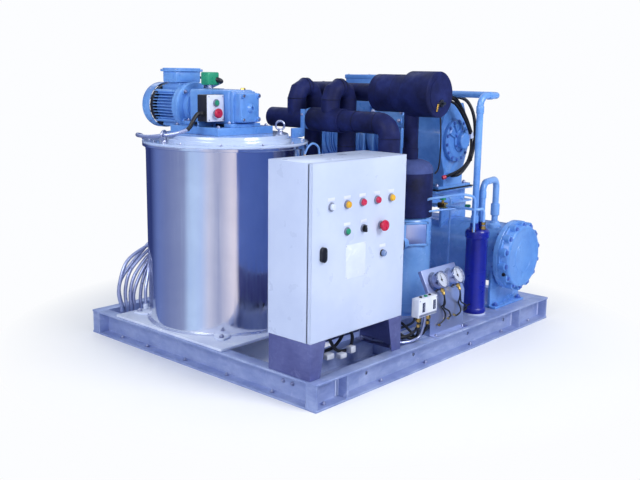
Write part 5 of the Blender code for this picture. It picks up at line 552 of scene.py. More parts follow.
def make_drum():
    """Jacket of polished sheet with its rim, foot ring, ears, nozzles and gland."""
    wall = [(0, DRUM_FOOT), (0.328, DRUM_FOOT), (0.328, 0.115), (0.3268, 0.1166), (0.3215, 0.1166),
        (DRUM_RADIUS, 0.1185), (DRUM_RADIUS, 0.8155), (0.3212, 0.8176), (0.3318, 0.8176), (0.333, 0.819),
        (0.333, 0.8282), (0.3318, 0.8296), (0.2632, 0.8296), (0.262, 0.8284), (0.262, 0.1606),
        (0.0405, 0.1606), (0.0405, 0.1906), (0.0186, 0.1906), (0.0186, 0.1656), (0, 0.1656)]
    shell = of(MIRROR, turned(wall, at_drum(), steps=128))
    foot = of(BRIGHT, band([(0.319, 0), (0.3292, 0), (0.3292, 0.0048), (0.3276, 0.0066), (0.319, 0.0066)],
            at_drum(z=DRUM_FOOT), steps=128))
    seam = of(MIRROR, block((DRUM_X - 0.0022, DRUM_Y + 0.3188, 0.118),
            (DRUM_X + 0.0022, DRUM_Y + 0.3207, 0.816), 0.0006))
    ears = []
    for quarter in range(4):
        angle = 45 + 90 * quarter
        outline = [(0.296, -0.03), (0.352, -0.03), (0.385, -0.01), (0.385, 0.01), (0.352, 0.03),
            (0.296, 0.03)]
        ear = cut_plate(outline, at_drum(z=DRUM_FOOT), ACROSS, BACK, 0.008, 0.0012)
        ears.append(turn_about(ear, DRUM, UP, angle))
    bolts = copies(hex_bolt(0.0095), [(at_drum(0.364 * math.cos(a), 0.364 * math.sin(a), 0.1186), UP)
            for a in (math.radians(45 + 90 * q) for q in range(4))])
    nozzles = []
    for y in NOZZLE_YS:
        nozzles += of(BRIGHT, rod((-0.21, y, NOZZLE_Z), (-0.09, y, NOZZLE_Z), 0.03, steps=40, edge=0.0015))
        reach = DRUM_X + math.sqrt(DRUM_RADIUS ** 2 - (y - DRUM_Y) ** 2)
        nozzles += of(BRIGHT,
            band([(0.028, -0.03), (0.048, -0.03), (0.048, 0.001), (0.045, 0.003), (0.028, 0.003)],
                (reach, y, NOZZLE_Z), ACROSS, 40))
    gland = of(BLACK,
        solid([(0.0135, -0.02), (0.0135, 0.006), (0.011, 0.008), (0.011, 0.021), (0.0095, 0.0249)],
            (-0.5, 0.4928, 0.42), BACK, 24))
    piece("drum_shell", [shell, foot, seam, of(PLATE_STEEL, ears), of(ZINC, bolts), nozzles, gland],
        ("drum_jacket",))


def make_lid():
    """Lid with its rim, three lifting eyes and a ring of bolts."""
    lid = [(0.0186, 0.8299), (0.332, 0.8299), (0.3332, 0.8311), (0.3332, 0.8376), (0.3318, LID_STEP),
        (0.27, LID_STEP), (0.2688, 0.84), (0.2652, 0.8508), (0.2636, 0.8519), (0.257, 0.8519),
        (0.256, 0.853), (0.253, 0.8652), (0.2514, LID_TOP), (0.0186, LID_TOP), (0.0186, 0.8299)]
    cover = of(LID_GLOSS, turned(lid, at_drum(), steps=128))
    eyes = []
    for degrees, reach, height, facing in ((172.0, 0.284, LID_STEP, 108), (46.0, 0.238, LID_TOP, 166),
            (-24.0, 0.236, LID_TOP, 40)):
        angle, face = math.radians(degrees), math.radians(facing)
        spot = at_drum(reach * math.cos(angle), reach * math.sin(angle), height)
        outward = Vector((math.cos(face), math.sin(face), 0))
        eyes.append(solid([(0.0125, 0), (0.0125, 0.0025), (0.0112, 0.0038), (0.009, 0.0042),
                (0.0075, 0.0102)], spot, UP, 24))
        eyes.append(ring(spot + UP * 0.027, outward, 0.018, 0.0044))
    screws = copies(hex_bolt(0.0055), around(at_drum(z=LID_STEP), UP, 0.309, 12, 15))
    piece("drum_cover", [cover, of(ZINC, eyes), of(ZINC, screws)], ("drum_lid",))


# Gear unit and motor
def make_gear_frame():
    """Frame of the gear unit on the drum's lid."""
    frame_parts = [dressed("gear_base", 0.0016)]
    nuts = copies(hex_bolt(0.0075), [((DRUM_X + x, y, 0.8957), UP) for x in (-0.128, 0.128)
            for y in (0.075, 0.325)])
    rib = cut_plate([(0, 0), (0.052, 0), (0, 0.05)], (-0.523, 0.1735, 0.8955), ACROSS, UP, 0.005, 0.0008)
    piece("gear_frame", [of(DRIVE_BLUE, frame_parts, rib), of(ZINC, nuts)], ("gear_base",))


def make_gear_case():
    """Gear case with its covers, feet, output flange and bolts."""
    parts = [block((-0.52, 0.078, 0.9047), (-0.388, 0.325, 1.0397), 0.012, 3),
             block((-0.505, 0.03, 0.9147), (-0.403, 0.1, 1.0297), 0.01, 3),
             block((-0.515, 0.066, 0.91), (-0.393, 0.082, 1.0345), 0.004),
             solid([(0.02, -0.004), (0.018, 0.003), (0.012, 0.012), (0.0078, 0.012), (0.0078, 0.004)],
                 (DRUM_X, 0.03, 0.9707), FRONTWARD, 28),
             rod((DRUM_X, DRUM_Y, 0.867), (DRUM_X, DRUM_Y, 0.91), 0.05, edge=0.002, steps=48)]
    for y in (0.055, 0.301):
        parts.append(block((DRUM_X - 0.078, y, 0.896), (DRUM_X + 0.078, y + 0.044, 0.9097), 0.0025))
    parts.append(solid([(0.075, 0), (0.068, 0.012), (0.068, 0.036), (0.0965, 0.0365), (0.097, 0.038),
            (0.097, 0.0548), (0.0955, 0.0562)], (DRUM_X, 0.325, MOTOR_Z), BACK, 72))
    for offset in (-0.03, 0.0, 0.03):
        near, far = 0.14 + offset * 1.6, 0.146 + offset * 1.6
        parts.append(block((-0.5215, near, 0.916), (-0.5165, far, 1.028), 0.0012))
        parts.append(block((-0.3915, near, 0.916), (-0.3865, far, 1.028), 0.0012))
    octagon = [(0.05 * math.cos(a), 0.05 * math.sin(a)) for a in (math.radians(22.5 + 45 * k)
            for k in range(8))]
    for side, way in ((-0.5195, FRONTWARD), (-0.3885, BACK)):
        parts.append(cut_plate(octagon, (side, GEAR_COVER_Y, GEAR_COVER_Z), way, UP, 0.006, 0.0014))
    parts.append(band([(0.097, 0), (0.1, 0.002), (0.1, 0.01), (0.0975, 0.0125)],
            (DRUM_X, FLANGE_Y, MOTOR_Z), BACK, 72))
    parts += copies(solid([(0.0125, 0), (0.0125, 0.008), (0.011, 0.0095)], (0, 0, 0), UP, 20),
        [place[:2] for place in around((DRUM_X, FLANGE_Y, MOTOR_Z), FRONTWARD, 0.085, 4, 45)])
    # Painted shade: a black block filling the space between the gear case and its base, where shade falls.
    under = block((-0.512, 0.06, 0.8958), (-0.396, 0.31, 0.905), 0)
    bosses = [(x, z) for x in (-0.041, 0.041) for z in (0.9265, 1.018)]
    parts += [solid([(0.0105, 0), (0.0095, 0.006)], (DRUM_X + x, 0.031, z), FRONTWARD, 20)
        for x, z in bosses]
    bolts = copies(hex_bolt(0.0065, washer=False, stub=False), [((DRUM_X + x, 0.0255, z), FRONTWARD)
            for x, z in bosses])
    bolts += copies(hex_bolt(0.008), around((DRUM_X, 0.3545, MOTOR_Z), FRONTWARD, 0.085, 4, 45))
    bolts += copies(hex_bolt(0.0045, washer=False, stub=False),
        around((-0.5255, GEAR_COVER_Y, GEAR_COVER_Z), LEFTWARD, 0.042, 8, 22.5))
    bolts += copies(hex_bolt(0.0075), [((DRUM_X + x, y, 0.9097), UP) for x in (-0.07, 0.07)
            for y in (0.077, 0.323)])
    plug = solid([(0.011, 0), (0.011, 0.004), (0.008, 0.008)], (-0.42, 0.11, 1.039), UP, 6)
    piece("gear_case", [of(DRIVE_BLUE, parts), of(ZINC, bolts), of(BRASS, plug), of(BLACK, under)],
        ("gear_housing",))


def make_motor():
    """Motor case with its flange, cooling fins, tie lugs, and a black ring before the fan that is painted
    shadow between fins and cowl.
    """
    axis = Vector((DRUM_X, 0.3815, MOTOR_Z))
    body = [solid([(0.0955, 0), (0.097, 0.0014), (0.097, 0.0185), (0.0955, 0.02), (0.08, 0.0204),
            (0.074, 0.026), (0.072, 0.03), (0.072, 0.15)], axis, BACK, 96)]
    for step in range(-4, 5):
        rise = step * 0.0125
        wide = math.sqrt(0.0918 ** 2 - rise ** 2)
        body.append(block((DRUM_X - wide, 0.409, axis.z + rise - 0.0015),
                (DRUM_X + wide, 0.533, axis.z + rise + 0.0015), 0.0007, 1))
        if abs(step) < 4:
            body.append(block((DRUM_X + rise - 0.0015, 0.409, axis.z - wide),
                    (DRUM_X + rise + 0.0015, 0.533, axis.z + wide), 0.0007, 1))
    body += copies(block((0.07, -0.007, 0.026), (0.0905, 0.007, 0.1716), 0.002, 1),
        [(axis, BACK, math.radians(45 + 90 * k)) for k in range(4)])
    # Painted shadow: a black ring where the space between the fins and the fan cowl lies in shade.
    shadow_ring = solid([(0.09, 0.1495), (0.09, 0.1718)], axis, BACK, 64)
    body.append(block((DRUM_X - 0.044, 0.4153, 1.03), (DRUM_X + 0.044, 0.4853, 1.064), 0.003))
    ties = copies(hex_bolt(0.0075), around(axis + BACK * 0.02, BACK, 0.0865, 4, 45))
    piece("motor_case", [of(DRIVE_BLUE, body), of(BLACK, shadow_ring), of(ZINC, ties)], ("motor_body",))


def make_fan_hood():
    """Fan cowl with the rings and bars of its grille."""
    cowl = [band([(0.0945, 0.0003), (0.0952, 0.0012), (0.0952, 0.044), (0.093, 0.05), (0.086, 0.0543),
            (0.078, 0.0543), (0.078, 0.0513), (0.0855, 0.051), (0.0905, 0.0475), (0.0922, 0.043),
            (0.0922, 0.0003)], (DRUM_X, COWL_Y, MOTOR_Z), BACK, 96)]
    for radius in (0.02, 0.032, 0.044, 0.056, 0.068):
        cowl.append(ring((DRUM_X, 0.6062, MOTOR_Z), BACK, radius, 0.0011, 56, 8))
    cowl.append(solid([(0.013, 0), (0.0125, 0.0018)], (DRUM_X, 0.6052, MOTOR_Z), BACK, 32))
    bar = block((0.01, -0.0014, 0.0515), (0.08, 0.0014, 0.0535), 0.0005, 1)
    cowl += copies(bar, [((DRUM_X, COWL_Y, MOTOR_Z), BACK, math.tau * k / 8) for k in range(8)])
    ways = [Vector((math.cos(a), 0, math.sin(a))) for a in (0.8, 2.34, 3.94, 5.48)]
    screws = copies(screw(0.0034, 0.0018), [(Vector((DRUM_X, 0.58, MOTOR_Z)) + way * 0.095, way)
            for way in ways])
    piece("fan_hood", [of(DRIVE_BLUE, cowl), of(ZINC, screws)], ("fan_cowl",))


def make_motor_box():
    """The motor's terminal box with its lid, screws and gland."""
    box = [block((-0.519, 0.4063, 1.0627), (-0.389, 0.4943, 1.1085), 0.004),
           block((-0.527, 0.3985, 1.1067), (-0.381, 0.5025, 1.115), 0.003),
           block((-0.521, 0.4045, 1.113), (-0.387, 0.4965, 1.1217), 0.004, 3),
           block((-0.5, 0.4035, 1.072), (-0.408, 0.4072, 1.101), 0.0014),
           block((-0.5218, 0.422, 1.072), (-0.518, 0.479, 1.101), 0.0014)]
    screws = copies(screw(0.004, 0.0022), [((x, y, 1.1148), UP) for x in (-0.5232, -0.3848)
            for y in (0.4025, 0.4985)])
    gland = solid([(0.01, 0), (0.01, 0.006), (0.0085, 0.008), (0.0085, 0.014), (0.007, 0.016)],
        (-0.3895, 0.433, 1.083), ACROSS, 6)
    piece("motor_connection_box", [of(DRIVE_BLUE, box), of(ZINC, screws), of(BLACK, gland)],
        ("motor_terminal_box",))


def make_motor_lead():
    """Lead from the motor's box to the gear case, with a white sleeve."""
    lead = of(CABLE, hose([(-0.376, 0.433, 1.083), (-0.366, 0.43, 1.082), (-0.36, 0.415, 1.078),
            (-0.368, 0.392, 1.066), (-0.384, 0.378, 1.05), (-0.392, 0.372, 1.03), (-0.388, 0.35, 1.012),
            (-0.38, 0.318, 0.985), (-0.378, 0.29, 0.94), (-0.384, 0.262, 0.905)], 0.0052))
    sleeve = of(WHITE,
        hose([(-0.3745, 0.385, 1.0595), (-0.3835, 0.3775, 1.05), (-0.3905, 0.373, 1.034)], 0.0068))
    piece("motor_lead", [lead, sleeve])


def make_speed_sensor():
    """Sensor on the gear case with its plug and strip."""
    sensor = [solid([(0.011, -0.012), (0.011, 0.02)], (DRUM_X, 0.27, 1.039), UP, 24)]
    housing = [block((-0.483, 0.245, 1.055), (-0.425, 0.295, 1.107), 0.006, 3),
               block((-0.4855, 0.252, 1.07), (-0.4225, 0.288, 1.092), 0.003)]
    nose = [hose([(-0.44, 0.262, 1.078), (-0.436, 0.246, 1.077), (-0.428, 0.238, 1.073),
            (-0.42, 0.24, 1.069)], 0.01)]
    tail = [rod((-0.415, 0.24, 1.069), (-0.408, 0.322, 1.044), 0.0066, steps=20, edge=0.001),
            hose([(-0.408, 0.3215, 1.0442), (-0.404, 0.345, 1.035), (-0.396, 0.356, 1.02),
                (-0.388, 0.348, 1.01)], 0.0042)]
    strip = [block((-0.466, 0.196, 1.0405), (-0.442, 0.3, 1.0425), 0.0006),
             block((-0.466, 0.2955, 1.0405), (-0.442, 0.298, 1.064), 0.0006)]
    piece("speed_sensor", [of(GREEN, housing), of(BLACK, nose), of(WHITE, tail[0]), of(CABLE, tail[1]),
            of(BRIGHT, strip, sensor)], ("sensor_box",))


def finish_hidden_nodes():
    """Finishes of the fan, the liner and the shaft, which stay as the CAD has them."""
    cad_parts["motor_fan"].data.materials[0] = BLACK
    for name in ("drum_liner", "scraper_shaft"):
        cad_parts[name].data.materials[0] = BRIGHT


def make_local_station():
    """Small box with its own start and stop buttons beside the gear unit."""
    case = of(BLACK, block((-0.606, 0.1125, 0.9177), (-0.521, 0.171, 1.0217), 0.0035))
    cover = of(WHITE, block((-0.6055, 0.109, 0.9182), (-0.5215, 0.117, 1.0212), 0.003))
    screws = of(ZINC, copies(screw(0.003, 0.0014), [((x, 0.1092, z), FRONTWARD) for x in (-0.599, -0.528)
            for z in (0.925, 1.0145)]))
    bezels = []
    for z in (START_Z, STOP_Z):
        bezels += of(GREY,
            solid([(0.0145, 0), (0.0145, 0.0045), (0.013, 0.006), (0.0108, 0.006), (0.0108, 0.002)],
                (STATION_X, STATION_FRONT, z), FRONTWARD, 36))
    gland = of(BLACK,
        solid([(0.011, -0.004), (0.011, 0.005), (0.0092, 0.006), (0.0092, 0.0115), (0.008, 0.0125)],
            (-0.606, 0.14, 0.9477), LEFTWARD, 6))
    piece("local_station", [case, cover, screws, bezels, gland], ("local_box",))
    piece("local_start_cap",
        [of(GREEN, solid([(0.01, -0.006), (0.01, 0.009), (0.009, 0.01)],
            (STATION_X, STATION_FRONT, START_Z), FRONTWARD, 36))], ("local_start_button",), "local_start")
    mushroom = turned([(0, -0.006), (0.008, -0.006), (0.008, 0.011), (0.015, 0.0115), (0.019, 0.014),
            (0.0186, 0.018), (0.016, 0.0215), (0.01, 0.0228), (0, 0.023)],
        (STATION_X, STATION_FRONT, STOP_Z), FRONTWARD, 40)
    piece("local_stop_cap", [of(RED, mushroom)], ("local_stop_button",), "local_stop")


# Cabinet
DOOR_FRONT = -0.615
LAMP_Z, BUTTON_Z = 0.6816, 0.5896
GREEN_X, SELECTOR_X, STOP_X = -0.619, -0.532, -0.436
DIAL_X, DIAL_Z, LOCK_X, LOCK_Z = -0.422, 0.4866, -0.741, 0.5266


def make_cabinet():
    """Cabinet's body with the screws of its back."""
    body = of(CABINET, dressed("cabinet_body", 0.001))
    screws = of(ZINC, copies(screw(0.0035, 0.0018), [((x, -0.4152, z), BACK) for x in (-0.77, -0.318)
            for z in (0.26, 0.8)]))
    piece("cabinet_case", [body, screws], ("cabinet_body",))


def make_door():
    """Door pan with its seal, lamps, bezels, labels, plate and hinges."""
    low, high = Vector((-0.794, -0.615, 0.2296)), Vector((-0.294, -0.5955, 0.8296))
    sheet = 0.0025
    pan = [block((low.x, low.y, low.z), (high.x, low.y + sheet, high.z), 0.0011),
           block((low.x, low.y, low.z), (low.x + sheet, -0.6005, high.z), 0.0009),
           block((high.x - sheet, low.y, low.z), (high.x, -0.6005, high.z), 0.0009),
           block((low.x, low.y, low.z), (high.x, -0.6005, low.z + sheet), 0.0009),
           block((low.x, low.y, high.z - sheet), (high.x, -0.6005, high.z), 0.0009)]
    left, right, near, back, floor, top = -0.7922, -0.2958, -0.603, -0.5957, 0.2318, 0.8274
    seal = [block((left, near, floor), (-0.7835, back, top), 0.0012),
            block((-0.3045, near, floor), (right, back, top), 0.0012),
            block((left, near, floor), (right, back, 0.2405), 0.0012),
            block((left, near, 0.8185), (right, back, top), 0.0012)]
    fittings, front = [], DOOR_FRONT
    for x, glass in ((-0.701, MILKY), (-0.621, YELLOW), (-0.541, RED_LENS), (-0.461, RED_LENS),
            (-0.381, YELLOW)):
        fittings += of(GREY,
            band([(0.0116, 0), (0.0147, 0), (0.0147, 0.0045), (0.0132, 0.0062), (0.0116, 0.0062)],
                (x, front, LAMP_Z), FRONTWARD, 36))
        fittings += of(glass, turned([(0, 0), (0.0115, 0), (0.0115, 0.011), (0.01, 0.0142), (0.006, 0.0152),
                (0, 0.0155)], (x, front, LAMP_Z), FRONTWARD, 36))
        fittings += of(BLACK,
            solid([(0.0135, 0), (0.0135, 0.005), (0.011, 0.0055), (0.011, 0.029), (0.0095, 0.0305)],
                (x, front + sheet, LAMP_Z), BACK, 24))
        fittings += of(WHITE, block((x - 0.017, front - 0.0011, 0.7),
                (x + 0.017, front + 0.0005, 0.711), 0.0004))
    for x, z, radius in ((GREEN_X, BUTTON_Z, 0.0145), (SELECTOR_X, BUTTON_Z, 0.0145),
            (STOP_X, BUTTON_Z, 0.015), (DIAL_X, DIAL_Z, 0.0125)):
        fittings += of(GREY if z > 0.5 else BLACK,
            band([(0.0105, 0), (radius, 0), (radius, 0.0042), (radius - 0.0012, 0.0056), (0.0105, 0.0056)],
                (x, front, z), FRONTWARD, 36))
        fittings += of(BLACK, block((x - 0.014, front + sheet, z - 0.015),
                (x + 0.014, front + 0.036, z + 0.015), 0.002))
    for x, z in ((GREEN_X, 0.609), (SELECTOR_X, 0.6095), (DIAL_X, 0.5075)):
        fittings += of(WHITE, block((x - 0.017, front - 0.0011, z),
                (x + 0.017, front + 0.0005, z + 0.011), 0.0004))
    plate = of(PLATE_STEEL, block((-0.623, front - 0.001, 0.4226),
            (-0.517, front + 0.0004, 0.5406), 0.0004))
    rivets = of(ZINC,
        copies(screw(0.002, 0.0008), [((x, front - 0.0009, z), FRONTWARD) for x in (-0.619, -0.521)
            for z in (0.4266, 0.5366)]))
    turns = [math.tau * k / 32 for k in range(32)]
    slot_shape = [(0.013 * math.cos(a), 0.013 * math.sin(a) + (0.013 if math.sin(a) >= 0 else -0.013))
        for a in turns]
    bezel = of(BLACK, cut_plate(slot_shape, (LOCK_X, front + 0.0004, LOCK_Z), ACROSS, UP, 0.0054, 0.0012))
    knuckles = []
    for z in (0.3136, 0.7096):
        knuckles.append(rod((-0.2882, -0.595, z + 0.0222), (-0.2882, -0.595, z + 0.044), 0.0055,
                steps=24, edge=0.0008))
        knuckles.append(block((-0.2945, -0.5985, z + 0.024), (-0.2885, -0.5915, z + 0.0425), 0.001))
    piece("door_panel", [of(CABINET, pan), of(GASKET, seal), fittings, plate, rivets, bezel,
            of(BLACK, knuckles)], ("cabinet_door",), "door")


def make_controls():
    """Push cap, selector, stop mushroom, dial and lock on the door."""
    front = DOOR_FRONT
    piece("green_push_cap",
        [of(GREEN, solid([(0.01, -0.004), (0.01, 0.0102), (0.009, 0.0112)], (GREEN_X, front, BUTTON_Z),
            FRONTWARD, 36))], ("green_button",), "green_button")
    knob = [solid([(0.01, -0.004), (0.0118, 0.0005), (0.0118, 0.006), (0.0108, 0.007)],
                (SELECTOR_X, front, BUTTON_Z), FRONTWARD, 36),
            block((-0.5355, front - 0.0178, 0.5776), (-0.5285, front - 0.005, 0.6016), 0.0018)]
    piece("selector_knob",
        [of(BLACK, knob), of(WHITE, block((-0.5328, front - 0.0182, 0.593), (-0.5312, front - 0.017, 0.601),
            0.0002))], ("selector_switch",), "selector")
    head = turned([(0, -0.004), (0.01, -0.004), (0.01, 0.012), (0.0165, 0.0145), (0.02, 0.018),
            (0.0198, 0.0225), (0.0175, 0.0265), (0.011, 0.0286), (0, 0.029)], (STOP_X, front, BUTTON_Z),
        FRONTWARD, 48)
    piece("stop_mushroom", [of(RED, head)], ("emergency_stop",), "emergency_stop")
    dial = [solid([(0.0095, -0.004), (0.011, 0.001), (0.011, 0.012), (0.0098, 0.014)],
            (DIAL_X, front, DIAL_Z), FRONTWARD, 40)]
    ridge = block((0.0104, -0.0006, 0.0015), (0.0113, 0.0006, 0.012), 0, 1)
    dial += copies(ridge, [((DIAL_X, front, DIAL_Z), FRONTWARD, math.tau * k / 24) for k in range(24)])
    piece("speed_knob",
        [of(SMOKE, dial),
            of(WHITE, block((-0.4226, front - 0.0143, 0.488), (-0.4214, front - 0.0136, 0.4968), 0.0002))],
        ("dial_knob",), "dial_knob")
    lock = [dressed("door_lock", 0.0012)]
    core = [solid([(0.0075, 0), (0.007, 0.0012), (0.0035, 0.0014), (0.0035, 0.0004)],
            (LOCK_X, front - 0.0098, LOCK_Z), FRONTWARD, 28)]
    piece("lock_barrel", [of(BLACK, lock), of(GREY, core)], ("door_lock",), "lock")


def make_back_shade_sheets():
    """Plain darker blue sheet screwed to the cabinet's back, as painted shade on the side that faces the
    drum, with a dark sheet below it as painted shade under the cabinet.
    """
    # Painted shade: a darker blue sheet on the cabinet's back.
    sheet = block((-0.7915, -0.4156, 0.232), (-0.2965, -0.4144, 0.8272), 0.0004, 1)
    heads = copies(screw(0.004, 0.0018), [((x, -0.4144, z), BACK) for x in (-0.775, -0.544, -0.313)
            for z in (0.25, 0.53, 0.81)])
    # Painted shade: a dark sheet that closes the open space under the cabinet.
    shade_sheet_under_cabinet = block((-0.79, -0.418, 0.126), (-0.298, -0.4165, 0.229), 0.0004, 1)
    piece("cabinet_back_panel", [of(BACK_PAINTED_SHADE, sheet), of(PLINTH, shade_sheet_under_cabinet), of(ZINC, heads)])


def make_devices():
    """Mounting plate with its rails, trunking and rows of switchgear."""
    plate = of(GALVANISED, dressed("mounting_plate", 0.0008))
    extras = []
    left, right, low, high = -0.759, -0.329, 0.2646, 0.7946
    for share in (0.2, 0.5, 0.78):
        z = low + (high - low) * share
        extras += of(ZINC, block((left + 0.012, -0.434, z - 0.0175),
                (right - 0.012, -0.43, z + 0.0175), 0.0008))
    for z in (low + 0.022, low + (high - low) * 0.35, low + (high - low) * 0.64, high - 0.024):
        extras += of(GREY, block((left + 0.01, -0.47, z - 0.015), (right - 0.01, -0.43, z + 0.015), 0.0015))
    piece("switchgear_plate", [plate, extras], ("mounting_plate",))


def make_plinths():
    """Two plinth sheets with their bolts."""
    for side in ("left", "right"):
        sheet = of(PLINTH, dressed(side + "_plinth", 0.0008))
        x = -0.7915 if side == "left" else -0.2965
        screws = of(ZINC,
            copies(hex_bolt(0.006), [((x + (0.018 if side == "left" else -0.018), y, 0.1035), UP)
                for y in (-0.585, -0.448)]))
        piece(side + "_plinth_sheet", [sheet, screws], (side + "_plinth",))


# Gauges and pressure switch
PANEL_OUT = Vector((0, -0.8829, 0.4695))
PANEL_UP = Vector((0, 0.4695, 0.8829))
LOW_GAUGE_X, HIGH_GAUGE_X = -0.0335, 0.0785
SCALE_START, MARK_STEP, MARK_COUNT = -135, 10, 28
LOW_PORT_X, HIGH_PORT_X, PORT_Y = -0.202, -0.1396, -0.628


def make_gauges():
    """Gauge bracket, and two gauges with their scales and needles."""
    bracket = of(SATIN, dressed("gauge_bracket", 0.0008))
    bolts = of(ZINC, copies(hex_bolt(0.006), [((x, -0.6245, 0.1033), UP) for x in (-0.075, 0.115)]))
    piece("gauge_panel", [bracket, bolts], ("gauge_bracket",))
    for name, x, body in (("low", LOW_GAUGE_X, "low_needle"), ("high", HIGH_GAUGE_X, "high_needle")):
        seat = Vector((x, -0.5825, 0.304)) + PANEL_OUT * 0.0004
        case = of(RIM,
            solid([(0.033, 0), (0.0348, 0.003), (0.0348, 0.033), (0.036, 0.0345), (0.036, 0.0415),
                (0.035, 0.0435), (0.0325, 0.044), (0.0312, 0.0425), (0.0312, 0.035)], seat, PANEL_OUT, 72))
        flange = of(RIM, band([(0.03, 0), (0.042, 0), (0.042, 0.0018), (0.03, 0.0018)], seat,
                PANEL_OUT, 64))
        card = of(DIAL_FACE, solid([(0.0311, 0.0349), (0.0311, 0.0352)], seat, PANEL_OUT, 64))
        marks = []
        middle = seat + PANEL_OUT * 0.0353
        for index in range(MARK_COUNT):
            angle = math.radians(SCALE_START + MARK_STEP * index)
            way = ACROSS * math.sin(angle) + PANEL_UP * math.cos(angle)
            size = 0.005 if index % 3 == 0 else 0.0028
            tick = block((-0.00035 if index % 3 else -0.0006, -0.0001, 0),
                (0.00035 if index % 3 else 0.0006, 0.0001, size), 0)
            turn = Matrix((way.cross(PANEL_OUT), PANEL_OUT, way)).transposed().to_4x4()
            tick.matrix_world = Matrix.Translation(middle + way * (0.0285 - size)) @ turn
            marks.append(settle(tick))
        hub = solid([(0.0052, 0), (0.0046, 0.0006)], middle, PANEL_OUT, 32)
        stem = rod(seat + PANEL_OUT * 0.02 - PANEL_UP * 0.03, seat + PANEL_OUT * 0.02 - PANEL_UP * 0.058,
            0.006, steps=24, edge=0.0008)
        nut = disc(0.0085, 0.01, seat + PANEL_OUT * 0.02 - PANEL_UP * 0.036, -PANEL_UP, 6)
        piece(name + "_gauge_case", [case, flange, card, of(BLACK, marks, hub), of(BRASS, stem, nut)],
            (name + "_gauge",))
        pivot = middle + PANEL_OUT * 0.0012
        needle = [cut_plate([(-0.0011, -0.009), (0.0011, -0.009), (0.0011, 0.0), (0.00035, 0.025),
                      (-0.00035, 0.025), (-0.0011, 0.0)], pivot, ACROSS, PANEL_UP, 0.0006),
                  turned([(0, 0), (0.0034, 0), (0.003, 0.0018), (0, 0.0022)], pivot, PANEL_OUT, 24)]
        piece(name + "_needle_hand", [of(BLACK, needle)], (name + "_needle",), body)


def make_pressure_switch():
    """Dual pressure switch with two windows, knobs and brass ports."""
    low, high = Vector((-0.226, -0.6463, 0.2073)), Vector((-0.106, -0.6103, 0.2813))
    housing = of(WHITE, block(low, high, 0.004, 3))
    rim = of(GREY, block((low.x + 0.003, low.y - 0.0006, low.z + 0.003),
            (high.x - 0.003, low.y + 0.003, low.z + 0.012), 0.0008))
    strip = of(GREEN, turned([(0, 0), (0.0075, 0), (0.007, 0.005), (0, 0.006)],
            (-0.166, -0.632, high.z - 0.0002), UP, 20))
    windows, pointers = [], []
    for x in (-0.1948, -0.1252):
        windows.append(block((x - 0.0085, low.y - 0.001, 0.227), (x + 0.0085, low.y + 0.002, 0.264), 0.001))
        pointers.append(block((x - 0.0004, low.y - 0.0014, 0.23), (x + 0.0004, low.y, 0.261), 0))
    knobs = [solid([(0.0055, 0), (0.0055, 0.004), (0.0045, 0.005)], (x, -0.63, 0.2812), UP, 20)
        for x in (-0.195, -0.137)]
    ports = []
    for x in (LOW_PORT_X, HIGH_PORT_X):
        ports.append(rod((x, PORT_Y, 0.2078), (x, PORT_Y, 0.1873), 0.009, steps=28, edge=0.001))
        ports.append(disc(0.0108, 0.008, (x, PORT_Y, 0.1975), DOWN, 6))
    screws = copies(screw(0.003, 0.0014),
        [((x, low.y + 0.0002, z), FRONTWARD) for x in (low.x + 0.007, high.x - 0.007)
            for z in (0.2155, 0.2735)])
    piece("dual_pressure_switch", [housing, rim, strip, of(WINDOW, windows), of(WHITE, pointers),
            of(BLACK, knobs), of(BRASS, ports), of(ZINC, screws)], ("pressure_switch",))


# Vessels, condenser and their pipes
DECK_TOP = 0.1003
SEPARATOR_X, SEPARATOR_Y, INLET_X, OUTLET_X = 0.323, -0.546, 0.2965, 0.3495
HOT_RADIUS, HOT_BEND = 0.014, 0.042
DISCHARGE_X, DISCHARGE_Z, HOT_GAS_Z = 0.448, 1.027, 0.664
HOT_INLET_X, HOT_INLET_Y = 0.52, -0.51
OIL_X, OIL_Z, OIL_PORT_Y = 0.27, 0.56, -0.573
OIL_INLET_Y, OIL_INLET_Z = -0.2, 0.6403
CONDENSER_X, CONDENSER_Z, CONDENSER_FEET = 0.56, 0.33, (-0.552, 0.434)
FRONT_CAP_Y, REAR_CAP_Y = -0.5983, 0.5953
ACCUMULATOR_X, ACCUMULATOR_Y, PLATE_TURN = 0.15, -0.307, -34
HEADER_X, HEADER_Z, HEADER_DROP_Y, HEADER_FOOT_Z = -0.05, 0.915, -0.347, 0.42
ARCH_X, ARCH_Z = 0.06, 1.047
COMPRESSOR_X, COMPRESSOR_Z, SUCTION_Z, SUCTION_INLET_Y = 0.51, 0.8053, 1.03, 0.36
STAND_BOLT_XS, STAND_BOLT_YS = (0.4, 0.62), (-0.277, 0.277)


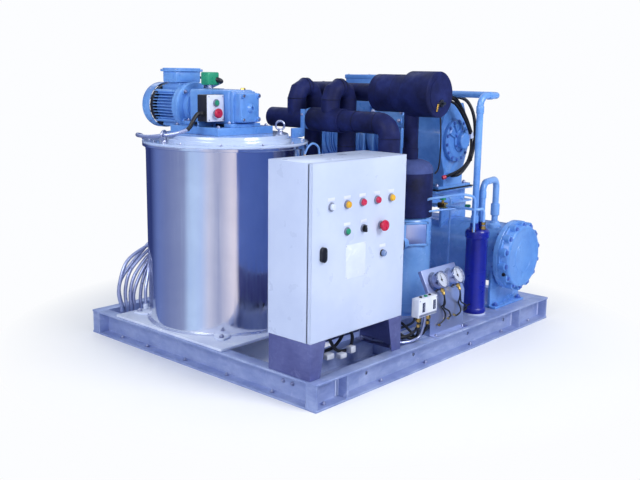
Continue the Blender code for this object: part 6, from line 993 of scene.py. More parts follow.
def make_separator():
    """Oil separator with its rolled ends, ports and brass fittings."""
    x, y = SEPARATOR_X, SEPARATOR_Y
    shell = [solid([(0.048, 0.0068), (0.0502, 0.011), (0.0507, 0.018), (0.0498, 0.025), (0.0472, 0.0285),
                 (0.0462, 0.03), (0.0462, 0.33), (0.0476, 0.332), (0.0506, 0.335), (0.051, 0.346),
                 (0.0506, 0.358), (0.0482, 0.364), (0.043, 0.3695), (0.025, 0.372)],
                 (x, y, DECK_TOP), UP, 72),
             band([(0.046, 0), (0.047, 0.001), (0.047, 0.003), (0.046, 0.004)], (x, y, 0.29), UP, 64)]
    base = band([(0.03, 0), (0.0512, 0), (0.0512, 0.006), (0.0505, 0.0068), (0.03, 0.0068)],
        (x, y, 0.1004), UP, 64)
    ports = []
    for port_x in (INLET_X, OUTLET_X):
        ports.append(solid([(0.0205, 0), (0.0205, 0.01), (0.018, 0.012), (0.018, 0.026), (0.0165, 0.027)],
                (port_x, y, 0.4713), UP, 36))
    brass = [solid([(0.0125, 0), (0.0125, 0.005), (0.0105, 0.006), (0.0105, 0.012), (0.0095, 0.013)],
                 (x, OIL_PORT_Y, 0.4722), UP, 6),
             disc(0.018, 0.012, (INLET_X, y, 0.486), UP, 6)]
    piece("separator_vessel", [of(ROYAL, shell), of(ROYAL, ports), of(PALE, base), of(BRASS, brass)],
        ("oil_separator",))


def sleeves(points, radius, length=0.03, lift=0.0022):
    """Brazed or flared sockets on a pipe at the given (point, way) places."""
    return [band([(radius - 0.001, 0), (radius + lift * 0.6, 0), (radius + lift, 0.002),
            (radius + lift, length - 0.002), (radius + lift * 0.6, length), (radius - 0.001, length)],
            point, way, 32) for point, way in points]


def make_hot_pipes():
    """Discharge line, hot gas line and oil line."""
    discharge = pipe([(INLET_X, SEPARATOR_Y, 0.4987), (INLET_X, SEPARATOR_Y, DISCHARGE_Z),
            (DISCHARGE_X, SEPARATOR_Y, DISCHARGE_Z), (DISCHARGE_X, -0.1623, DISCHARGE_Z)],
        HOT_RADIUS, HOT_BEND, 9)
    cuffs = sleeves([((INLET_X, SEPARATOR_Y, 0.499), UP), ((INLET_X, SEPARATOR_Y, 0.955), UP),
            ((0.352, SEPARATOR_Y, DISCHARGE_Z), ACROSS),
            ((DISCHARGE_X, -0.26, DISCHARGE_Z), BACK)], HOT_RADIUS)
    nut = disc(0.023, 0.017, (DISCHARGE_X, -0.183, DISCHARGE_Z), BACK, 6)
    piece("discharge_line", [of(SKY_BLUE, discharge, cuffs), of(BRASS, nut)], ("discharge_pipe",))
    hot = pipe([(OUTLET_X, SEPARATOR_Y, 0.4987), (OUTLET_X, SEPARATOR_Y, HOT_GAS_Z),
            (HOT_INLET_X, HOT_INLET_Y, HOT_GAS_Z), (HOT_INLET_X, HOT_INLET_Y, 0.4765)],
        HOT_RADIUS, HOT_BEND, 9)
    cuffs = sleeves([((OUTLET_X, SEPARATOR_Y, 0.499), UP),
            ((OUTLET_X, SEPARATOR_Y, 0.598), UP)], HOT_RADIUS)
    thick = sleeves([((HOT_INLET_X, HOT_INLET_Y, 0.502), UP)], HOT_RADIUS, 0.052, 0.0055)
    piece("hot_gas_line", [of(SKY_BLUE, hot, cuffs, thick)], ("hot_gas_pipe",))
    oil = pipe([(SEPARATOR_X, OIL_PORT_Y, 0.4857), (SEPARATOR_X, OIL_PORT_Y, OIL_Z),
            (OIL_X, OIL_PORT_Y, OIL_Z), (OIL_X, OIL_INLET_Y, OIL_Z), (OIL_X, OIL_INLET_Y, OIL_INLET_Z),
            (0.4346, OIL_INLET_Y, OIL_INLET_Z)], 0.006, 0.022, 7)
    nuts = [solid([(0.01, 0), (0.01, 0.011), (0.008, 0.013)],
                (0.4215, OIL_INLET_Y, OIL_INLET_Z), ACROSS, 6),
            disc(0.0095, 0.012, (SEPARATOR_X, OIL_PORT_Y, 0.49), UP, 6)]
    valve = [block((0.258, -0.42, 0.548), (0.282, -0.38, 0.572), 0.003),
             disc(0.006, 0.012, (OIL_X, -0.4, 0.5715), UP, 20)]
    grip = solid([(0.012, 0), (HOT_RADIUS, 0.002), (HOT_RADIUS, 0.007), (0.012, 0.009)],
        (OIL_X, -0.4, 0.583), UP, 10)
    piece("oil_line", [of(OIL_TUBE, oil), of(BRASS, nuts, valve), of(GREEN, grip)], ("oil_return_pipe",))


def make_condenser():
    """Condenser barrel with its flanges, welds, feet and bolts."""
    x, z = CONDENSER_X, CONDENSER_Z
    shell = [solid([(0.1518, 0), (0.153, 0.0012), (0.153, 0.0208), (0.1518, 0.022), (0.136, 0.0222),
            (0.135, 0.024), (0.135, 1.169), (0.136, 1.1708), (0.1518, 1.171), (0.153, 1.1722),
            (0.153, 1.1918), (0.1518, 1.193)], (x, -0.598, z), BACK, 112)]
    for y in (-0.5745, 0.5705):
        shell.append(ring((x, y, z), BACK, 0.1352, 0.003, 96, 8))
    for y in CONDENSER_FEET:
        arc = [(-0.125, -0.2295), (0.125, -0.2295), (0.125, -0.17)]
        arc += [(0.1352 * math.cos(a), 0.1352 * math.sin(a)) for a in (math.radians(-26 - 128 * k / 20)
                for k in range(21))]
        arc.append((-0.125, -0.17))
        shell.append(cut_plate(arc, (x, y + 0.006, z), ACROSS, UP, 0.012, 0.0012))
        shell.append(block((x - 0.125, y - 0.035, DECK_TOP), (x + 0.125, y + 0.035, 0.1103), 0.0015))
    socket = solid([(0.021, -0.03), (0.021, 0.018), (0.0195, 0.0205), (0.015, 0.021)],
        (HOT_INLET_X, HOT_INLET_Y, 0.4552), UP, 36)
    pad = solid([(0.032, -0.012), (0.03, 0.004), (0.022, 0.01)], (HOT_INLET_X, HOT_INLET_Y, 0.457), UP, 36)
    nuts = copies(hex_bolt(0.012), [((x + dx, y - 0.02, 0.1103), UP) for dx in (-0.1, 0.1)
            for y in CONDENSER_FEET])
    nuts += copies(hex_bolt(0.008), around((x, -0.576, z), BACK, 0.144, 12, 15))
    nuts += copies(hex_bolt(0.008), around((x, 0.573, z), FRONTWARD, 0.144, 12, 15))
    piece("condenser_barrel", [of(SKY_BLUE, shell, socket, pad), of(BOLT_BLUE, nuts)], ("condenser_shell",))


def make_front_cap():
    """Front cover of the condenser with its bolt lobes."""
    x, z = CONDENSER_X, CONDENSER_Z
    cap = [solid([(0.15, 0), (0.151, 0.001), (0.151, 0.01), (0.149, 0.012), (0.14, 0.0125), (0.1385, 0.015),
            (0.1375, 0.038), (0.1355, 0.042), (0.131, 0.0445), (0.122, 0.045), (0.119, 0.0438)],
            (x, FRONT_CAP_Y, z), FRONTWARD, 96)]
    lobe = solid([(0.0185, 0.004), (0.018, 0.033), (0.0165, 0.035)], (0, 0, 0), UP, 28)
    places = around((x, FRONT_CAP_Y, z), FRONTWARD, 0.1375, 14, 12)
    cap += copies(lobe, [place[:2] for place in places])
    heads = copies(hex_bolt(0.01, stub=False), [(p + FRONTWARD * 0.035, w, a) for p, w, a in places])
    cap.append(band([(0.07, 0.0436), (0.0712, 0.0446), (0.0724, 0.0436)], (x, FRONT_CAP_Y, z),
            FRONTWARD, 72))
    plug = solid([(0.0085, 0), (0.008, 0.006)], (x - 0.124, -0.62, z - 0.066), LEFTWARD, 6)
    piece("condenser_front_cover", [of(CASTING_BLUE, cap), of(BOLT_BLUE, heads), of(BLACK, plug)],
        ("front_end_cap",))


def make_rear_cap():
    """Rear cover of the condenser with two water stubs."""
    x, z = CONDENSER_X, CONDENSER_Z
    cap = [turned([(0, 0), (0.149, 0), (0.15, 0.001), (0.15, 0.0165), (0.1485, 0.018), (0.1195, 0.0182),
            (0.1175, 0.02), (0.112, 0.03), (0.106, 0.0328), (0, 0.033)], (x, REAR_CAP_Y, z), BACK, 96)]
    lobe = solid([(0.015, 0.004), (0.015, 0.019), (0.013, 0.0206)], (0, 0, 0), UP, 28)
    cap += copies(lobe, [place[:2] for place in around((x, REAR_CAP_Y, z), BACK, 0.1345, 12, 15)])
    for dz in (-0.062, 0.062):
        cap.append(rod((x + 0.06, 0.612, z + dz), (0.765, 0.612, z + dz), 0.016, steps=36, edge=0.001))
        cap.append(band([(0.015, 0), (0.0165, 0), (0.0165, 0.034), (0.015, 0.034)],
                (0.73, 0.612, z + dz), ACROSS, 36))
    bolts = copies(hex_bolt(0.0075, stub=False), around((x, REAR_CAP_Y, z), BACK, 0.1345, 12, 15, 0.02))
    piece("condenser_rear_cover", [of(CASTING_BLUE, cap), of(BOLT_BLUE, bolts)], ("rear_end_cap",))


def make_accumulator():
    """Accumulator with its weld beads, side port and framed plate."""
    x, y = ACCUMULATOR_X, ACCUMULATOR_Y
    shell = [solid([(0.082, 0), (0.09, 0.002), (0.098, 0.012), (0.1, 0.03), (0.1, 0.39), (0.0985, 0.404),
                 (0.093, 0.414), (0.086, 0.419), (0.085, HEADER_FOOT_Z), (0.085, 0.599)],
                 (x, y, DECK_TOP), UP, 96),
             *[band([(0.0998, 0), (0.1008, 0.0012), (0.1008, 0.004), (0.0998, 0.0052)], (x, y, z), UP, 96)
                 for z in (0.15, 0.48)],
             band([(0.08, 0), (0.096, 0), (0.096, 0.004), (0.08, 0.004)], (x, y, 0.1004), UP, 64),
             rod((ACCUMULATOR_X, HEADER_DROP_Y, HEADER_FOOT_Z), (0.0203, HEADER_DROP_Y, HEADER_FOOT_Z),
                 0.03, steps=40, edge=0.001)]
    turn = math.radians(PLATE_TURN)
    seat = Vector((math.sin(turn), -math.cos(turn), 0))
    side = Vector((math.cos(turn), math.sin(turn), 0))
    face = Vector((x, y, 0.455))
    plate = cut_plate([(-0.044, -0.04), (0.044, -0.04), (0.044, 0.04), (-0.044, 0.04)], face + seat * 0.1,
        side, UP, 0.0045, 0.0008)
    rim = [cut_plate([(-0.056, -0.05), (0.056, -0.05), (0.056, 0.05), (-0.056, 0.05)], face + seat * 0.08,
            side, UP, 0.0225, 0.003)]
    for a, b, c, d in ((-0.056, -0.05, 0.056, -0.041), (-0.056, 0.041, 0.056, 0.05),
            (-0.056, -0.05, -0.045, 0.05), (0.045, -0.05, 0.056, 0.05)):
        rim.append(cut_plate([(a, b), (c, b), (c, d), (a, d)], face + seat * 0.095, side, UP,
                0.012, 0.0014))
    piece("accumulator_vessel", [of(SKY_BLUE, shell, rim), of(SATIN, plate)], ("accumulator_shell",))


def make_accumulator_wrap():
    """Foam around the accumulator's upper half, with its domed cap."""
    x, y = ACCUMULATOR_X, ACCUMULATOR_Y
    wrap = [band([(0.086, 0), (0.099, 0), (0.1, 0.001), (0.1, 0.183), (0.099, 0.1845), (0.086, 0.1845)],
                (x, y, 0.5204), UP, 96),
            block((x + 0.0985, y - 0.002, 0.5215), (x + 0.1012, y + 0.002, 0.704), 0.0006)]
    dome = [solid([(0.0985, -0.004), (0.0995, 0.002), (0.0985, 0.016), (0.093, 0.03), (0.08, 0.043),
            (0.058, 0.052), (0.0345, 0.055)], (x, y, 0.705), UP, 96)]
    piece("accumulator_wrap", [of(FOAM, wrap), of(FOAM_CAP, dome)], ("accumulator_jacket",))


def make_suction_filter():
    """Wrapped suction filter with its riser and clip."""
    x, z = ACCUMULATOR_X, SUCTION_Z
    body = [solid([(0.09, 0), (0.093, 0.003), (0.093, 0.135), (0.0915, 0.138), (0.08, 0.1385),
            (0.0785, 0.14), (0.0785, 0.3125), (0.077, 0.314)], (x, -0.445, z), BACK, 96)]
    body.append(disc(0.07, 0.0016, (x, -0.4452, z), FRONTWARD, 64))
    seams = [ring((x, y, z), BACK, r, 0.0012, 88, 8) for y, r in ((-0.378, 0.0915), (-0.245, 0.0776),
            (-0.165, 0.0776))]
    riser = [solid([(0.0325, 0), (0.0333, 0.001), (0.0333, 0.044), (0.0318, 0.0452), (0.031, 0.0454),
            (0.031, 0.21)], (x, -0.307, 0.7603), UP, 56)]
    clip = [block((0.132, -0.453, 0.988), (0.186, -0.444, 1.0), 0.003),
            block((0.148, -0.453, 0.98), (0.17, -0.444, 1.01), 0.003)]
    stub = rod((0.134, -0.449, 0.992), (0.126, -0.449, 0.962), 0.0045, steps=20, edge=0.001)
    piece("suction_filter_wrap", [of(FOAM, body, riser), of(SEAM, seams), of(BLACK, clip), of(BRASS, stub)],
        ("suction_filter",))


def make_suction_pipe():
    """Wrapped pipe from the filter to the compressor."""
    main = pipe([(ACCUMULATOR_X, -0.1306, SUCTION_Z), (ACCUMULATOR_X, SUCTION_INLET_Y, SUCTION_Z),
            (COMPRESSOR_X, SUCTION_INLET_Y, SUCTION_Z), (COMPRESSOR_X, SUCTION_INLET_Y, 0.9607)],
        0.0385, 0.05, 13)
    seams = [ring(c, w, 0.0387, 0.0011, 64, 8) for c, w in (((ACCUMULATOR_X, 0.05, SUCTION_Z), BACK),
            ((ACCUMULATOR_X, 0.305, SUCTION_Z), BACK), ((0.205, SUCTION_INLET_Y, SUCTION_Z), ACROSS),
            ((0.34, SUCTION_INLET_Y, SUCTION_Z), ACROSS), ((0.455, SUCTION_INLET_Y, SUCTION_Z), ACROSS),
            ((COMPRESSOR_X, SUCTION_INLET_Y, 0.975), UP))]
    piece("suction_pipe_wrap", [of(FOAM, main), of(SEAM, seams)], ("suction_pipe",))


def make_suction_header():
    """Wrapped header, its drop to the accumulator and two arches to the drum."""
    header = [solid([(0.041, 0), (0.0425, 0.0015), (0.0425, 0.245), (0.041, 0.2465)],
                  (HEADER_X, 0.0695, HEADER_Z), BACK, 72),
              solid([(0.0485, 0), (0.05, 0.0015), (0.05, 0.175), (0.0485, 0.1765)],
                  (HEADER_X, -0.106, HEADER_Z), BACK, 72),
              pipe([(HEADER_X, -0.102, HEADER_Z), (HEADER_X, HEADER_DROP_Y, HEADER_Z),
                  (HEADER_X, HEADER_DROP_Y, HEADER_FOOT_Z), (0.0197, HEADER_DROP_Y, HEADER_FOOT_Z)],
                  0.044, 0.056, 13)]
    seams = [ring(c, w, 0.0442, 0.0012, 72, 8) for c, w in (((HEADER_X, -0.18, HEADER_Z), BACK),
            ((HEADER_X, -0.288, HEADER_Z), BACK), ((HEADER_X, HEADER_DROP_Y, 0.856), UP),
            ((HEADER_X, HEADER_DROP_Y, 0.66), UP), ((HEADER_X, HEADER_DROP_Y, 0.48), UP))]
    for y in NOZZLE_YS:
        header.append(drawn(bent([(HEADER_X, y, 0.905), (HEADER_X, y, ARCH_Z), (ARCH_X, y, ARCH_Z),
                (ARCH_X, y, NOZZLE_Z), (-0.0896, y, NOZZLE_Z)], 0.052, 2), 0.04, sides=13))
        seams += [ring(c, w, 0.0402, 0.0011, 64, 8) for c, w in (((HEADER_X, y, 1.0), UP),
                ((-0.005, y, ARCH_Z), ACROSS), ((0.015, y, ARCH_Z), ACROSS), ((ARCH_X, y, 1.0), UP),
                ((ARCH_X, y, 0.8), UP), ((ARCH_X, y, 0.597), UP), ((0.012, y, NOZZLE_Z), ACROSS))]
    piece("suction_header_wrap", [of(FOAM, header), of(SEAM, seams)], ("suction_line",),
        angle=21)


def make_header_clamp():
    """Bracket that holds the header."""
    clamp = of(SKY_BLUE, dressed("header_bracket", 0.0008))
    bolts = of(ZINC, copies(hex_bolt(0.0055), [((-0.105, 0.0815, z), LEFTWARD) for z in (0.86, 0.935)]))
    piece("header_clamp", [clamp, bolts], ("header_bracket",))


# Compressor
def make_stand():
    """Stand of the compressor with its nuts."""
    stand = of(SKY_BLUE, dressed("compressor_stand", 0.0012))
    nuts = of(ZINC,
        copies(hex_bolt(0.0085), [((x, y, 0.5965), DOWN) for x in STAND_BOLT_XS for y in STAND_BOLT_YS]))
    piece("compressor_cradle", [stand, nuts], ("compressor_stand",))


def make_compressor():
    """Crankcase, ribbed motor end, valves and bolts."""
    case = of(CASTING_BLUE, dressed("compressor_body", 0.003, 2, 40))
    stator = [turned([(0, -0.004), (0.13, -0.004), (0.132, -0.002), (0.132, 0.278), (0.1385, 0.28),
            (0.14, 0.2815), (0.14, 0.299), (0.137, 0.302), (0.125, 0.3046), (0.101, 0.3052), (0.099, 0.311),
            (0.096, 0.313), (0.032, 0.315), (0.03, 0.318), (0, 0.319)],
            (COMPRESSOR_X, 0.13, COMPRESSOR_Z), BACK, 112)]
    ribs = [band([(0.13, 0), (0.14, 0.0006), (0.1405, 0.003), (0.14, 0.0054), (0.13, 0.006)],
            (COMPRESSOR_X, y, COMPRESSOR_Z), BACK, 112) for y in (0.16, 0.1865, 0.213, 0.2395, 0.266,
            0.2925, 0.319, 0.3455, 0.372)]
    bell = copies(hex_bolt(0.008), around((COMPRESSOR_X, 0.434, COMPRESSOR_Z), BACK, 0.128, 12, 15))
    valve = [solid([(0.045, -0.03), (0.045, 0.019), (0.0435, 0.0203)],
                 (COMPRESSOR_X, SUCTION_INLET_Y, 0.9402), UP, 56),
             block((0.4165, -0.1635, 1.01), (0.4795, -0.1005, 1.056), 0.006)]
    bolts = copies(hex_bolt(0.0075), [((x, y, 1.0553), UP) for x in (0.43, 0.466) for y in (-0.15, -0.114)])
    valve += [block((0.425, 0.135, 0.9), (0.595, 0.3, 0.9855), 0.012, 3),
              block((0.38, -0.12, 0.87), (0.42, 0.11, 0.93), 0.012, 3)]
    valve += [block((0.37, y - 0.004, 0.7), (0.42, y + 0.004, 0.87), 0.003)
        for y in (-0.09, -0.035, 0.02, 0.075, 0.13)]
    feet = copies(hex_bolt(0.01), [((x, y, 0.6163), UP) for x in STAND_BOLT_XS for y in STAND_BOLT_YS])
    piece("compressor_case", [case, of(CASTING_BLUE, stator, ribs, valve), of(ZINC, bell, bolts, feet)],
        ("compressor_body",))


def make_cylinder_heads():
    """Two sloped heads with their bolts."""
    for side in ("left", "right"):
        low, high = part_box(side + "_cylinder_head")
        head = dressed(side + "_cylinder_head", 0.005, 3, 40)
        middle = (low + high) / 2
        sign = -1 if side == "left" else 1
        slope = math.atan2(0.9853 - 0.8603, 0.06)
        outward = Vector((sign * math.sin(slope), 0, math.cos(slope)))
        along = Vector((sign * math.cos(slope), 0, -math.sin(slope)))
        top = max(((v.co - middle).dot(outward) for v in head.data.vertices))
        places = []
        for u in (-0.04, 0.0, 0.04):
            for v in (-0.082, -0.028, 0.028, 0.082):
                if u or abs(v) > 0.05:
                    places.append((middle + outward * top + along * u + BACK * v, outward))
        bolts = copies(hex_bolt(0.008, stub=False), places)
        piece(side + "_head_cover", [of(CASTING_BLUE, head), of(ZINC, bolts)], (side + "_cylinder_head",))


def make_pump_cover():
    """End cover with the oil pump and two rings of bolts."""
    centre = Vector((COMPRESSOR_X, -0.2883, 0.8183))
    cover = [turned([(0, 0), (0.0925, 0), (0.094, 0.0015), (0.094, 0.015), (0.092, 0.0175), (0.078, 0.0185),
                 (0.074, 0.0215), (0, 0.022)], centre, FRONTWARD, 88),
             turned([(0, 0.016), (0.052, 0.016), (0.05, 0.027), (0.037, 0.029), (0.036, 0.049),
                 (0.033, 0.0517), (0, 0.052)], centre + Vector((0.012, 0, 0)), FRONTWARD, 64)]
    rib = block((0.038, -0.003, 0.018), (0.08, 0.003, 0.03), 0.0016)
    cover += copies(rib, [(centre, FRONTWARD, math.tau * k / 10 + 0.2) for k in range(5)])
    bolts = copies(hex_bolt(0.0078, stub=False), around(centre, FRONTWARD, 0.085, 14, 10, 0.0168))
    bolts += copies(hex_bolt(0.006, stub=False), around(centre + Vector((0.012, 0, 0)), FRONTWARD, 0.044,
            6, 30, 0.0278))
    piece("oil_pump_cover", [of(CASTING_BLUE, cover), of(BOLT_BLUE, bolts)], ("compressor_end_cover",))


def make_compressor_box():
    """Terminal box of the compressor."""
    box = [block((0.42, 0.065, 0.9857), (0.6, 0.29, 1.094), 0.006, 3),
           block((0.4165, 0.0615, 1.083), (0.6035, 0.2935, 1.1036), 0.005, 3)]
    screws = copies(screw(0.005, 0.0022), [((x, y, 1.1034), UP) for x in (0.431, 0.589)
            for y in (0.076, 0.279)])
    gland = solid([(0.012, -0.002), (0.012, 0.01), (0.01, 0.012), (0.01, 0.023), (0.0085, 0.0249)],
        (0.56, 0.065, 1.0136), FRONTWARD, 6)
    piece("compressor_connection_box", [of(CASTING_BLUE, box), of(ZINC, screws), of(BLACK, gland)],
        ("compressor_terminal_box",))


# Skid and cables
def make_skid():
    """Channel frame with its bolts and weld beads, and the drum's base plate; the beads' pale steel is
    partly painted highlight on the stiffener edges.
    """
    for node in ("front_rail", "rear_rail", "left_rail", "right_rail", "middle_member", "left_member",
            "right_frame"):
        parts = of(GALVANISED, dressed(node, 0.001))
        if node == "front_rail":
            parts += of(ZINC,
                copies(hex_bolt(0.0085),
                    [((x, -0.625, 0.0081), UP) for x in (-0.735, -0.42, -0.14, 0.18, 0.43, 0.67)]))
            # Weld beads on the stiffeners, in pale plate steel: real welds, and painted highlights along the
            # stiffener edges.
            beads = [drawn([(x, -0.6065, 0.01), (x, -0.6065, 0.09)], 0.0034)
                for x in (-0.7855, -0.653, -0.6395, 0.544, 0.557, 0.7865)]
            parts += of(PLATE_STEEL, beads)
        if node == "left_rail":
            parts += of(ZINC,
                copies(hex_bolt(0.0085),
                    [((-0.775, y, 0.0081), UP) for y in (-0.42, -0.18, 0.06, 0.3, 0.47)]))
            parts += of(ZINC,
                copies(hex_bolt(0.0075), [((-0.756, y, 0.055), LEFTWARD) for y in (-0.5, -0.455)]))
        piece(node + "_steel", parts, (node,))
    plate = of(PLATE_STEEL, dressed("drum_base_plate", 0.001))
    piece("drum_bed", [plate], ("drum_base_plate",))


def make_cables():
    """The three leads along the routes of the CAD."""
    control = smooth_way([(-0.6186, 0.14, 0.9477), (-0.6305, 0.14, 0.9477), (-0.652, 0.14, 0.925),
            (-0.672, 0.145, 0.893), (-0.705, 0.17, 0.876), (-0.74, 0.22, 0.866), (-0.755, 0.29, 0.858),
            (-0.742, 0.37, 0.857), (-0.7, 0.43, 0.856), (-0.64, 0.478, 0.84), (-0.605, 0.497, 0.78),
            (-0.598, 0.5, 0.68), (-0.598, 0.5, 0.5), (-0.62, 0.485, 0.3), (-0.655, 0.465, 0.2),
            (-0.66, 0.46, 0.1353)])
    parts = of(CABLE, drawn(control[:20], 0.008)) + of(CONDUIT, drawn(control[19:], 0.0072))
    piece("control_lead", parts, ("control_cable",))
    supply = hose([(-0.5, 0.5179, 0.42), (-0.5, 0.5297, 0.42), (-0.5, 0.54, 0.418), (-0.599, 0.545, 0.355),
            (-0.725, 0.54, 0.24), (-0.734, 0.535, 0.15), (-0.69, 0.54, 0.08), (-0.57, 0.54, 0.057),
            (-0.35, 0.54, 0.055), (-0.235, 0.54, 0.055), (-0.2232, 0.54, 0.055)], 0.0075)
    piece("supply_lead", [of(CONDUIT, supply)], ("supply_cable",))
    power = hose([(0.56, 0.0398, 1.0136), (0.56, 0.028, 1.0136), (0.562, -0.03, 1.016), (0.566, -0.2, 1.01),
            (0.57, -0.275, 1.007), (0.576, -0.314, 0.982), (0.592, -0.334, 0.92), (0.6, -0.338, 0.83),
            (0.578, -0.338, 0.745), (0.52, -0.345, 0.7), (0.47, -0.347, 0.674), (0.455, -0.325, 0.6653),
            (0.455, -0.3132, 0.6653)], 0.0075)
    piece("compressor_lead", [of(CABLE, power)], ("compressor_cable",))


def make_sensor_conduits():
    """Box behind the drum and the five conduits that leave it."""
    box = [block((-0.58, 0.496, 0.25), (-0.488, 0.54, 0.39), 0.004, 3),
           block((-0.56, 0.47, 0.29), (-0.515, 0.5, 0.35), 0.002)]
    lines, glands = [], []
    for start, knots, foot in ((0.372, ((-0.707, 0.315), (-0.751, 0.201), (-0.739, 0.12)), -0.738),
            (0.348, ((-0.688, 0.277), (-0.718, 0.195), (-0.714, 0.115)), -0.712),
            (0.324, ((-0.668, 0.252), (-0.693, 0.182), (-0.693, 0.111)), -0.692),
            (0.3, ((-0.653, 0.227), (-0.677, 0.166), (-0.673, 0.107)), -0.672),
            (0.276, ((-0.632, 0.208), (-0.642, 0.145), (-0.64, 0.109)), -0.64)):
        way = [(-0.58, 0.52, start), (-0.605, 0.52, start - 0.003)] + [(kx, 0.522, kz) for kx, kz in knots]
        lines.append(hose(way + [(foot, 0.532, 0.076), (foot, 0.562, 0.056),
                (foot, 0.5965, 0.055)], 0.0074))
        for place, facing in (((-0.5795, 0.52, start), LEFTWARD), ((foot, 0.5965, 0.055), FRONTWARD)):
            glands.append(solid([(0.01, 0), (0.01, 0.006), (0.008, 0.008), (0.008, 0.014)],
                    place, facing, 6))
    piece("sensor_conduits", [of(CONDUIT, lines), of(PALE, box), of(ZINC, glands)])


def make_feed_tube():
    """Clear tube that feeds water into the drum."""
    feed = hose([(-0.229, -0.05, 0.778), (-0.222, -0.05, 0.79), (-0.2066, -0.05, 0.8114),
            (-0.1765, -0.05, 0.8241), (-0.1455, -0.05, 0.808), (-0.14, -0.052, 0.78),
            (-0.142, -0.062, 0.69), (-0.15, -0.08, 0.62), (-0.19, -0.09, 0.585),
            (-0.256, -0.0865, 0.58)], 0.0046)
    nuts = [rod((-0.233, -0.05, 0.766), (-0.227, -0.05, 0.78), 0.0085, steps=6),
            rod((-0.268, -0.086, 0.5795), (-0.248, -0.087, 0.5802), 0.0085, steps=6)]
    piece("water_feed_tube", [of(OIL_TUBE, feed), of(BRASS, nuts)])


def make_capillaries():
    """Capillaries from the gauges' stems."""
    capillaries = [[(LOW_GAUGE_X, -0.627, 0.266), (-0.033, -0.63, 0.245), (-0.032, -0.626, 0.22),
                       (-0.03, -0.616, 0.21), (-0.012, -0.621, 0.185), (-0.0134, -0.623, 0.162),
                       (-0.03, -0.621, 0.15), (-0.048, -0.615, 0.14)],
                   [(LOW_GAUGE_X, -0.627, 0.266), (-0.031, -0.63, 0.245), (-0.024, -0.628, 0.226),
                       (-0.016, -0.618, 0.205), (0.015, -0.622, 0.185), (0.025, -0.623, 0.164),
                       (0.01, -0.622, 0.156)],
                   [(HIGH_GAUGE_X, -0.627, 0.266), (0.079, -0.63, 0.245), (0.081, -0.626, 0.224),
                       (0.09, -0.617, 0.206), (0.1015, -0.621, 0.178), (0.095, -0.623, 0.164),
                       (0.066, -0.623, 0.156), (0.054, -0.622, 0.162)],
                   [(HIGH_GAUGE_X, -0.627, 0.266), (0.08, -0.63, 0.245), (0.086, -0.628, 0.224),
                       (0.108, -0.619, 0.204), (0.132, -0.623, 0.19), (0.148, -0.619, 0.176),
                       (0.146, -0.611, 0.16), (0.16, -0.58, 0.15), (0.2, -0.564, 0.148),
                       (0.274, -0.556, 0.15)]]
    small = [hose(way, 0.0032) for way in capillaries]
    ends = [disc(0.0046, 0.01, p, BACK, 6) for p in ((-0.048, -0.625, 0.14), (0.01, -0.628, 0.156),
            (0.054, -0.628, 0.162))]
    piece("gauge_capillaries", [of(CABLE, small), of(BRASS, ends)])


def make_switch_hoses():
    """Hoses and leads of the pressure switch."""
    loops = [[(LOW_PORT_X, PORT_Y, 0.188), (-0.203, -0.627, 0.17), (-0.208, -0.615, 0.148),
                 (-0.23, -0.595, 0.13), (-0.262, -0.57, 0.124), (-0.272, -0.54, 0.118),
                 (-0.25, -0.515, 0.112), (-0.2, -0.496, 0.108), (-0.12, -0.475, 0.108), (0.0, -0.46, 0.108),
                 (0.072, -0.415, 0.13)],
             [(HIGH_PORT_X, PORT_Y, 0.188), (-0.139, -0.627, 0.168), (-0.142, -0.62, 0.14),
                 (-0.16, -0.605, 0.118), (-0.2, -0.59, 0.113), (-0.24, -0.565, 0.14), (-0.23, -0.54, 0.17),
                 (-0.19, -0.54, 0.162), (-0.17, -0.57, 0.13), (-0.176, -0.6, 0.113), (-0.13, -0.58, 0.108),
                 (-0.07, -0.55, 0.108), (0.1, -0.53, 0.108), (0.274, -0.54, 0.128)],
             [(-0.188, -0.627, 0.206), (-0.186, -0.624, 0.18), (-0.182, -0.616, 0.15),
                 (-0.178, -0.608, 0.126), (-0.164, -0.586, 0.112), (-0.22, -0.55, 0.11),
                 (-0.274, -0.52, 0.13), (-0.27, -0.49, 0.166), (-0.23, -0.48, 0.15), (-0.2, -0.46, 0.112)]]
    sheath = of(CABLE, [hose(way, 0.0052) for way in loops])
    grey = of(CONDUIT, hose([(-0.16, -0.627, 0.206), (-0.159, -0.625, 0.18), (-0.162, -0.618, 0.14),
            (-0.176, -0.612, 0.116), (-0.22, -0.606, 0.109), (-0.266, -0.58, 0.108), (-0.29, -0.54, 0.108),
            (-0.3, -0.5, 0.108), (-0.3, -0.43, 0.108)], 0.0056))
    nuts = of(BRASS, [disc(0.0078, 0.011, (x, PORT_Y, 0.178), DOWN, 6) for x in (LOW_PORT_X, HIGH_PORT_X)])
    piece("switch_hoses", [sheath, grey, nuts])


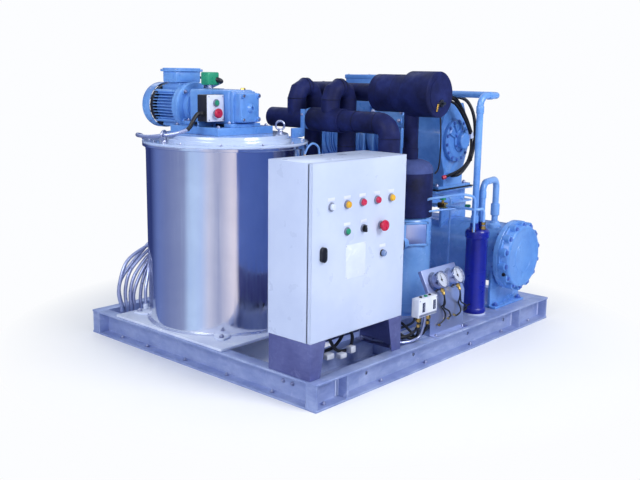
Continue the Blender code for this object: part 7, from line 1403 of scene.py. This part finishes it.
def make_compressor_hoses():
    """Rubber hoses in front of the compressor."""
    thick = hose([(0.42, -0.3, 1.012), (0.445, -0.325, 1.004), (0.4735, -0.335, 0.9704),
            (0.512, -0.338, 0.925), (0.536, -0.34, 0.89), (0.556, -0.342, 0.856)], 0.0095)
    second = hose([(0.395, -0.3, 1.002), (0.43, -0.33, 0.988), (0.462, -0.342, 0.956), (0.5, -0.345, 0.915),
            (0.53, -0.346, 0.88), (0.55, -0.345, 0.85)], 0.006)
    fitting = rod((0.556, -0.342, 0.856), (0.564, -0.342, 0.83), 0.0125, steps=6, edge=0.001)
    tail = hose([(0.564, -0.342, 0.83), (0.566, -0.342, 0.8005), (0.564, -0.342, 0.77),
            (0.546, -0.342, 0.731), (0.515, -0.342, 0.705), (0.4704, -0.34, 0.6865), (0.42, -0.33, 0.672),
            (0.39, -0.318, 0.662)], 0.0062)
    knot = [rod((0.552, -0.346, 0.748), (0.56, -0.346, 0.738), 0.01, steps=12, edge=0.001),
            block((0.548, -0.352, 0.726), (0.566, -0.344, 0.736), 0.002)]
    tip = rod((0.4, -0.322, 0.665), (0.385, -0.316, 0.66), 0.009, steps=16, edge=0.001)
    piece("compressor_hoses", [of(RUBBER, thick, second, tail, knot), of(PALE, fitting), of(RED, tip)])


def make_filter_lead():
    """Lead that hangs from the suction filter."""
    drop = hose([(0.1864, -0.425, 0.942), (0.187, -0.428, 0.92), (0.19, -0.43, 0.86),
            (0.1917, -0.43, 0.8028), (0.195, -0.425, 0.75), (0.196, -0.418, 0.72),
            (0.19, -0.408, 0.702)], 0.0034)
    piece("filter_lead", [of(CABLE, drop)])


def make_oil_lines():
    """Thin oil lines with a nut and a small valve."""
    high = [(0.27, -0.56, 0.464), (0.27, -0.56, 0.615), (0.22, -0.53, 0.626), (0.15, -0.412, 0.6),
        (0.15, -0.395, 0.59)]
    low = [(0.33, -0.4, 0.12), (0.33, -0.4, 0.59), (0.33, -0.3, 0.596), (0.33, -0.26, 0.596)]
    short = [(0.31, -0.5, 0.556), (0.23, -0.44, 0.55), (0.148, -0.395, 0.544)]
    fine = of(OIL_TUBE, pipe(high, 0.0052, 0.026, 7), pipe(low, 0.004, 0.02, 7),
        pipe(short, 0.0042, 0.02, 7))
    nut = of(BRASS, solid([(0.008, 0), (0.008, 0.01), (0.0066, 0.012), (0.0066, 0.022), (0.0058, 0.024)],
            (0.272, -0.558, 0.464), UP, 6))
    valve = of(GREEN, solid([(0.012, 0), (0.013, 0.002), (0.013, 0.008), (0.011, 0.01)],
            (0.31, -0.5, 0.56), UP, 10))
    piece("oil_sight_lines", [fine, nut, valve])


def make_mats():
    """Rubber mats under the compressor."""
    feet = of(RUBBER, [block((0.365, y - 0.045, 0.6004), (0.655, y + 0.045, 0.606), 0.001)
            for y in (-0.262, 0.262)])
    piece("compressor_mats", [feet])


def make_cabinet_tails():
    """Loops of cable and plugs under the cabinet."""
    coils = [[(-0.7, -0.47, 0.226), (-0.7, -0.48, 0.19), (-0.68, -0.5, 0.135), (-0.64, -0.51, 0.113),
                 (-0.6, -0.5, 0.14), (-0.61, -0.48, 0.18), (-0.65, -0.47, 0.17), (-0.64, -0.46, 0.125),
                 (-0.56, -0.45, 0.109), (-0.47, -0.44, 0.109), (-0.42, -0.44, 0.15), (-0.41, -0.45, 0.226)],
             [(-0.56, -0.47, 0.226), (-0.558, -0.48, 0.19), (-0.53, -0.49, 0.13), (-0.5, -0.5, 0.112),
                 (-0.45, -0.5, 0.115), (-0.44, -0.5, 0.16), (-0.47, -0.495, 0.2), (-0.475, -0.49, 0.226)]]
    plugs = [block((-0.6, -0.52, 0.1035), (-0.56, -0.49, 0.1235), 0.003),
             block((-0.48, -0.53, 0.1035), (-0.452, -0.505, 0.1285), 0.003),
             block((-0.555, -0.545, 0.1035), (-0.52, -0.52, 0.1215), 0.003)]
    piece("cabinet_tails", [of(CABLE, [hose(way, 0.0062) for way in coils]), of(WHITE, plugs)])


# Stage
SURROUND = tint(252, 253, 255)
FLOOR_SIDE, FADE_START, FADE_END = 30, 0.86, 1.42
SENSOR_WIDTH, LENS, CAMERA_ROLL = 36.0, 48.44, math.radians(0.86)
CAMERA_PLACE, CAMERA_AHEAD = (-2.801, -2.455, 1.121), Vector((0.7297, 0.6558, -0.1935))
CAMERA_RIGHT, CAMERA_ABOVE = Vector((0.6684, -0.7438, 0)), Vector((0.1439, 0.1294, 0.9811))
LAMP_TARGET = Vector((0, 0, 0.5))
LAMPS = (("key_lamp", (0.2, -4.4, 3.4), 2.4, 166, (1.0, 0.99, 0.98)),
         ("side_lamp", (-4.2, -0.6, 2.6), 2.2, 84, (0.99, 0.99, 1.0)),
         ("back_lamp", (1.8, 3.4, 3.4), 3.0, 26, (0.9, 0.95, 1.0)))
SOFT_COLOUR, SOFT_STRENGTH = (0.76, 0.85, 1.0, 1), 0.45
OVERHEAD, RISE_START, RISE_END = tint(206, 220, 246), 0.12, 0.5
BANDS = ((0.00, (190, 214, 250)), (0.03, (186, 208, 250)), (0.06, (212, 214, 236)), (0.10, (164, 172, 206)),
         (0.15, (226, 222, 238)), (0.175, (238, 230, 242)), (0.20, (196, 204, 234)), (0.23, (120, 160, 226)),
         (0.31, (104, 146, 216)), (0.35, (96, 104, 146)), (0.40, (48, 56, 92)), (0.43, (150, 180, 236)),
         (0.50, (190, 206, 240)), (0.62, (60, 72, 124)), (0.74, (44, 56, 112)), (0.80, (104, 124, 186)),
         (0.86, (116, 130, 180)), (0.95, (140, 152, 192)), (0.975, (184, 208, 246)), (1.00, (190, 214, 250)))


def make_floor():
    """Pale floor that fades into the surround and is not seen in reflections."""
    clear_bench()
    mesh_ops.primitive_plane_add(size=FLOOR_SIDE)
    floor = bpy.context.object
    floor.name = "studio_floor"
    surface = Finish("studio_floor_finish", 0.6, specular=0.2)
    surface.paint(surface.ramp(surface.cloud(0.7, 2), (0.3, tint(250, 251, 254)),
            (0.7, tint(254, 254, 255))))
    wire = surface.tree.links.new
    reach = surface.node("VectorMath")
    reach.operation = "LENGTH"
    wire(surface.where, reach.inputs[0])
    path, glow, clear = surface.node("LightPath"), surface.node("Emission"), surface.node("BsdfTransparent")
    glow.inputs["Color"].default_value = SURROUND
    far = surface.level(reach.outputs["Value"], 0.0, 1.0, FADE_START, FADE_END)
    seen_far = surface.node("Math")
    seen_far.operation = "MULTIPLY"
    fade, open_below = surface.node("MixShader"), surface.node("MixShader")
    for output, target in ((far, seen_far.inputs[0]),
                           (path.outputs["Is Camera Ray"], seen_far.inputs[1]),
                           (seen_far.outputs[0], fade.inputs["Fac"]),
                           (surface.shader.outputs[0], fade.inputs[1]),
                           (glow.outputs[0], fade.inputs[2]),
                           (path.outputs["Is Glossy Ray"], open_below.inputs["Fac"]),
                           (fade.outputs[0], open_below.inputs[1]),
                           (clear.outputs[0], open_below.inputs[2]),
                           (open_below.outputs[0], surface.tree.nodes["Material Output"].inputs["Surface"])):
        wire(output, target)
    floor.data.materials.append(surface.material)


def place_camera():
    """Camera at the photograph's angle."""
    camera = bpy.data.cameras.new("view")
    camera.sensor_width, camera.lens = SENSOR_WIDTH, LENS
    camera.clip_end = 100
    holder = bpy.data.objects.new("view", camera)
    bpy.context.scene.collection.objects.link(holder)
    cosine, sine = math.cos(CAMERA_ROLL), math.sin(CAMERA_ROLL)
    right, above = CAMERA_RIGHT * cosine + CAMERA_ABOVE * sine, CAMERA_ABOVE * cosine - CAMERA_RIGHT * sine
    place = Matrix((right, above, -CAMERA_AHEAD)).transposed().to_4x4()
    place.translation = CAMERA_PLACE
    holder.matrix_world = place
    bpy.context.scene.camera = holder


def place_lamps():
    """Three soft round lamps that face the machine's middle."""
    for name, spot, size, power, colour in LAMPS:
        lamp = bpy.data.lights.new(name, "AREA")
        lamp.shape, lamp.size, lamp.energy, lamp.color = "DISK", size, power, colour
        holder = bpy.data.objects.new(name, lamp)
        bpy.context.scene.collection.objects.link(holder)
        turn = (LAMP_TARGET - Vector(spot)).to_track_quat("-Z", "Y").to_matrix().to_4x4()
        holder.matrix_world = Matrix.Translation(Vector(spot)) @ turn


def make_surround():
    """A pale surround that shows as bands of sky and dark in polished steel."""
    world = bpy.data.worlds.new("surround")
    bpy.context.scene.world = world
    world.use_nodes = True
    nodes, wire = world.node_tree.nodes, world.node_tree.links.new
    nodes.clear()

    def node(kind, operation=None):
        made = nodes.new("ShaderNode" + kind)
        if operation:
            made.operation = operation
        return made

    def spread_over(low, high):
        made = node("MapRange")
        for key, value in (("From Min", low), ("From Max", high), ("To Min", 0.0), ("To Max", 1.0)):
            made.inputs[key].default_value = value
        return made

    path = node("LightPath")
    soft, seen, mirrored = (node("Background") for _ in range(3))
    soft.inputs["Color"].default_value, soft.inputs["Strength"].default_value = SOFT_COLOUR, SOFT_STRENGTH
    seen.inputs["Color"].default_value, seen.inputs["Strength"].default_value = SURROUND, 1.0
    way, split, angle = node("TexCoord"), node("SeparateXYZ"), node("Math", "ARCTAN2")
    share, rise = spread_over(-math.pi, math.pi), spread_over(RISE_START, RISE_END)
    bands, dome = node("ValToRGB"), node("Mix")
    stops = bands.color_ramp.elements
    while len(stops) < len(BANDS):
        stops.new(0.5)
    for element, (position, colour) in zip(stops, BANDS):
        element.position, element.color = position, tint(*colour)
    dome.data_type = "RGBA"
    dome.inputs[7].default_value = OVERHEAD
    first, second, either = node("MixShader"), node("MixShader"), node("Math", "MAXIMUM")
    for output, target in ((way.outputs["Generated"], split.inputs[0]),
                           (split.outputs["Y"], angle.inputs[0]),
                           (split.outputs["X"], angle.inputs[1]),
                           (angle.outputs[0], share.inputs["Value"]),
                           (share.outputs["Result"], bands.inputs["Fac"]),
                           (split.outputs["Z"], rise.inputs["Value"]),
                           (rise.outputs["Result"], dome.inputs[0]),
                           (bands.outputs["Color"], dome.inputs[6]),
                           (dome.outputs[2], mirrored.inputs["Color"]),
                           (path.outputs["Is Glossy Ray"], first.inputs["Fac"]),
                           (soft.outputs[0], first.inputs[1]),
                           (mirrored.outputs[0], first.inputs[2]),
                           (path.outputs["Is Camera Ray"], either.inputs[0]),
                           (path.outputs["Is Transmission Ray"], either.inputs[1]),
                           (either.outputs[0], second.inputs["Fac"]),
                           (first.outputs[0], second.inputs[1]),
                           (seen.outputs[0], second.inputs[2]),
                           (second.outputs[0], node("OutputWorld").inputs["Surface"])):
        wire(output, target)
    bpy.context.scene.view_settings.view_transform = "Standard"


for make in (make_floor, place_camera, place_lamps, make_surround, make_skid, make_drum, make_lid,
             make_gear_frame, make_gear_case, make_motor, make_fan_hood, make_motor_box, make_motor_lead,
             make_speed_sensor, finish_hidden_nodes, make_local_station, make_cabinet, make_door,
             make_controls, make_back_shade_sheets, make_devices, make_plinths, make_gauges, make_pressure_switch,
             make_separator, make_hot_pipes, make_condenser, make_front_cap, make_rear_cap,
             make_accumulator, make_accumulator_wrap, make_suction_filter, make_suction_pipe,
             make_suction_header, make_header_clamp, make_stand, make_compressor, make_cylinder_heads,
             make_pump_cover, make_compressor_box, make_cables, make_sensor_conduits, make_feed_tube,
             make_capillaries, make_switch_hoses, make_compressor_hoses, make_filter_lead, make_oil_lines,
             make_mats, make_cabinet_tails):
    make()
